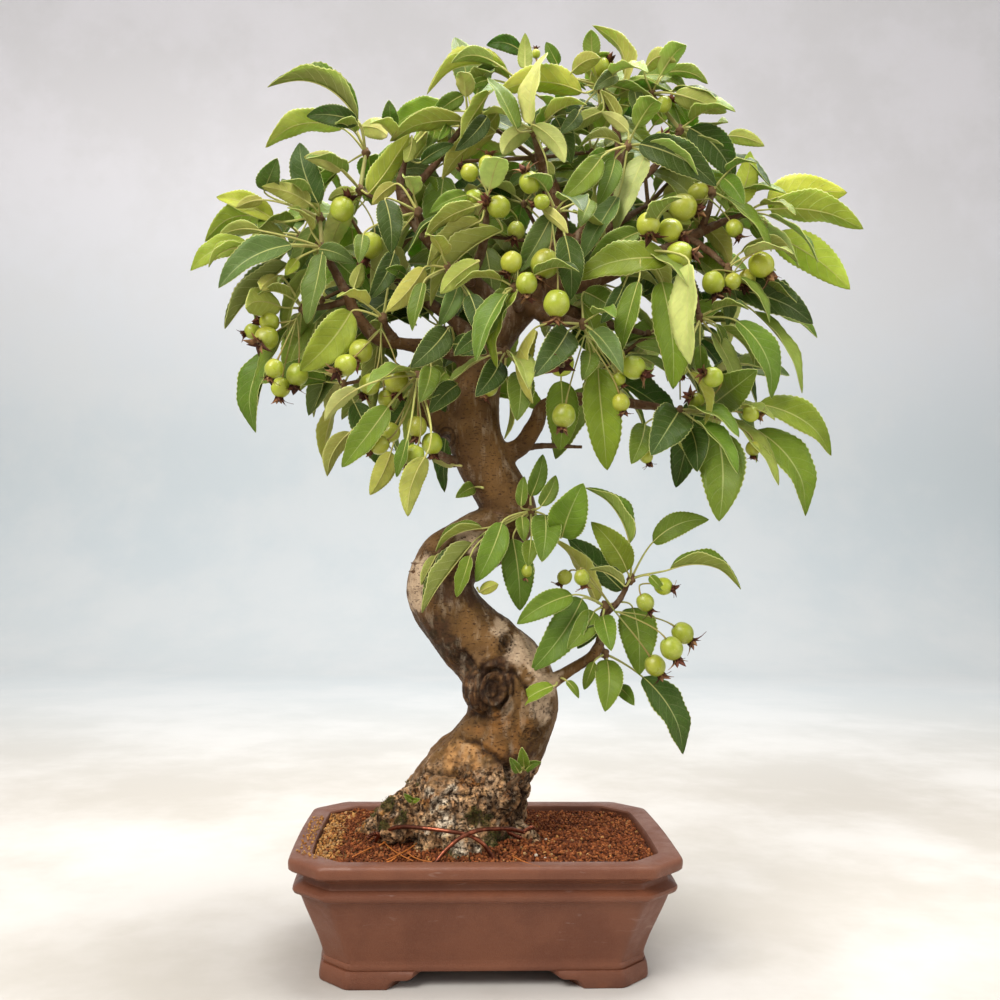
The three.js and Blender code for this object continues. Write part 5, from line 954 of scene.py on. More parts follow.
def leaf_colours(letters, draw):
    """Linear colours of a leaf's upper and lower face: the seen face takes its letter's tint, the
    other a mix with the usual colour of that side, both a little lighter or darker by the draw."""
    tint = np.array(LEAF_TINTS[letters[1]], float)
    upper, lower = tint, tint * 0.4 + UNDERSIDE * 0.6
    if letters[0] == "L":
        upper, lower = tint * 0.35 + UPPERSIDE * 0.65, tint * 0.85 + UNDERSIDE * 0.15
    vary = 0.9 + 0.2 * draw()
    warm = np.array([1 + 0.1 * (draw() - 0.5), 1.0, 1 - 0.1 * (draw() - 0.5)])
    return [linear(np.clip(face * vary * warm, 0, 255)) for face in (upper, lower)]


def grow_leaf(gather, plan, letters, seed, sizes, share=1.0):
    """One leaf: its blade with both faces, its bent stalk and its rib on the lower face. share is the
    part of the usual rows that it gets."""
    draw = draws(seed + BLADE_SEEDS)
    small = np.linalg.norm(plan["tip"] - plan["start"]) <= 30
    rows = int(share * (sizes.blade_rows * 2 // 3 if small else sizes.blade_rows))
    columns = 7 if small or share < 1.0 else 9
    upper, lower, uv = leaf_surface(plan, draw, rows, columns, sizes.blade_thickness)
    tints = leaf_colours(letters, draw)
    points = np.concatenate([upper.reshape(-1, 3), lower.reshape(-1, 3)])
    gather.add(points, leaf_faces(rows, columns), 0, leaf=np.tile(uv.reshape(-1, 2), (2, 1)),
               tint=np.repeat(tints, rows * columns, axis=0), under=np.repeat([0.0, 1.0], rows * columns))

    # The rib stands proud under the blade, from its start to nine tenths of the way.
    reach = int(rows * 0.92)
    rib = lower[:reach, columns // 2] * 0.7 + upper[:reach, columns // 2] * 0.3
    away = plan["start"] - plan["bud"]
    heading = unit(away)
    bow = 0.5 + 0.3 * min(1, np.linalg.norm(away) / 30)
    leaving = heading * bow + np.array([0, 0, 0.18])
    stem = bent_stalk(plan["bud"] + heading, leaving, rib[0], unit(rib[2] - rib[0]) * bow, 10)
    line = np.concatenate([stem[:-1], rib[::2]])
    thick = np.concatenate([np.linspace(0.95, 0.62, 9), np.linspace(0.62, 0.16, len(rib[::2]))])
    gather.add(*tube(line, thick, 6), 1, leaf=(0.5, 0.5), tint=STALK_TINT * 0.75 + tints[1] * 0.25,
               under=tube_share(len(line), 6))


def grow_bud(gather, place, size, seed):
    """A spur's knobbly end: a ball whose radius is ringed by old bud scars and roughened."""
    rings, t, turn = ball(14, 14, 0.02, 1.25)
    scars = 1 + 0.10 * np.sin(5.0 * t + seed) + 0.06 * np.sin(3 * turn + 4 * t + seed)
    points = (rings * (scars * size)[..., None]).reshape(-1, 3)
    points = points + unit(points) * (ripple(points, 1.6, seed) * 0.3)[:, None]
    points = np.concatenate([points, [[0, 0, size * 1.2]], [[0, 0, -size * 1.2]]]) + place
    gather.add(points, capped_faces(14, 14), 2, leaf=(0.0, 0.0), tint=SPUR_TINT, under=0.0)


# Fruit

def fruit_plan(row, bud, core, seed, step=0):
    """How a fruit hangs: its middle on its line of sight, its axis towards where its dry end shows."""
    draw = draws(seed)
    across, down, reach, end_across, end_down = row
    depth = bud[2] - 5 + (draw() - 0.5) * 10 + step
    size = point_size(depth)
    offset = EYE_RIGHT * ((end_across - across) * size) + EYE_UP * ((down - end_down) * size)
    radius = reach * size
    aside = np.linalg.norm(offset)
    axis = unit(offset - EYE_FORWARD * math.sqrt(max(0.04, radius * radius - aside * aside)))
    return {"centre": sight(across, down, depth), "radius": radius, "axis": axis, "core": core}


def fruit_marks(plan):
    """Points that the fruit's solid must have: the middle of its flower end."""
    return np.array([plan["centre"] + plan["axis"] * (1.1 * plan["radius"])])


def fruit_core(bud, fruits):
    """Where a bunch's stalks meet: off the bud, towards the mean of its fruits."""
    mean = np.mean([sight(row[0], row[1], bud[2] - 10) for row in fruits], axis=0)
    centre = sight(*bud)
    return centre + unit(mean - centre) * FRUIT_CORE_OFFSET


def toward(colour, other, share):
    """Colours moved towards another colour of 0 to 255 by a share of the way at each point."""
    return colour * (1 - share) + linear(other) * share


def grow_fruit(gather, plan, seed):
    """A small apple: the half section turned about the axis, a little five-sided, with a stalk that
    comes in along the axis and dry sepals round the flower end."""
    draw = draws(seed + SKIN_SEEDS)
    centre, radius, axis = plan["centre"], plan["radius"], plan["axis"]
    section = carried(FRUIT_SECTION, 2)
    side = unit(np.cross(axis, (0.2, 0.3, 1.0)))
    other = np.cross(axis, side)
    turn = turned(FRUIT_COLUMNS)
    lobe = 1 + 0.02 * np.cos(5 * turn) + 0.03 * np.cos(turn + 6 * draw())
    ring = side[None, :] * np.cos(turn)[:, None] + other[None, :] * np.sin(turn)[:, None]
    body = section[1:-1]
    points = (centre + axis * (body[:, 1] * radius)[:, None, None]
              + ring[None, :, :] * (body[:, 0][:, None] * lobe[None, :] * radius)[..., None]).reshape(-1, 3)
    points = np.concatenate([points, [centre + axis * section[end, 1] * radius for end in (0, -1)]])
    height = np.concatenate([np.repeat(body[:, 1], FRUIT_COLUMNS), [-1.0, 1.1]])[:, None]
    base = linear((146, 162, 38)) * (0.8 + 0.4 * draw())
    tint = base + (linear((190, 184, 62)) - base) * (0.4 * draw())
    blush = draw() * 0.5
    sunny = np.clip((points - centre) @ unit(np.array([-0.4, -0.5, 0.8])) / radius, 0, 1)[:, None]
    colour = toward(tint, (186, 128, 58), sunny ** 2 * blush * 0.5)
    colour = toward(colour, (116, 134, 40), ease(-0.55, -0.95, height) * 0.35)
    colour = toward(colour, (96, 66, 34), ease(0.98, 1.09, height))
    gather.add(points, capped_faces(len(body), FRUIT_COLUMNS), 0, tint=colour, under=0.0)
    grow_flower_end(gather, plan, draw, side, other)

    foot = centre + axis * section[0, 1] * radius * 0.9
    heading = unit(foot - axis * (radius * 0.5 + 7) - plan["core"])
    line = bent_stalk(plan["core"], heading * 0.7, foot, axis * 0.8, 12)
    share = tube_share(12, 6)[:, None]
    shade = toward(linear((150, 158, 84)), (150, 104, 66), share * (0.25 + 0.5 * draw()))
    around = tube(line, np.concatenate([np.full(10, 0.55), [0.68, 0.85]]), 6)
    gather.add(*around, 2, tint=shade, under=0.0)


def grow_flower_end(gather, plan, draw, side, other):
    """Dry sepals that curl out from the rim of a fruit's flower end, round a tuft of dry hairs."""
    centre, radius, axis = plan["centre"], plan["radius"], plan["axis"]
    steps = np.linspace(0, 1, 5)[:, None]
    for k in range(SEPALS):
        angle = 2 * math.pi * (k + 0.3 * draw()) / SEPALS
        out = side * math.cos(angle) + other * math.sin(angle)
        over = np.cross(axis, out)
        reach = radius * (0.6 + 0.36 * draw())
        curl = 0.2 + 1.0 * draw()
        line = (centre + axis * radius * 1.02 + out * radius * 0.22
                + over * steps ** 2 * reach * (draw() - 0.5)
                + out * steps * reach * (0.3 + curl * steps)
                + axis * steps * reach * (1.1 - 0.45 * curl * steps))
        broad = over * (radius * (0.3 + 0.14 * draw()) * (1 - steps ** 1.6) + 0.08)
        points = np.stack([line - broad, line + axis * 0.12, line + broad, line - axis * 0.22], axis=1)
        points = points.reshape(-1, 3)
        faces = [grid_faces(5, 4, closed=True)[:, ::-1], [[0, 1, 2, 3]], [[19, 18, 17, 16]]]
        shade = linear(SEPAL_COLOURS[int(draw() * len(SEPAL_COLOURS))]) * (0.7 + 0.5 * draw())
        gather.add(points, faces, 1, tint=shade, under=0.0)
    tuft = centre + axis * radius * 1.04
    for _ in range(6):
        lean = unit(axis + side * (draw() - 0.5) * 0.9 + other * (draw() - 0.5) * 0.9)
        line = tuft + lean * np.linspace(0, radius * 0.5, 4)[:, None]
        gather.add(*tube(line, (0.26, 0.22, 0.18, 0.22), 4), 1, tint=linear((70, 42, 30)), under=0.0)


# Wood

def limb_tube(run, sides, steps):
    """A limb as a tube: its rows carried through the picture points and depths."""
    rows = carried(run, steps)
    return tube(sighted(rows), rows[:, 3], sides)


def root_tube(root, steps):
    """A surface root: from inside the trunk's foot out and down into the soil, narrowing."""
    heading, reach, drop, stout = root
    turn = math.radians(heading)
    out = np.array([math.cos(turn), math.sin(turn), 0.0])
    aside = np.array([-math.sin(turn), math.cos(turn), 0.0])
    sway = 3.0 * math.sin(heading)
    rows = []
    for away, height, radius, swing in (
            (20, 104, stout + 1, 0), (34, 88, stout, 0), (reach * 0.78, 78, stout * 0.66, sway),
            (reach, 67, stout * 0.36, -sway)):
        place = TRUNK_FOOT + out * away + aside * swing + np.array([0, 0, height - drop])
        rows.append((*place, radius))
    rows = carried(rows, steps)
    return tube(rows[:, :3], rows[:, 3], 18)


def boss(place):
    """A swelling of the trunk: a ball stretched along the view, up and across."""
    *middle, half = place
    rings, _, _ = ball(20, 24, 0.01)
    points = np.concatenate([(rings * np.array(half)).reshape(-1, 3), [[0, 0, half[2]]], [[0, 0, -half[2]]]])
    return points + sight(*middle), capped_faces(20, 24)


def near_line(across, down, line):
    """Distance in picture points from each place to a line through picture points."""
    nearest = np.full(len(across), 1e9)
    for (left, high), (right, low) in zip(line[:-1], line[1:]):
        run = np.array([right - left, low - high], float)
        part = np.clip(((across - left) * run[0] + (down - high) * run[1]) / (run @ run), 0, 1)
        nearest = np.minimum(nearest, np.hypot(across - left - part * run[0], down - high - part * run[1]))
    return nearest


def front_marks(points, facing):
    """Scars, cracks and threads of the front bark: how far each point moves out, and how dark it is
    painted, a painted shade in the scars' hollows, their sunken rings and the cracks. A scar is a
    hollow in a raised lip, with weaker rings round it; a line is a bell across it."""
    across, down = seen_at(points)
    size = point_size(points[:, 1])
    shake = ripple(points, 4.0, 61)
    broad = ripple(points, 7.0, 62)
    ragged = ripple(points, 2.8, 63)
    move = np.zeros(len(points))
    dark = np.zeros(len(points))
    for middle, high, wide, tall, deep in RING_SCARS:
        out = np.hypot((across - middle) / wide, (down - high) / tall) * (1 + 0.09 * shake)
        hollow = np.exp(-(out / 0.55) ** 2)
        rings = np.cos(2 * math.pi * (out - 1) / 0.62) * np.exp(-np.abs(out - 1) / 0.75)
        rings = rings * ease(0.35, 0.9, out)
        move += deep * (0.8 * rings - hollow)
        dark = np.maximum(dark, np.maximum(hollow, 0.85 * ease(0.0, -0.5, rings)) * ease(2.6, 1.9, out))
    for line, wide, deep in CRACKS:
        apart = near_line(across + 3.0 * shake, down + 2.6 * broad, line) * size
        bell = np.exp(-(apart / wide) ** 2)
        move -= deep * bell
        narrow = wide * np.clip(0.8 + 0.5 * ragged, 0.3, 1.3)
        dark = np.maximum(dark, np.exp(-(apart / narrow) ** 2))
    for line, wide, deep in THREADS:
        move += deep * np.exp(-(near_line(across, down + shake, line) * size / wide) ** 2)
    front = ease(0.0, 0.35, facing)
    return move * front, dark * front


def remeshed(gather, name, voxel):
    """One closed skin over overlapping closed surfaces: a voxel remesh, applied. Gives its points in
    millimetres and its faces."""
    rough = gather.piece(name, [], "bark")
    skin = rough.modifiers.new("skin", "REMESH")
    skin.mode = "VOXEL"
    skin.voxel_size = voxel * MILLIMETRE
    bpy.context.view_layer.update()
    graph = bpy.context.evaluated_depsgraph_get()
    made = bpy.data.meshes.new_from_object(rough.evaluated_get(graph))
    points = get(made.vertices, "co", 3) / MILLIMETRE - POT_CENTRE
    sides = get(made.polygons, "loop_total", kind=np.int32)
    corners = get(made.loops, "vertex_index", kind=np.int32)
    starts = np.cumsum(sides) - sides
    faces = [corners[starts[sides == width][:, None] + np.arange(width)] for width in np.unique(sides)]
    bpy.data.objects.remove(rough, do_unlink=True)
    bpy.data.meshes.remove(made)
    return points, faces


def relaxed(points, faces, rounds):
    """Points moved half way to the mean of their neighbours, a number of times."""
    here = np.concatenate([block.ravel() for block in faces])
    there = np.concatenate([np.roll(block, -1, axis=1).ravel() for block in faces])

    def sums(weights):
        return sum(
            np.bincount(one, None if weights is None else weights[other], minlength=len(points))
            for one, other in ((here, there), (there, here)))

    count = sums(None)[:, None]
    for _ in range(rounds):
        total = np.stack([sums(points[:, k]) for k in range(3)], axis=1)
        points = points * 0.5 + total / count * 0.5
    return points


def surface_normals(points, faces):
    """Unit normals at the points: the area-weighted sum of the faces' normals."""
    total = np.zeros_like(points)
    for block in faces:
        a, b, c = points[block[:, 0]], points[block[:, 1]], points[block[:, 2]]
        normal = np.cross(b - a, c - a)
        for k in range(block.shape[1]):
            for axis in range(3):
                total[:, axis] += np.bincount(block[:, k], weights=normal[:, axis], minlength=len(points))
    return unit(total)


def patches(points, spots, seed):
    """How much each point lies in front-view spots (across, down, radius), with ragged edges."""
    across, down = seen_at(points)
    ragged = ripple(points, 5, seed) * 0.35 + ripple(points, 2.2, seed + 1) * 0.25
    most = np.zeros(len(points))
    for place_across, place_down, reach in spots:
        apart = np.hypot(across - place_across, down - place_down) / reach
        most = np.maximum(most, 1 - ease(0.6, 1.0, apart + ragged))
    return most


# The front bark's patches: middle in the picture, and reach.
MOSSY = (
    (474, 816, 13), (486, 822, 9), (495, 839, 13), (447, 852, 8), (466, 862, 7), (402, 818, 8),
    (384, 826, 6))
CRUSTED = (
    (384, 798, 10), (378, 812, 10), (512, 812, 13), (526, 776, 9), (506, 832, 10), (418, 838, 10),
    (436, 628, 16), (450, 648, 16), (464, 664, 12), (386, 806, 15), (398, 820, 16), (404, 800, 9),
    (520, 806, 18), (528, 788, 10), (512, 826, 14), (376, 820, 10))
WHITENED = (
    (440, 811, 13), (431, 792, 9), (452, 792, 9), (446, 822, 14), (430, 836, 8), (455, 850, 12),
    (466, 858, 8), (404, 774, 10), (440, 800, 10), (476, 852, 8))
AMBER = (
    (464, 752, 12), (478, 748, 12), (486, 738, 20), (508, 742, 18), (456, 756, 14), (470, 752, 12),
    (524, 730, 12), (500, 722, 14), (470, 786, 10))
LIT = ((464, 751, 16), (480, 766, 12), (448, 764, 12))
# Painted light: pale patches on the trunk's lit edges, down its right side and on the left of the bend.
LIT_EDGES = (
    (500, 627, 10), (416, 584, 13), (414, 566, 10), (524, 650, 22), (536, 664, 20), (546, 684, 18),
    (540, 706, 16), (424, 572, 18), (416, 600, 12), (470, 540, 14))
# Painted shade: darker patches on the trunk below the bend, by the knot and on the foot's right.
SHADED_PATCHES = (
    (436, 628, 16), (450, 648, 16), (464, 664, 12), (470, 586, 24), (446, 590, 16), (520, 758, 18),
    (506, 764, 14), (494, 540, 16), (500, 664, 10))
KNOTTED = ((484, 690, 29), (472, 676, 14), (474, 704, 14), (506, 676, 12), (500, 664, 9), (462, 657, 9))

# Colours of the foot's flakes, drawn by each flake's number, and of the smoother bark.
FLAKE_COLOURS = (
    (240, 196, 148), (182, 124, 70), (214, 158, 104), (250, 222, 186), (154, 100, 52), (230, 180, 126),
    (104, 64, 34), (238, 192, 140), (198, 142, 70), (248, 212, 172))


def painted(points, normals, rough, flake, deep, dark):
    """Bark colours at the points, in linear light: smooth bark in soft patches above, flakes of many
    colours at the foot, and the front view's own patches over both. Light and shade are painted in as
    well: a darker side facing down and to the left, darker wood under the crown, lit edges and
    shaded patches on the front, and dark cracks, gaps and hollows."""
    front = ease(-0.1, 0.3, -(normals @ EYE_FORWARD))

    def lay(colour, over, share):
        return toward(colour, over, share[:, None])

    def patch(spots, seed):
        return patches(points, spots, seed) * front

    soft = ease(-0.5, 0.5, ripple(points * np.array([1, 1, 0.5]), 13, 71))
    colour = lay(linear((114, 82, 43)), (82, 58, 28), soft)
    colour = lay(colour, (92, 66, 34), ease(0.1, 0.7, ripple(points, 21, 72)) * 0.6)
    colour = lay(colour, (150, 118, 82), ease(0.3, 0.8, ripple(points, 16, 73)) * 0.5)
    # Painted shade on the sides that face down and to the left.
    shade = ease(0.1, -0.8, normals @ np.array([0.75, 0.0, 0.6]))
    colour = lay(colour, (66, 43, 24), shade * ease(-0.9, 0.3, ripple(points, 11, 86)) * 0.75)
    # Painted light on the lit edges.
    colour = lay(colour, (194, 168, 138), patch(LIT_EDGES, 74) * 0.85)
    # Painted shade on the darker patches.
    colour = lay(colour, (64, 41, 24), patch(SHADED_PATCHES, 75) * 0.85)
    low = ease(240, 150, points[:, 2]) * ease(-0.3, 0.6, ripple(points, 24, 76))
    amber = np.maximum(patch(AMBER, 77) * 0.75, low * (1 - front) * 0.6)
    colour = lay(colour, (144, 98, 50), amber * ease(-0.9, 0.4, ripple(points, 5, 87)))
    colour = lay(colour, (192, 142, 86), patch(LIT, 89) * ease(-0.7, 0.5, ripple(points, 3.4, 91)) * 0.85)
    # Painted shade of the crown: the wood darkens from 370 mm up, fully from 430 mm.
    colour = lay(colour, (78, 53, 26), ease(370, 430, points[:, 2]) * 0.85)
    rings = ease(0.35, 0.8, ripple(points * np.array([0.35, 0.35, 1.8]), 5, 78))
    colour = lay(colour, (84, 58, 34), rings * 0.3)
    knotted = patch(KNOTTED, 79)
    colour = lay(colour, (80, 53, 31), knotted * 0.9)
    colour = lay(colour, (132, 96, 60), ease(0.1, 0.6, ripple(points, 2.6, 80)) * knotted * 0.8)
    colour = lay(colour, (36, 22, 13), ease(0.2, 0.6, ripple(points, 4.5, 88)) * knotted * 0.8)
    seams = 1 - ease(0.0, 0.3, np.abs(ripple(points, 4.2, 94)))
    colour = lay(colour, (30, 18, 10), seams * knotted * 0.85)
    foot = linear(FLAKE_COLOURS)[np.minimum((flake * len(FLAKE_COLOURS)).astype(int), len(FLAKE_COLOURS) - 1)]
    burls = lay(linear((236, 188, 138)), (130, 82, 42), ease(-0.4, 0.6, ripple(points, 8, 90)))
    foot = (0.45 * foot + 0.55 * burls) * (0.98 + 0.45 * ripple(points, 2.0, 81))[:, None]
    colour = colour + (foot - colour) * rough[:, None]
    white = patch(WHITENED, 82) * ease(-0.3, 0.3, ripple(points, 3.0, 83))
    colour = lay(colour, (255, 236, 206), white * 0.85)
    colour = lay(colour, (46, 36, 20), patch(CRUSTED, 84) * ease(-0.4, 0.3, ripple(points, 2.6, 85)) * 0.9)
    # Painted shade: the cracks, the scars' hollows and the foot's gaps and seams are darkened.
    colour = lay(colour, (34, 20, 11), np.maximum(deep * 0.9, dark * 0.9))
    return np.clip(colour, 0.004, 0.9)


def grow_bark(sizes):
    """The trunk, roots and stout limbs as one skin. The tubes are joined by a voxel remesh, relaxed,
    then moved along their normals by long flutes, lumps, the flaky cells of the foot, and the scars,
    cracks and threads of the front."""
    gather = Gather()
    for name in ("trunk_foot", "trunk_bend", "trunk_top"):
        gather.add(*limb_tube(LIMBS[name], 28, 8))
    for name, run in LIMBS.items():
        stout = [row for row in run if row[3] >= 3.4]
        if not name.startswith("trunk") and len(stout) >= 2:
            gather.add(*limb_tube(stout, 16, 6))
    for root in ROOTS:
        gather.add(*root_tube(root, 8))
    for place in BOSSES:
        gather.add(*boss(place))
    points, faces = remeshed(gather, "bark_rough", sizes.bark_voxel)
    points = relaxed(points, faces, 3)
    normals = surface_normals(points, faces)
    height = points[:, 2]
    stretch = points * np.array([1, 1, 0.28])
    slim = ease(150, 330, height)
    rough = ease(136, 116, height + 13 * ripple(points, 17, 3) + 6 * ripple(points, 6, 7))
    small = ease(430, 560, height)
    move = (1.2 * ripple(stretch, 9, 1) + 0.8 * ripple(points, 17, 2)) * (1 - 0.45 * slim)
    move = move * (1 - 0.7 * small)
    tall = points * np.array([1, 1, 0.7])
    gap, number = cells(tall, 12.5, 4)
    fine_gap, fine_number = cells(points, 4.2, 5)
    lumps = 3.8 * ripple(points, 21, 8) + 1.3 * ripple(points, 7, 9)
    plates = 2.4 * (number - 0.45) + 1.4 * ease(0.0, 0.3, gap) - 0.9
    flakes = 0.7 * (fine_number - 0.5) + 0.35 * ease(0.0, 0.3, fine_gap) - 0.2
    move += rough * (lumps + plates + flakes)
    move += (0.18 + 0.12 * rough) * ripple(points, 2.4, 6)
    shift, dark = front_marks(points, -(normals @ EYE_FORWARD))
    move += shift
    points = points + normals * move[:, None]
    points = np.maximum(points, [-1e9, -1e9, 60.0])
    # deep: the gaps between the foot's plates and flakes, where the skin sinks, and its seams, painted dark
    # below as painted shade in the crevices.
    ragged = ease(-0.8, 0.2, ripple(points, 9, 13))
    gaps = np.maximum(0.95 * (1 - ease(0.02, 0.12, gap)), 0.3 * (1 - ease(0.02, 0.1, fine_gap)))
    deep = rough * ragged * gaps
    seams = 1 - ease(0.0, 0.16, np.abs(ripple(points, 5.5, 92)))
    deep = np.maximum(deep, rough * 0.8 * seams * ease(-0.2, 0.3, ripple(points, 12, 93)))
    moss = patches(points, MOSSY, 11) * ease(-0.4, 0.2, normals[:, 2] + 0.35)
    moss = np.maximum(moss, rough * ease(0.45, 0.75, ripple(points, 11, 12)) * ease(0.1, 0.6, normals[:, 2]))
    flake = (number * 0.45 + fine_number * 0.55 + 0.37 * number) % 1.0
    tint = painted(points, normals, rough, flake, deep, dark)
    return points, faces, {"rough": rough, "moss": moss, "tint": tint}


def grow_twigs(gather):
    """Limbs too slim for the skin, with the slim ends of the others: tubes with knuckles where old
    leaves stood, and a fine ripple."""
    for number, run in enumerate(LIMBS.values()):
        rows = carried(run, 8)
        stout = rows[:, 3] >= SLIM_RADIUS
        first = int(np.flatnonzero(stout).max()) - 4 if stout.sum() > 8 else 0
        rows = rows[max(first, 0):]
        if len(rows) < 4:
            continue
        path = sighted(rows)
        along = run_length(path)
        fine = np.linspace(0, along[-1], max(8, int(along[-1] / 1.3)))
        path = np.stack([np.interp(fine, along, path[:, k]) for k in range(3)], axis=1)
        radii = np.interp(fine, along, rows[:, 3])
        knuckle = 0.10 * np.exp(-(((fine / 6.5 + number * 0.37) % 1 - 0.5) / 0.12) ** 2)
        radii = radii * (1 + knuckle) - 0.15
        if first > 0:
            radii[:3] -= 0.5
        points, faces = tube(path, radii, 10)
        core = np.concatenate([np.repeat(path, 10, axis=0), path[:1], path[-1:]])
        fine_relief = 0.18 * ripple(points, 2.2, 31) + 0.12 * ripple(points, 5, 32)
        gather.add(points + unit(points - core) * fine_relief[:, None], faces)


# Pot

def pot_outline(half, footing=0.0, between=(15, 3, 9)):
    """The pot's plan at a half width: a rectangle with cut corners, each rounded by a small curve,
    and short sides that bow out. between is how many points lie along the long, cut and short sides."""
    half_depth = half - DEPTH_LESS - footing
    cut = RIM_CORNER_CUT * half / RIM_HALF_WIDTH
    corner = half - SIDE_BOW
    corners = np.array([
        (-corner + cut, -half_depth), (corner - cut, -half_depth), (corner, -half_depth + cut),
        (corner, half_depth - cut), (corner - cut, half_depth), (-corner + cut, half_depth),
        (-corner, half_depth - cut), (-corner, -half_depth + cut)])
    t = np.linspace(0, 1, 5)[:, None]
    along = []
    for k in range(8):
        here, before, after = corners[k], corners[k - 1], corners[(k + 1) % 8]
        a = here + unit(before - here) * CORNER_ROUNDING
        b = here + unit(after - here) * CORNER_ROUNDING
        along.append((1 - t) ** 2 * a + 2 * t * (1 - t) * here + t ** 2 * b)
        next_start = after + unit(here - after) * CORNER_ROUNDING
        number = between[(0, 1, 2, 1)[k % 4]]
        along.append(b + (next_start - b) * ((np.arange(number) + 1)[:, None] / (number + 1)))
    plan = np.concatenate(along)
    bow = SIDE_BOW * np.clip(1 - (plan[:, 1] / (half_depth - cut)) ** 2, 0, 1)
    plan[:, 0] += np.sign(plan[:, 0]) * bow * (np.abs(plan[:, 0]) > corner - 1)
    return plan


def level(plan, height):
    """A plan's points at one height."""
    return np.concatenate([plan, np.full((len(plan), 1), float(height))], axis=1)


def half_plate(plan, height, side, upwards):
    """Half the pot's floor round its drain hole: rows run from the plan's half outline, closed along
    the middle, in to the hole's circle."""
    middle = np.flatnonzero(np.abs(plan[:, 0]) < 1e-6)
    front, back = middle[np.argsort(plan[middle, 1])]
    if side > 0:
        run = plan[front:back + 1]
        seam = np.linspace(plan[back], plan[front], 9)[1:-1]
    else:
        run = np.concatenate([plan[back:], plan[:front + 1]])
        seam = np.linspace(plan[front], plan[back], 9)[1:-1]
    rim = np.concatenate([run, seam])
    centre = np.array([side * DRAIN_X, 0.0])
    hole = centre + unit(rim - centre) * DRAIN_RADIUS
    t = np.linspace(0, 1, 5)[:, None, None]
    rows = rim * (1 - t) + hole * t
    points = level(rows.reshape(-1, 2), height)
    quads = grid_faces(5, len(rim), closed=True)
    return points, [quads if upwards else quads[:, ::-1]], hole


def cloud_edge(apart, near, far):
    """Height of a foot's end: two scallops that rise one over the other as the gap opens."""
    t = np.clip((far - np.abs(apart)) / (far - near), 0, 1)
    return np.where(t < 0.5, 5.5 * (1 - (1 - 2 * t) ** 4), 5.5 + 5.3 * (2 * t - 1) ** 4)


def shape_pot(gather):
    """The pot: outlines skinned up the outside, over the rim and down inside, two half floors with a
    drain hole each, and a band of feet whose lower edge is cut by scalloped gaps."""
    rows = [level(pot_outline(half), height) for half, height in POT_OUTSIDE + POT_INSIDE]
    wide = len(rows[0])
    points = np.concatenate(rows)
    wobble = 0.16 * ripple(points, 38, 41) + 0.07 * ripple(points, 9, 42)
    out = unit(points * np.array([1, 1, 0]))
    points = points + out * (wobble * ease(12, 20, points[:, 2]))[:, None]
    gather.add(points, [grid_faces(len(rows), wide, closed=True)])
    inner = pot_outline(POT_INSIDE[-1][0])
    outer = pot_outline(POT_OUTSIDE[0][0])
    for side in (-1, 1):
        top, top_faces, hole = half_plate(inner, FLOOR_TOP, side, True)
        gather.add(top, top_faces)
        under, under_faces, lower_hole = half_plate(outer, BODY_BOTTOM, side, False)
        gather.add(under, under_faces)
        wall = np.concatenate([level(hole, FLOOR_TOP), level(lower_hole, BODY_BOTTOM)])
        gather.add(wall, [grid_faces(2, len(hole), closed=True)])

    between = (121, 5, 81)
    plan = pot_outline(FOOT_HALF_WIDTH, 0.5, between)
    inside = pot_outline(FOOT_HALF_WIDTH - FOOT_BAND, 0.5, between)
    tucked = pot_outline(100, 0.5, between)
    along_front = np.abs(plan[:, 1]) > FOOT_HALF_WIDTH - DEPTH_LESS - 1.5
    on_side = np.abs(plan[:, 0]) > FOOT_HALF_WIDTH - SIDE_BOW - 1.5
    low = np.where(along_front, cloud_edge(plan[:, 0], 43, 60.5), 0)
    low = np.where(on_side, cloud_edge(plan[:, 1], 16, 27), low)
    low = np.minimum(low, 10.4)
    shy = ease(8.5, 10.3, low)[:, None]
    outside = plan * (1 - shy) + tucked * shy
    bulge = unit(outside) * 0.5
    top = 10.7
    ring = (
        (outside, 1, -0.6), (outside, 0.86, 0.8), (outside, 0.66, 1.9), (outside, 0.42, 2.6),
        (outside, 0.2, 2.8), (outside, 0.5 / top, 2.2), (outside, 0, 0.9), (inside, 0, 0), (inside, 0.5, 0),
        (inside, 1, 0))
    section = []
    for line, part, out_by in ring:
        z = low + (top - low) * part
        section.append(np.concatenate([line + bulge * out_by * (1 - shy), z[:, None]], axis=1))
    points = np.concatenate(section)
    wide = len(plan)
    row = np.arange(len(ring))[:, None] * wide
    row_after = (row + wide) % (len(ring) * wide)
    column = np.arange(wide)[None, :]
    after = (column + 1) % wide
    quads = np.stack([row + column, row_after + column, row_after + after, row + after], axis=-1)
    gather.add(points, [quads.reshape(-1, 4)])


# Soil and what lies on it

def soil_top(x, y):
    """Height of the soil: a mound under the trunk, a little lower to the right."""
    mound = 5 * np.exp(-((x + 22) / 62) ** 2 - (y / 46) ** 2)
    return 76 + mound - 1.8 * np.maximum(0, x) / RIM_HALF_WIDTH


def pebble():
    """An icosahedron: corners at (0, 1, golden) turned about, and its twenty faces."""
    golden = (1 + 5 ** 0.5) / 2
    corners = unit(np.array([
        (-1, golden, 0), (1, golden, 0), (-1, -golden, 0), (1, -golden, 0), (0, -1, golden),
        (0, 1, golden), (0, -1, -golden), (0, 1, -golden), (golden, 0, -1), (golden, 0, 1),
        (-golden, 0, -1), (-golden, 0, 1)]))
    faces = np.array([
        (0, 11, 5), (0, 5, 1), (0, 1, 7), (0, 7, 10), (0, 10, 11), (1, 5, 9), (5, 11, 4), (11, 10, 2),
        (10, 7, 6), (7, 1, 8), (3, 9, 4), (3, 4, 2), (3, 2, 6), (3, 6, 8), (3, 8, 9), (4, 9, 5),
        (2, 4, 11), (6, 2, 10),
        (8, 6, 7), (9, 8, 1)])
    return corners, faces


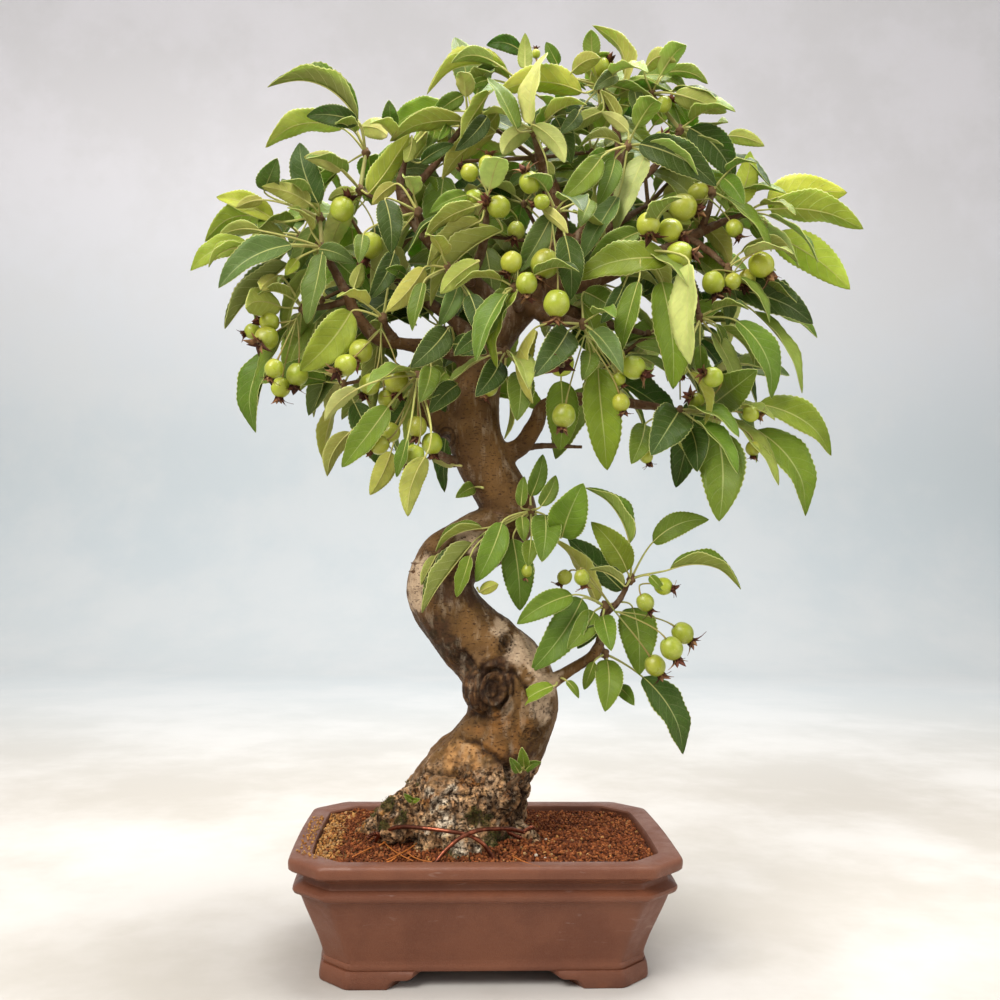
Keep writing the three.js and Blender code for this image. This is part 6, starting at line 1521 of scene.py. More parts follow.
def grains_at(gather, rng, places, sizes, colours, finish=0):
    """Fired-clay grains: each an icosahedron stretched three ways, turned at random and chipped."""
    corners, faces = pebble()
    count = len(places)
    shape = corners[None] * (1 + 0.2 * (rng.random((count, 12, 1)) - 0.5))
    shape = shape * (0.72 + 0.5 * rng.random((count, 1, 3)))
    turn, _ = np.linalg.qr(rng.normal(size=(count, 3, 3)))
    turn *= np.sign(np.linalg.det(turn))[:, None, None]
    shape = np.einsum("nij,nkj->nki", turn, shape) * sizes[:, None, None] + places[:, None, :]
    numbers = faces[None] + 12 * np.arange(count)[:, None, None]
    gather.add(shape.reshape(-1, 3), [numbers.reshape(-1, 3)], finish, tint=np.repeat(colours, 12, axis=0))


GRAIN_BROWNS = ((122, 64, 32), (146, 80, 40), (92, 46, 22), (108, 55, 27), (160, 96, 52))
GRAIN_TANS = ((186, 130, 68), (200, 150, 86), (168, 112, 56), (182, 142, 94))
WHITE_GRAINS = ((546, 842), (549, 851), (545, 861), (536, 858), (470, 872), (402, 858))


def lay_grains(gather, sizes):
    """Grains over the soil on a shaken grid, tan to the left and brown elsewhere, with a few on the
    left of the rim and some white ones."""
    rng = np.random.default_rng(11)
    step = sizes.grain_spacing
    x, y = np.meshgrid(np.arange(-108, 109, step), np.arange(-70, 71, step))
    x = x.ravel() + rng.uniform(-0.45, 0.45, x.size) * step
    y = y.ravel() + rng.uniform(-0.45, 0.45, y.size) * step
    long, wide, cut = 109, 70.5, 18
    inside = (np.abs(x) < long) & (np.abs(y) < wide) & (np.abs(x) + np.abs(y) < long + wide - cut)
    clear = ((x - TRUNK_FOOT[0]) / 34) ** 2 + ((y - TRUNK_FOOT[1]) / 30) ** 2 > 1
    x, y = x[inside & clear], y[inside & clear]
    small = rng.random(len(x)) < 0.3
    size = np.where(small, rng.uniform(0.5, 0.8, len(x)), rng.uniform(0.8, 1.5, len(x)))
    lift = np.where(small, rng.uniform(0.5, 1.6, len(x)), rng.uniform(0.0, 0.8, len(x)))
    lift = lift + 1.0 * ripple(np.stack([x, y, 0 * x], axis=1), 9, 52) + 0.6
    places = np.stack([x, y, soil_top(x, y) + lift], axis=1)
    tan = rng.random(len(x)) < ease(-88, -104, x + 7 * ripple(places, 20, 51)) * 0.85 + 0.03
    browns = np.array(GRAIN_BROWNS)[rng.integers(0, len(GRAIN_BROWNS), len(x))]
    tans = np.array(GRAIN_TANS)[rng.integers(0, len(GRAIN_TANS), len(x))]
    colours = linear(np.where(tan[:, None], tans, browns)) * rng.uniform(0.75, 1.25, (len(x), 1))
    grains_at(gather, rng, places, size, colours)

    spill = 130
    y = rng.uniform(-66, 40, spill)
    x = rng.uniform(-121, -112, spill)
    x = np.where(np.abs(y) > 52, x + (np.abs(y) - 52) * 0.9, x)
    size = rng.uniform(0.35, 0.95, spill)
    places = np.stack([x, y, RIM_TOP + size * 0.6], axis=1)
    tans = np.array(GRAIN_TANS)[rng.integers(0, len(GRAIN_TANS), spill)]
    grains_at(gather, rng, places, size, linear(tans) * rng.uniform(0.8, 1.15, (spill, 1)))

    on_soil = np.array([soil_point(*place) for place in WHITE_GRAINS])
    count = len(on_soil)
    colours = np.tile(linear((206, 190, 168)), (count, 1))
    grains_at(gather, rng, on_soil + [0, 0, 1.8], rng.uniform(0.6, 1.0, count), colours)


def soil_point(across, down):
    """Where the line of sight through a picture point meets the soil."""
    ray = view_ray(np.asarray(across), np.asarray(down))
    height = 77.0
    for _ in range(6):
        point = EYE + ray * ((height - EYE[2]) / ray[2])
        height = float(soil_top(point[0], point[1]))
    return point


# Dry needles: ends in the picture.
NEEDLES = (
    (381, 842, 413, 866), (386, 866, 420, 846), (379, 852, 404, 838), (396, 862, 372, 872),
    (408, 858, 432, 868), (512, 862, 540, 874), (352, 862, 372, 852))


def lay_needles(gather):
    """Dry pine needles: slim tubes, bowed sideways, from one soil point to the next."""
    for number, (left, high, right, low) in enumerate(NEEDLES):
        ends = np.array([soil_point(left, high), soil_point(right, low)])
        t = np.linspace(0, 1, 12)[:, None]
        line = ends[0] * (1 - t) + ends[1] * t
        aside = unit(np.cross(ends[1] - ends[0], (0, 0, 1.0)))
        line = line + aside * (4 * t * (1 - t)) * (3.0 - 1.7 * (number % 4))
        line[:, 2] = soil_top(line[:, 0], line[:, 1]) + 3.0 + 0.5 * (number % 3)
        shade = linear((196, 116, 52)) * (0.7 + 0.12 * (number % 4))
        gather.add(*tube(line, 0.45, 6), 0, tint=shade)


def grow_moss(gather, points, normals, moss):
    """Moss: small three-sided spikes that lean about the bark's normal wherever the moss mask is set."""
    rng = np.random.default_rng(29)
    chosen = np.flatnonzero((moss > 0.45) & (rng.random(len(points)) < 0.55))
    root = points[chosen]
    count = len(chosen)
    lean = unit(normals[chosen] + rng.normal(size=(count, 3)) * 0.35 + np.array([0, 0, 0.2]))
    side = unit(np.cross(lean, rng.normal(size=(count, 3))))
    other = np.cross(lean, side)
    tall = rng.uniform(0.9, 2.3, count)[:, None]
    wide = rng.uniform(0.3, 0.5, count)[:, None]
    base = [
        root - lean * 0.3 + (side * math.cos(angle) + other * math.sin(angle)) * wide for angle in turned(3)]
    spikes = np.stack([*base, root + lean * tall], axis=1).reshape(-1, 3)
    first = 4 * np.arange(count)[:, None]
    faces = np.concatenate([
        first + np.array([face]) for face in ((0, 1, 3), (1, 2, 3), (2, 0, 3), (0, 2, 1))])
    shade = linear((92, 92, 42))[None, :] * rng.uniform(0.35, 1.5, (count, 1))
    gather.add(spikes, [faces], 0, tint=np.repeat(shade, 4, axis=0))


# Copper

# Twisted wire ends: picture points with depth.
WIRE_ENDS = (
    ((521, 838, -36), (515, 836, -38), (508, 832, -42)), ((523, 832, -33), (528, 829, -31), (533, 827, -28)),
    ((380, 834, -32), (373, 834, -31), (367, 839, -30)))


def bend_wire(gather, name):
    """A copper wire: a round tube carried through its points."""
    gather.add(*tube(sighted(carried(WIRES[name], 8)), WIRE_RADIUS, 12))


def twisted(line, start):
    """One strand of a twisted pair: a helix about a line, from a start angle."""
    path = sighted(carried(line, 16))
    side, over = frames(path)
    turn = (run_length(path) * (2 * math.pi / TWIST_PITCH) + start)[:, None]
    return path + (side * np.cos(turn) + over * np.sin(turn)) * WIRE_END_RADIUS


# Finishes

class Signal:
    """What a shader node puts out. Arithmetic on it adds Math nodes to its tree."""

    def __init__(self, nodes, socket):
        self.nodes = nodes
        self.socket = socket

    def math(self, operation, first, second=0.0):
        """One step of arithmetic on signals or numbers."""
        return self.nodes.add("Math", {0: first, 1: second}, 0, operation=operation)

    def __add__(self, other):
        return self.math("ADD", self, other)

    def __sub__(self, other):
        return self.math("SUBTRACT", self, other)

    def __rsub__(self, other):
        return self.math("SUBTRACT", other, self)

    def __mul__(self, other):
        return self.math("MULTIPLY", self, other)

    def __truediv__(self, other):
        return self.math("DIVIDE", self, other)

    def __abs__(self):
        return self.math("ABSOLUTE", self)

    def most(self, other):
        """The larger of the two."""
        return self.math("MAXIMUM", self, other)

    def rise(self, low, high, to_low=0.0, to_high=1.0):
        """A smooth rise from to_low at low to to_high at high."""
        inputs = {"Value": self, "From Min": low, "From Max": high, "To Min": to_low, "To Max": to_high}
        return self.nodes.add("MapRange", inputs, "Result", interpolation_type="SMOOTHSTEP")


class Nodes:
    """A shader's or a group's tree, with short ways to add nodes. place is the vector that its
    patterns use by default. Colours are given from 0 to 255."""

    def __init__(self, tree):
        self.tree = tree

    def feed(self, socket, value):
        """Links a signal to a socket, or sets its value."""
        if isinstance(value, Signal):
            self.tree.links.new(value.socket, socket)
        elif socket.type == "RGBA":
            socket.default_value = (*linear(value).tolist(), 1.0)
        else:
            socket.default_value = value

    def add(self, kind, inputs, output=None, **settings):
        """Adds a node with its settings and inputs. Gives the output asked for, or all by name."""
        made = self.tree.nodes.new("ShaderNode" + kind)
        for name, value in settings.items():
            setattr(made, name, value)
        for key, value in inputs.items():
            self.feed(made.inputs[key], value)
        if output is None:
            return {socket.name: Signal(self, socket) for socket in made.outputs}
        return Signal(self, made.outputs[output])

    def mix(self, factor, first, second):
        """A colour mix: first where the factor is 0, second where it is 1."""
        made = self.tree.nodes.new("ShaderNodeMix")
        made.data_type = "RGBA"
        ends = [socket for socket in made.inputs if socket.type == "RGBA"]
        for socket, value in zip((made.inputs["Factor"], *ends), (factor, first, second)):
            self.feed(socket, value)
        return Signal(self, [socket for socket in made.outputs if socket.type == "RGBA"][0])

    def noise(self, scale, detail=4.0, roughness=0.55, distortion=0.0, stretch=None):
        """A noise value from 0 to 1, its coordinates stretched along each axis where asked."""
        place = self.stretched(stretch) if stretch else self.place
        return self.add("TexNoise", {
            "Vector": place, "Scale": scale, "Detail": detail, "Roughness": roughness,
            "Distortion": distortion}, "Fac")

    def stretched(self, scale):
        """The tree's coordinates scaled along each axis."""
        return self.add("Mapping", {"Vector": self.place, "Scale": scale}, "Vector")

    def cells(self, place, scale, feature="F1"):
        """A cell pattern's outputs."""
        return self.add("TexVoronoi", {"Vector": place, "Scale": scale}, feature=feature)

    def axis(self, name):
        """One axis of the tree's coordinates."""
        return self.add("SeparateXYZ", {"Vector": self.place}, name)

    def layer(self, name, output="Fac"):
        """A layer of the piece's own mesh."""
        return self.add("Attribute", {}, output, attribute_name=name)

    def group(self, name, inputs):
        """A shared group with this tree's own values; the group is built once."""
        if name not in GROUPS:
            GROUPS[name] = GROUP_MAKERS[name]().tree
        return self.add("Group", inputs, node_tree=GROUPS[name])

    def mottle(self, scale, base, patch, amount):
        """The mottle group over this tree's coordinates."""
        return self.group("Mottle", {
            "Vector": self.place, "Scale": scale, "Base": base, "Patch": patch, "Amount": amount})

    def grain(self, coarse, fine, share):
        """The grain group over this tree's coordinates."""
        return self.group("Grain", {
            "Vector": self.place, "Coarse": coarse, "Fine": fine, "Fine Share": share})

    def finished(self, colour, roughness=None, height=None, distance=0.0):
        """Links the shader's colour and roughness and a bump whose height is given in metres, and
        gives the material."""
        self.feed(self.shader.inputs["Base Color"], colour)
        if roughness is not None:
            self.feed(self.shader.inputs["Roughness"], roughness)
            bump = self.add("Bump", {"Height": height, "Distance": distance, "Strength": 1.0}, "Normal")
            self.feed(self.shader.inputs["Normal"], bump)
        return self.material


def new_finish(name, **settings):
    """A material under way: its tree, its Principled shader and Object coordinates."""
    material = bpy.data.materials.new(name)
    material.use_nodes = True
    made = Nodes(material.node_tree)
    made.material = material
    made.shader = made.tree.nodes["Principled BSDF"]
    for key, value in settings.items():
        made.shader.inputs[key.replace("_", " ")].default_value = value
    made.place = made.add("TexCoord", {}, "Object")
    return made


def new_group(name, outputs, **inputs):
    """A shader group with a vector, named values and colours coming in, and (kind, name) outputs."""
    made = Nodes(bpy.data.node_groups.new(name, "ShaderNodeTree"))

    def socket(way, kind, key):
        return made.tree.interface.new_socket(
            name=key.replace("_", " "), in_out=way, socket_type="NodeSocket" + kind)

    socket("INPUT", "Vector", "Vector")
    for key, value in inputs.items():
        socket("INPUT", "Float" if isinstance(value, float) else "Color", key).default_value = value
    for kind, key in outputs:
        socket("OUTPUT", kind, key)
    given = made.tree.nodes.new("NodeGroupInput").outputs
    made.given = {socket.name: Signal(made, socket) for socket in given}
    made.place = made.given["Vector"]
    return made


def give(group, **values):
    """Links what a group puts out, and gives the group."""
    out = group.tree.nodes.new("NodeGroupOutput")
    for key, value in values.items():
        group.feed(out.inputs[key], value)
    return group


def mottle_group():
    """Patches of a second colour over the first, by a noise, and the patch mask."""
    grey = (0.5, 0.5, 0.5, 1.0)
    outputs = (("Color", "Color"), ("Float", "Mask"))
    group = new_group("Mottle", outputs, Scale=300.0, Base=grey, Patch=grey, Amount=0.5)
    given = group.given
    mask = group.noise(given["Scale"], 6.0, 0.62).rise(0.38, 0.64)
    return give(group, Color=group.mix(mask * given["Amount"], given["Base"], given["Patch"]), Mask=mask)


def grain_group():
    """Relief of two sizes of noise, for bumps, and a rough-to-smooth value."""
    group = new_group(
        "Grain", (("Float", "Height"), ("Float", "Roughness")), Coarse=200.0, Fine=1200.0, Fine_Share=0.4)
    given = group.given
    coarse = group.noise(given["Coarse"], 5.0)
    height = coarse * (1.0 - given["Fine Share"]) + group.noise(given["Fine"]) * given["Fine Share"]
    return give(group, Height=height, Roughness=coarse.rise(0.3, 0.7, 0.85, 1.15))


def vein_group():
    """A leaf's veins from its map: u runs from stalk to tip and v from margin to margin. The rib lies
    where v is a half; side veins run outwards and forwards at a steady spacing; a net fills between."""
    names = ("Rib", "Veins", "Net", "Margin")
    group = new_group("Leaf Veins", [("Float", name) for name in names], Pairs=9.0)
    along = group.axis("X")
    apart = abs(group.axis("Y") - 0.5) * 2.0
    rib = (apart / (along * -0.045 + 0.075)).rise(0.35, 1.0, 1.0, 0.0)
    forwards = apart * 0.9 + apart * apart * 0.7
    phase = along * group.given["Pairs"] - forwards
    near = abs(phase.math("FRACT", phase + 0.5) - 0.5)
    veins = near.rise(0.012, 0.07, 1.0, 0.0) * apart.rise(0.82, 0.97, 1.0, 0.0)
    net = group.cells(group.stretched((34.0, 30.0, 1.0)), 1.0, "DISTANCE_TO_EDGE")["Distance"]
    return give(
        group, Rib=rib, Veins=veins, Net=net.rise(0.02, 0.12, 1.0, 0.0), Margin=apart.rise(0.955, 0.985))


GROUPS = {}
GROUP_MAKERS = {"Mottle": mottle_group, "Grain": grain_group, "Leaf Veins": vein_group}


def leaf_finish():
    """Leaf blade: each leaf's green with its light or shade painted in, paler veins, a fine net, faint
    blotches, a pale margin that is partly a painted highlight, and dry edges.
    """
    leaf = new_finish(
        "Leaf Blade", Subsurface_Weight=0.12, Subsurface_Scale=0.002, Subsurface_Radius=(0.4, 1.0, 0.15),
        Specular_IOR_Level=0.18)
    tint = leaf.layer("tint", "Color")
    under = leaf.layer("under")
    veins = leaf.group("Leaf Veins", {"Vector": leaf.add("UVMap", {}, "UV", uv_map="leaf"), "Pairs": 7.6})
    pale = leaf.mix(0.42, tint, (206, 214, 140))
    lines = (veins["Rib"] * 0.9).most(veins["Veins"] * under.rise(0.0, 1.0, 0.26, 0.7))
    lines = lines.most(veins["Net"] * 0.12)
    colour = leaf.mix(lines, tint, pale)
    blotch = leaf.mottle(90.0, colour, leaf.mix(0.24, colour, (44, 62, 16)), 0.75)
    # A pale line along the margin: the leaf's paler edge, with a painted highlight on it.
    colour = leaf.mix(veins["Margin"] * 0.75, blotch["Color"], (204, 206, 128))
    dry = leaf.noise(46.0, 3.0).rise(0.62, 0.7) * veins["Margin"]
    colour = leaf.mix(dry * 0.5, colour, (150, 112, 60))
    roughness = (under * 0.8 + blotch["Mask"] * 0.2).rise(0.0, 1.0, 0.36, 0.62)
    raised = (veins["Veins"] * 0.8 + veins["Net"] * 0.3) * (under * 2.0 - 1.0)
    return leaf.finished(colour, roughness, raised + leaf.noise(900.0, 3.0) * 0.5, 0.00022)


def tinted_finish(name, patch, amount, scale, roughness, distance):
    """A finish whose colour is the piece's tint, patched by a second colour, with a fine grain."""
    made = new_finish(name, Specular_IOR_Level=0.2)
    tint = made.layer("tint", "Color")
    mottle = made.mottle(scale, tint, made.mix(0.5, tint, patch), amount)
    grain = made.grain(scale * 1.6, scale * 6, 0.4)
    return made.finished(mottle["Color"], grain["Roughness"] * roughness, grain["Height"], distance)


def fruit_finish():
    """Fruit skin: the fruit's own green with pale breathing spots, a waxy gloss and faint patches."""
    skin = new_finish(
        "Fruit Skin", Subsurface_Weight=0.18, Subsurface_Scale=0.004, Subsurface_Radius=(0.7, 1.0, 0.25))
    tint = skin.layer("tint", "Color")
    mottle = skin.mottle(160.0, tint, skin.mix(0.35, tint, (196, 196, 96)), 0.8)
    cells = skin.cells(skin.place, 720.0)
    chosen = skin.add("SeparateColor", {"Color": cells["Color"]}, "Red").rise(0.45, 0.5)
    spots = cells["Distance"].rise(0.12, 0.2, 1.0, 0.0) * chosen
    colour = skin.mix(spots * 0.55, mottle["Color"], (206, 206, 150))
    roughness = skin.noise(240.0).rise(0.3, 0.7, 0.27, 0.42)
    return skin.finished(colour, roughness, spots + skin.noise(1500.0), 0.00006)


def twig_finish():
    """Twig bark: warm grey-brown darkened by a painted shade of the crown, with fine cross-wise pores and
    grey patches.
    """
    bark = new_finish("Twig Bark", Specular_IOR_Level=0.15)
    # The base is darker than the twigs' own brown: a painted shade of the crown.
    colour, _, pores = upper_bark(bark, (92, 64, 42))
    colour = bark.mix(bark.noise(210.0, 3.0).rise(0.45, 0.62, 0.0, 0.55), colour, (112, 94, 70))
    grain = bark.grain(420.0, 1800.0, 0.4)
    return bark.finished(colour, grain["Roughness"] * 0.66, grain["Height"] - pores * 0.5, 0.0008)


def upper_bark(bark, base):
    """The smoother bark's colour over a base colour, its long pale streaks and its dark pores."""
    patched = bark.mottle(230.0, base, bark.mix(0.28, base, (92, 66, 44)), 0.9)
    streaks = bark.noise(1.0, 5.0, 0.6, stretch=(160.0, 160.0, 46.0))
    light = bark.mix(0.3, base, (226, 206, 176))
    colour = bark.mix(streaks.rise(0.5, 0.72, 0.0, 0.6), patched["Color"], light)
    pores = bark.noise(1.0, 2.0, 0.5, stretch=(420.0, 420.0, 1100.0)).rise(0.6, 0.67)
    return bark.mix(pores * 0.75, colour, (58, 36, 22)), streaks, pores


def bark_finish():
    """Trunk bark: the piece's own painted colours under fine streaks and pores above, and chips, dark
    specks and moss at the foot."""
    bark = new_finish("Trunk Bark", Specular_IOR_Level=0.15)
    base = bark.layer("tint", "Color")
    colour, streaks, pores = upper_bark(bark, base)
    rough = bark.layer("rough")
    chips = bark.noise(260.0, 6.0, 0.78).rise(0.54, 0.62)
    colour = bark.mix(rough * (chips * 0.8), colour, bark.mix(0.42, base, (255, 226, 190)))
    specks = bark.noise(330.0, 6.0, 0.75).rise(0.5, 0.59)
    colour = bark.mix(rough * (specks * 0.92), colour, (34, 20, 11))
    green = bark.mottle(900.0, (96, 84, 42), (44, 40, 20), 1.0)
    colour = bark.mix(bark.layer("moss") * 0.85, colour, green["Color"])
    grain = bark.grain(330.0, 1500.0, 0.35)
    height = streaks * 0.7 + grain["Height"] - pores * 0.4 + rough * (chips - specks)
    return bark.finished(colour, grain["Roughness"] * rough.rise(0.0, 1.0, 0.6, 0.88), height, 0.0011)


def clay_finish():
    """Unglazed brown clay: darker and paler clouds, fine flecks, a rim top greyed by dust and a painted
    sheen, pale scuffs, a dark foot and faint lines from the mould."""
    clay = new_finish("Fired Clay", Specular_IOR_Level=0.3)
    body = clay.mottle(22.0, (115, 69, 48), (102, 59, 41), 0.9)
    fleck = clay.mottle(800.0, body["Color"], clay.mix(0.3, body["Color"], (150, 112, 88)), 0.2)
    high = clay.axis("Z")
    cloud = clay.noise(34.0, 6.0, 0.6).rise(0.4, 0.62, 0.15, 1.0)
    # The rim's top face turns greyer: dust, and the painted sheen of the top.
    colour = clay.mix(high.rise(0.0775, 0.0798) * cloud * 0.14, fleck["Color"], (138, 112, 98))
    scuffs = clay.noise(1.0, 3.0, 0.5, 0.6, (60.0, 60.0, 260.0)).rise(0.64, 0.74)
    colour = clay.mix(scuffs * clay.noise(14.0).rise(0.5, 0.62) * 0.4, colour, (152, 124, 112))
    foot = high.rise(0.016, 0.0, 0.0, 1.0) * clay.noise(60.0, 5.0).rise(0.4, 0.6, 0.3, 1.0)
    colour = clay.mix(foot * 0.35, colour, (66, 44, 38))
    grain = clay.grain(120.0, 1600.0, 0.5)
    lines = clay.noise(1.0, 3.0, stretch=(6.0, 6.0, 420.0))
    roughness = grain["Roughness"] * body["Mask"].rise(0.0, 1.0, 0.4, 0.5)
    return clay.finished(colour, roughness, lines * 0.4 + grain["Height"], 0.0004)


def soil_finish():
    """Soil between the grains: red-brown crumbs with painted shade in the hollows between them, tan to
    the left.
    """
    soil = new_finish("Soil Crumbs", Specular_IOR_Level=0.15)
    hollow = soil.cells(soil.place, 330.0)["Distance"]
    base = soil.mix(soil.axis("X").rise(-0.09, -0.105), (102, 56, 32), (160, 118, 72))
    crumbs = soil.mottle(400.0, base, soil.mix(0.6, base, (40, 24, 16)), 1.0)
    # Painted shade in the hollows between the crumbs.
    colour = soil.mix(hollow.rise(0.35, 0.8, 0.0, 0.8), crumbs["Color"], (34, 20, 14))
    return soil.finished(colour, crumbs["Mask"].rise(0.0, 1.0, 0.82, 0.95), 1.0 - hollow, 0.002)


def plain_finish(name, scale, base, patch, amount, roughness, bumps, distance, metallic):
    """A finish of two mottled colours, its roughness between two values, with noise for bumps."""
    made = new_finish(name, Metallic=metallic)
    skin = made.mottle(scale, base, patch, amount)
    return made.finished(skin["Color"], skin["Mask"].rise(0.0, 1.0, *roughness), made.noise(bumps), distance)


def floor_finish():
    """Pale matt floor and wall, with painted light: darker on the floor, paler towards the wall and
    brightest high up it.
    """
    floor = new_finish("Pale Paper", Roughness=0.9)
    high = floor.axis("Z")
    # A painted light gradient: the floor darker in front, the wall brighter as it rises.
    paper = floor.mix(floor.axis("Y").rise(0.3, 1.6), (174, 168, 159), (206, 211, 212))
    paper = floor.mix(high.rise(0.0, 0.3), paper, (201, 208, 211))
    paper = floor.mix(high.rise(0.4, 1.5), paper, (252, 249, 253))
    return floor.finished(floor.mottle(3.0, paper, floor.mix(0.3, paper, (226, 224, 222)), 1.0)["Color"])


FINISHES = {}

# Each finish: its maker and what the maker is told.
FINISH_MAKERS = {
    "leaf": (leaf_finish,), "fruit": (fruit_finish,), "bark": (bark_finish,), "twigs": (twig_finish,),
    "clay": (clay_finish,), "soil": (soil_finish,), "floor": (floor_finish,),
    "stalk": (tinted_finish, "Leaf Stalk", (140, 84, 56), 0.5, 150.0, 0.48, 0.0002),
    "spur": (tinted_finish, "Spur Bark", (64, 46, 34), 0.9, 420.0, 0.75, 0.0008),
    "dry": (tinted_finish, "Dry Sepal", (70, 46, 28), 0.8, 900.0, 0.8, 0.0003),
    "grain": (tinted_finish, "Clay Grain", (66, 40, 28), 0.7, 600.0, 0.88, 0.0007),
    "moss": (tinted_finish, "Moss", (36, 50, 20), 0.7, 700.0, 0.85, 0.0002),
    "needle": (tinted_finish, "Dry Needle", (120, 66, 34), 0.6, 400.0, 0.6, 0.0002),
    "copper": (
        plain_finish, "Copper Wire", 130.0, (158, 92, 68), (78, 46, 36), 0.95, (0.3, 0.55), 700.0, 0.0002,
        1.0),
    "screen": (
        plain_finish, "Drain Screen", 180.0, (46, 48, 46), (112, 86, 62), 0.6, (0.5, 0.8), 900.0, 0.0003,
        0.0),
}


def finish(name):
    """A finish by name, made the first time that it is asked for."""
    if name not in FINISHES:
        maker, *told = FINISH_MAKERS[name]
        FINISHES[name] = maker(*told)
    return FINISHES[name]


# Leaf growers

SPUR_TINT = linear((120, 92, 62))
STALK_TINT = linear(LEAF_TINTS["p"])


def piece_leaves(gather, marks_from, buds, rows, seeds, sizes):
    """The leaves of one spray into a gather, each laid as its solid lies, with the spray's buds."""
    corners = solid_corners(marks_from)
    for number, row in enumerate(rows):
        seed = seeds + number
        plans = (front_leaf(row, buds[row[0]], seed, steps) for steps in step_pairs())
        plan = kept(corners, plans, leaf_marks)
        if plan is not None:
            grow_leaf(gather, plan, row[6], seed, sizes)
    for number, bud in enumerate(buds):
        grow_bud(gather, sight(*bud), BUD_SIZE, seeds + number)
    if len(buds) > 1:
        path = carried(sight(*np.array(buds, float).T), 12)
        shoot = tube(path, np.linspace(1.7, 1.3, len(path)), 8)
        gather.add(*shoot, 1, leaf=(0.5, 0.5), tint=STALK_TINT * 0.6, under=0.5)


BACK_LETTERS = ("Um", "Ud", "Ug", "Um", "Ub", "Lo", "Ud")


def back_leaves(gather, name, number, spray, sizes):
    """The leaves and tufts of one spray behind the crown, with their buds and shoots."""
    place, count, mean_length, tufts = spray
    corners = solid_corners(f"leaves_{name}")

    def grow(turn, seed, plan_at):
        plan = kept(corners, map(plan_at, step_pairs()), keeled_marks)
        if plan is not None:
            letters = BACK_LETTERS[(3 * turn + number) % len(BACK_LETTERS)]
            grow_leaf(gather, plan, letters, seed, sizes)

    for index in range(count):
        seed = BACK_SEEDS + 100 * number + index
        grow(index, seed, lambda steps: back_leaf(spray, index, seed, steps))
    for tuft, bud in enumerate(tufts):
        for index in range(TUFT_LEAVES):
            turn = TUFT_LEAVES * tuft + index
            seed = TUFT_SEEDS + 100 * number + turn
            grow(turn, seed, lambda steps: tuft_leaf(mean_length, bud, index, seed, steps))
        path = carried(np.array([sight(*place), sight(*bud)]), 12)
        gather.add(*tube(path, np.linspace(1.7, 1.3, len(path)), 8), 2, tint=SPUR_TINT)
        grow_bud(gather, sight(*bud), BUD_SIZE * 0.8, number + 910 + tuft)
    grow_bud(gather, sight(*place), BUD_SIZE, number + 900)


# Smaller leaves that fill in between: how many stand at each tuft, at each bud behind the crown and at
# each bud of the front's sprays, and the crown's heart, from which they turn away.
FILLERS_AT_TUFT = 4
FILLERS_AT_BACK = 4
FILLERS_IN_FRONT = 3
CROWN_HEART = sight(515, 330, 5)
FILLER_LETTERS = ("Um", "Ud", "Ug", "Lo", "Um", "Lp", "Ud")


def grow_fillers(gather, bud, seed, count, lengths, backward, sizes):
    """Smaller leaves at a bud: headings by the golden angle about the way out of the crown, drooping."""
    draw = draws(seed)
    away = (bud - CROWN_HEART) * np.array([0.8, 0.5, 0.5])
    away = unit(away + np.array([0.0, backward * np.linalg.norm(away) + 1.0, 0.0]))
    side = unit(np.cross(away, (0.1, 0.2, 1.0)))
    over = np.cross(side, away)
    for index in range(count):
        turn = index * 2.4 + draw() * 0.8
        out = unit(away * (0.3 + 0.4 * draw()) + side * math.cos(turn) + over * (0.7 * math.sin(turn)))
        stalk = 8 + 9 * draw()
        length = lengths[0] + (lengths[1] - lengths[0]) * draw()
        moved = (0, 0, -length * (0.3 + 0.45 * draw()))
        up = (0.7 * (draw() - 0.5), 0.7 * (draw() - 0.5) - 0.2, 1.0)
        plan = hung_leaf(bud, out, stalk, length, moved, up, 0.1, BLADE_RATIO + 0.3 * draw(), 0.3)
        letters = FILLER_LETTERS[int(draw() * len(FILLER_LETTERS))]
        grow_leaf(gather, plan, letters, seed + 100 + index, sizes, 0.6)


# Sizes and colours that may be changed

def millimetres(name, what, default, low, high):
    """A size in millimetres that may be changed."""
    return FloatProperty(name=name, description=what + " in millimetres", default=default, min=low, max=high)


def power(name, what, default):
    """A lamp's power that may be changed."""
    return FloatProperty(
        name=name, description="Power of the " + what, default=default, min=0, subtype="POWER", unit="POWER")


class TreeSizes(bpy.types.PropertyGroup):
    """Sizes of what is grown on the tree."""

    blade_rows: IntProperty(
        name="Blade Rows", description="Rows of faces along a leaf's blade", default=34, min=12, max=60)
    blade_thickness: millimetres("Blade Thickness", "Thickness of a leaf's blade", 0.4, 0.2, 1)
    bark_voxel: millimetres("Bark Mesh", "Spacing of the bark's mesh", 1.36, 0.8, 4)


class PotSizes(bpy.types.PropertyGroup):
    """Sizes of what lies in the pot."""

    grain_spacing: millimetres("Grain Spacing", "Spacing of the soil's grains", 2.05, 1.5, 8)


class StageSizes(bpy.types.PropertyGroup):
    """The stage's light."""

    key_power: power("Key Light", "main light", 38)
    fill_power: power("Fill Light", "fill light", 9)
    top_power: power("Top Light", "top light", 42)
    world_colour: FloatVectorProperty(
        name="Surrounding Light", description="Colour of the surrounding light", default=(0.9, 0.9, 0.9),
        subtype="COLOR", size=3, min=0, max=1)
    world_strength: FloatProperty(
        name="Surrounding Strength", description="Strength of the surrounding light", default=0.5, min=0,
        max=5)


# The stage, in metres.
WALL_START = 1.6
WALL_BEND = 0.6
WALL_TOP = 6.0
FLOOR_FRONT = -6.0
FLOOR_HALF_WIDTH = 9.0


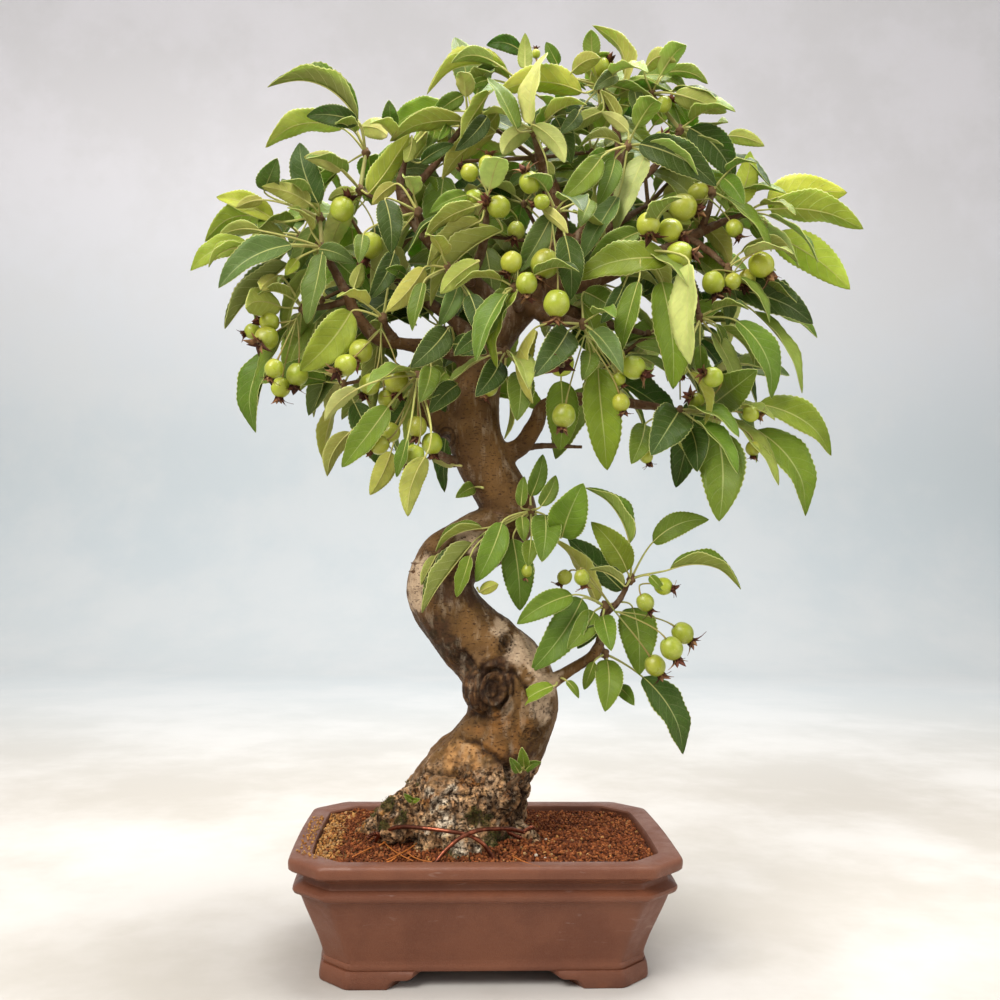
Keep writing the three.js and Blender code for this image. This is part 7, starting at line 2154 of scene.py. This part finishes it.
def placed_light(name, place, target, side, strength, colour):
    """A square area light, in metres, turned to its target."""
    lamp = bpy.data.lights.new(name, "AREA")
    lamp.shape = "SQUARE"
    lamp.size = side
    lamp.energy = strength
    lamp.color = colour
    made = bpy.data.objects.new(name, lamp)
    made.location = place
    made.rotation_euler = (Vector(target) - Vector(place)).to_track_quat("-Z", "Y").to_euler()
    bpy.context.scene.collection.objects.link(made)
    return made


class BONSAI_OT_stage(bpy.types.Operator):
    """Sets the camera, floor, surrounding light and lamps"""

    bl_idname = "bonsai.stage"
    bl_label = "Stage"

    def execute(self, context):
        stage = context.scene.bonsai_stage
        lens = bpy.data.cameras.new("camera")
        lens.sensor_width = SENSOR
        lens.lens = EYE_REACH * SENSOR / PICTURE_SIDE
        camera = bpy.data.objects.new("camera", lens)
        eye = (EYE + POT_CENTRE) * MILLIMETRE
        columns = np.stack([EYE_RIGHT, EYE_UP, -EYE_FORWARD], axis=1)
        turned = Matrix(columns.tolist()).to_4x4()
        camera.matrix_world = Matrix.Translation(Vector(eye.tolist())) @ turned
        context.scene.collection.objects.link(camera)
        context.scene.camera = camera

        # The floor runs back and curves up into a wall, in metres.
        turn = np.linspace(0, math.pi / 2, 13)
        bend = np.stack([WALL_START + WALL_BEND * np.sin(turn), WALL_BEND - WALL_BEND * np.cos(turn)], axis=1)
        line = np.concatenate([[(FLOOR_FRONT, 0.0)], bend, [(WALL_START + WALL_BEND, WALL_TOP)]])
        across = np.linspace(-FLOOR_HALF_WIDTH, FLOOR_HALF_WIDTH, 3)[None, :]
        grid = np.stack(np.broadcast_arrays(across, line[:, :1], line[:, 1:]), axis=-1).reshape(-1, 3)
        mesh = bpy.data.meshes.new("floor")
        mesh.from_pydata(grid.tolist(), [], grid_faces(len(line), 3).tolist())
        mesh.polygons.foreach_set("use_smooth", np.full(len(mesh.polygons), True))
        mesh.materials.append(finish("floor"))
        floor = bpy.data.objects.new("floor", mesh)
        context.scene.collection.objects.link(floor)

        world = bpy.data.worlds.new("surroundings")
        world.use_nodes = True
        sky = world.node_tree.nodes["Background"]
        sky.inputs["Color"].default_value = (*stage.world_colour, 1.0)
        sky.inputs["Strength"].default_value = stage.world_strength
        context.scene.world = world
        context.scene.view_settings.view_transform = "Standard"

        target = (0.0, 0.0, 0.3)
        placed_light("key_light", (-0.9, -1.1, 1.5), target, 1.0, stage.key_power, (1.0, 0.98, 0.95))
        placed_light("fill_light", (1.4, -0.8, 0.8), target, 1.2, stage.fill_power, (0.95, 0.98, 1.0))
        placed_light("top_light", (0.2, 0.1, 1.7), target, 1.0, stage.top_power, (1.0, 1.0, 1.0))
        return {"FINISHED"}


class BONSAI_OT_pot(bpy.types.Operator):
    """Shapes the clay pot with its rim, groove, feet and drain holes"""

    bl_idname = "bonsai.pot"
    bl_label = "Pot"

    def execute(self, context):
        gather = Gather()
        shape_pot(gather)
        made = gather.piece("clay_pot", [finish("clay")], "clay", ("pot",), welded=True)
        made.data.set_sharp_from_angle(angle=math.radians(34))
        return {"FINISHED"}


class BONSAI_OT_soil(bpy.types.Operator):
    """Lays grains on the soil and on the rim, with dry needles"""

    bl_idname = "bonsai.soil"
    bl_label = "Soil"

    def execute(self, context):
        put_on("soil", finish("soil"))
        gather = Gather()
        lay_grains(gather, context.scene.bonsai_pot)
        gather.piece("soil_grains", [finish("grain")], "soil", smooth=False)
        litter = Gather()
        lay_needles(litter)
        litter.piece("dry_needles", [finish("needle")], "bark")
        return {"FINISHED"}


class BONSAI_OT_bark(bpy.types.Operator):
    """Grows the bark of the trunk, roots and stout limbs, its moss, and the twigs"""

    bl_idname = "bonsai.bark"
    bl_label = "Bark"

    def execute(self, context):
        points, faces, masks = grow_bark(context.scene.bonsai_tree)
        gather = Gather()
        gather.add(points, faces, **masks)
        gather.piece("trunk_bark", [finish("bark")], "bark", ("wood",))
        moss = Gather()
        grow_moss(moss, points, surface_normals(points, faces), masks["moss"])
        moss.piece("moss_tufts", [finish("moss")], "leaf")
        twigs = Gather()
        grow_twigs(twigs)
        twigs.piece("twig_bark", [finish("twigs")], "bark", ("wood",))
        return {"FINISHED"}


class BONSAI_OT_wires(bpy.types.Operator):
    """Bends the copper wires round the roots, with their twisted ends"""

    bl_idname = "bonsai.wires"
    bl_label = "Wires"

    def execute(self, context):
        for name in WIRES:
            gather = Gather()
            bend_wire(gather, name)
            gather.piece(f"copper_{name}", [finish("copper")], "copper", (name,))
        ends = Gather()
        for line in WIRE_ENDS:
            for start in (0.0, math.pi):
                ends.add(*tube(twisted(line, start), WIRE_END_RADIUS, 8))
        ends.piece("copper_ends", [finish("copper")], "copper")
        for name in ("drain_screen_left", "drain_screen_right"):
            put_on(name, finish("screen"))
        return {"FINISHED"}


class BONSAI_OT_leaves(bpy.types.Operator):
    """Grows each spray's leaves and buds where its solid has them"""

    bl_idname = "bonsai.leaves"
    bl_label = "Leaves"

    def execute(self, context):
        sizes = context.scene.bonsai_tree
        finishes = [finish("leaf"), finish("stalk"), finish("spur")]
        for number, (name, (buds, rows)) in enumerate(SPRAYS.items()):
            gather = Gather()
            piece_leaves(gather, f"leaves_{name}", buds, rows, 100 * (number + 1), sizes)
            gather.piece(f"foliage_{name}", finishes, "leaf", (f"leaves_{name}",))
        for number, (name, spray) in enumerate(BACK_SPRAYS.items()):
            gather = Gather()
            back_leaves(gather, name, number, spray, sizes)
            gather.piece(f"foliage_{name}", finishes, "leaf", (f"leaves_{name}",))
        gather = Gather()
        for number, (root, depth, row) in enumerate(SMALL_LEAVES):
            seed = SMALL_LEAF_SEEDS + number
            plan = front_leaf(row, (root[0], root[1], depth), seed)
            plan["bud"] = sight(*root)
            grow_leaf(gather, plan, row[6], seed, sizes)
        gather.piece("foliage_small", finishes, "leaf")
        return {"FINISHED"}


class BONSAI_OT_inner_leaves(bpy.types.Operator):
    """Grows the smaller leaves that fill the crown, at the buds of its sprays and tufts"""

    bl_idname = "bonsai.inner_leaves"
    bl_label = "Inner Leaves"

    def execute(self, context):
        sizes = context.scene.bonsai_tree
        finishes = [finish("leaf"), finish("stalk"), finish("spur")]
        for number, (name, (place, _, _, tufts)) in enumerate(BACK_SPRAYS.items()):
            gather = Gather()
            seed = BACK_FILLER_SEEDS + 200 * number
            grow_fillers(gather, sight(*place), seed, FILLERS_AT_BACK, (36, 52), 0.4, sizes)
            for bud in tufts:
                seed += 10
                grow_fillers(gather, sight(*bud), seed, FILLERS_AT_TUFT, (34, 52), 0.1, sizes)
            gather.piece(f"fillers_{name}", finishes, "leaf", (f"leaves_{name}",))
        gather = Gather()
        crown = [name for name, (buds, _) in SPRAYS.items() if max(bud[1] for bud in buds) < 420]
        for number, name in enumerate(crown):
            for order, bud in enumerate(SPRAYS[name][0]):
                seed = FRONT_FILLER_SEEDS + 20 * number + 5 * order
                grow_fillers(gather, sight(*bud), seed, FILLERS_IN_FRONT, (28, 42), 0.4, sizes)
        gather.piece("fillers_front", finishes, "leaf", [f"leaves_{name}" for name in crown])
        return {"FINISHED"}


class BONSAI_OT_fruit(bpy.types.Operator):
    """Hangs the crabapples, with their stalks and dry flower ends, where their solids have them"""

    bl_idname = "bonsai.fruit"
    bl_label = "Fruit"

    def execute(self, context):
        finishes = [finish("fruit"), finish("dry"), finish("stalk")]
        for number, (name, fruits) in enumerate(BUNCHES.items()):
            gather = Gather()
            corners = solid_corners(f"fruit_{name}")
            bud = SPRAYS[name][0][0]
            core = fruit_core(bud, fruits)
            for index, row in enumerate(fruits):
                seed = FRUIT_SEEDS + 100 * number + index
                plans = (fruit_plan(row, bud, core, seed, step) for step in DEPTH_STEPS)
                plan = kept(corners, plans, fruit_marks)
                if plan is not None:
                    grow_fruit(gather, plan, seed)
            gather.piece(f"apples_{name}", finishes, "fruit", (f"fruit_{name}",))
        gather = Gather()
        for number, (name, row) in enumerate(SMALL_FRUITS):
            bud = SPRAYS[name][0][0]
            seed = SMALL_FRUIT_SEEDS + number
            grow_fruit(gather, fruit_plan(row, bud, fruit_core(bud, (row,)), seed), seed)
        gather.piece("apples_small", finishes, "fruit")
        return {"FINISHED"}


class BONSAI_PT_panel(bpy.types.Panel):
    """The pieces of the tree and their sizes"""

    bl_label = "Bonsai"
    bl_idname = "BONSAI_PT_panel"
    bl_space_type = "VIEW_3D"
    bl_region_type = "UI"
    bl_category = "Bonsai"

    def draw(self, context):
        scene = context.scene
        for sizes in (scene.bonsai_stage, scene.bonsai_pot, scene.bonsai_tree):
            box = self.layout.box()
            for name in type(sizes).__annotations__:
                box.prop(sizes, name)
        for operator in STEPS:
            self.layout.operator(operator.bl_idname)


STEPS = (
    BONSAI_OT_stage, BONSAI_OT_pot, BONSAI_OT_soil, BONSAI_OT_bark, BONSAI_OT_wires, BONSAI_OT_leaves,
    BONSAI_OT_inner_leaves, BONSAI_OT_fruit)
CLASSES = (TreeSizes, PotSizes, StageSizes, *STEPS, BONSAI_PT_panel)


def register():
    """Registers the classes and puts their sizes on the scene."""
    for made in CLASSES:
        bpy.utils.register_class(made)
    bpy.types.Scene.bonsai_tree = PointerProperty(type=TreeSizes)
    bpy.types.Scene.bonsai_pot = PointerProperty(type=PotSizes)
    bpy.types.Scene.bonsai_stage = PointerProperty(type=StageSizes)


def unregister():
    """Takes the sizes and the classes away."""
    del bpy.types.Scene.bonsai_stage
    del bpy.types.Scene.bonsai_pot
    del bpy.types.Scene.bonsai_tree
    for made in reversed(CLASSES):
        bpy.utils.unregister_class(made)


def main():
    """Makes the stage and every piece."""
    register()
    for operator in STEPS:
        group, name = operator.bl_idname.split(".")
        getattr(getattr(bpy.ops, group), name)()


if __name__ == "__main__":
    main()
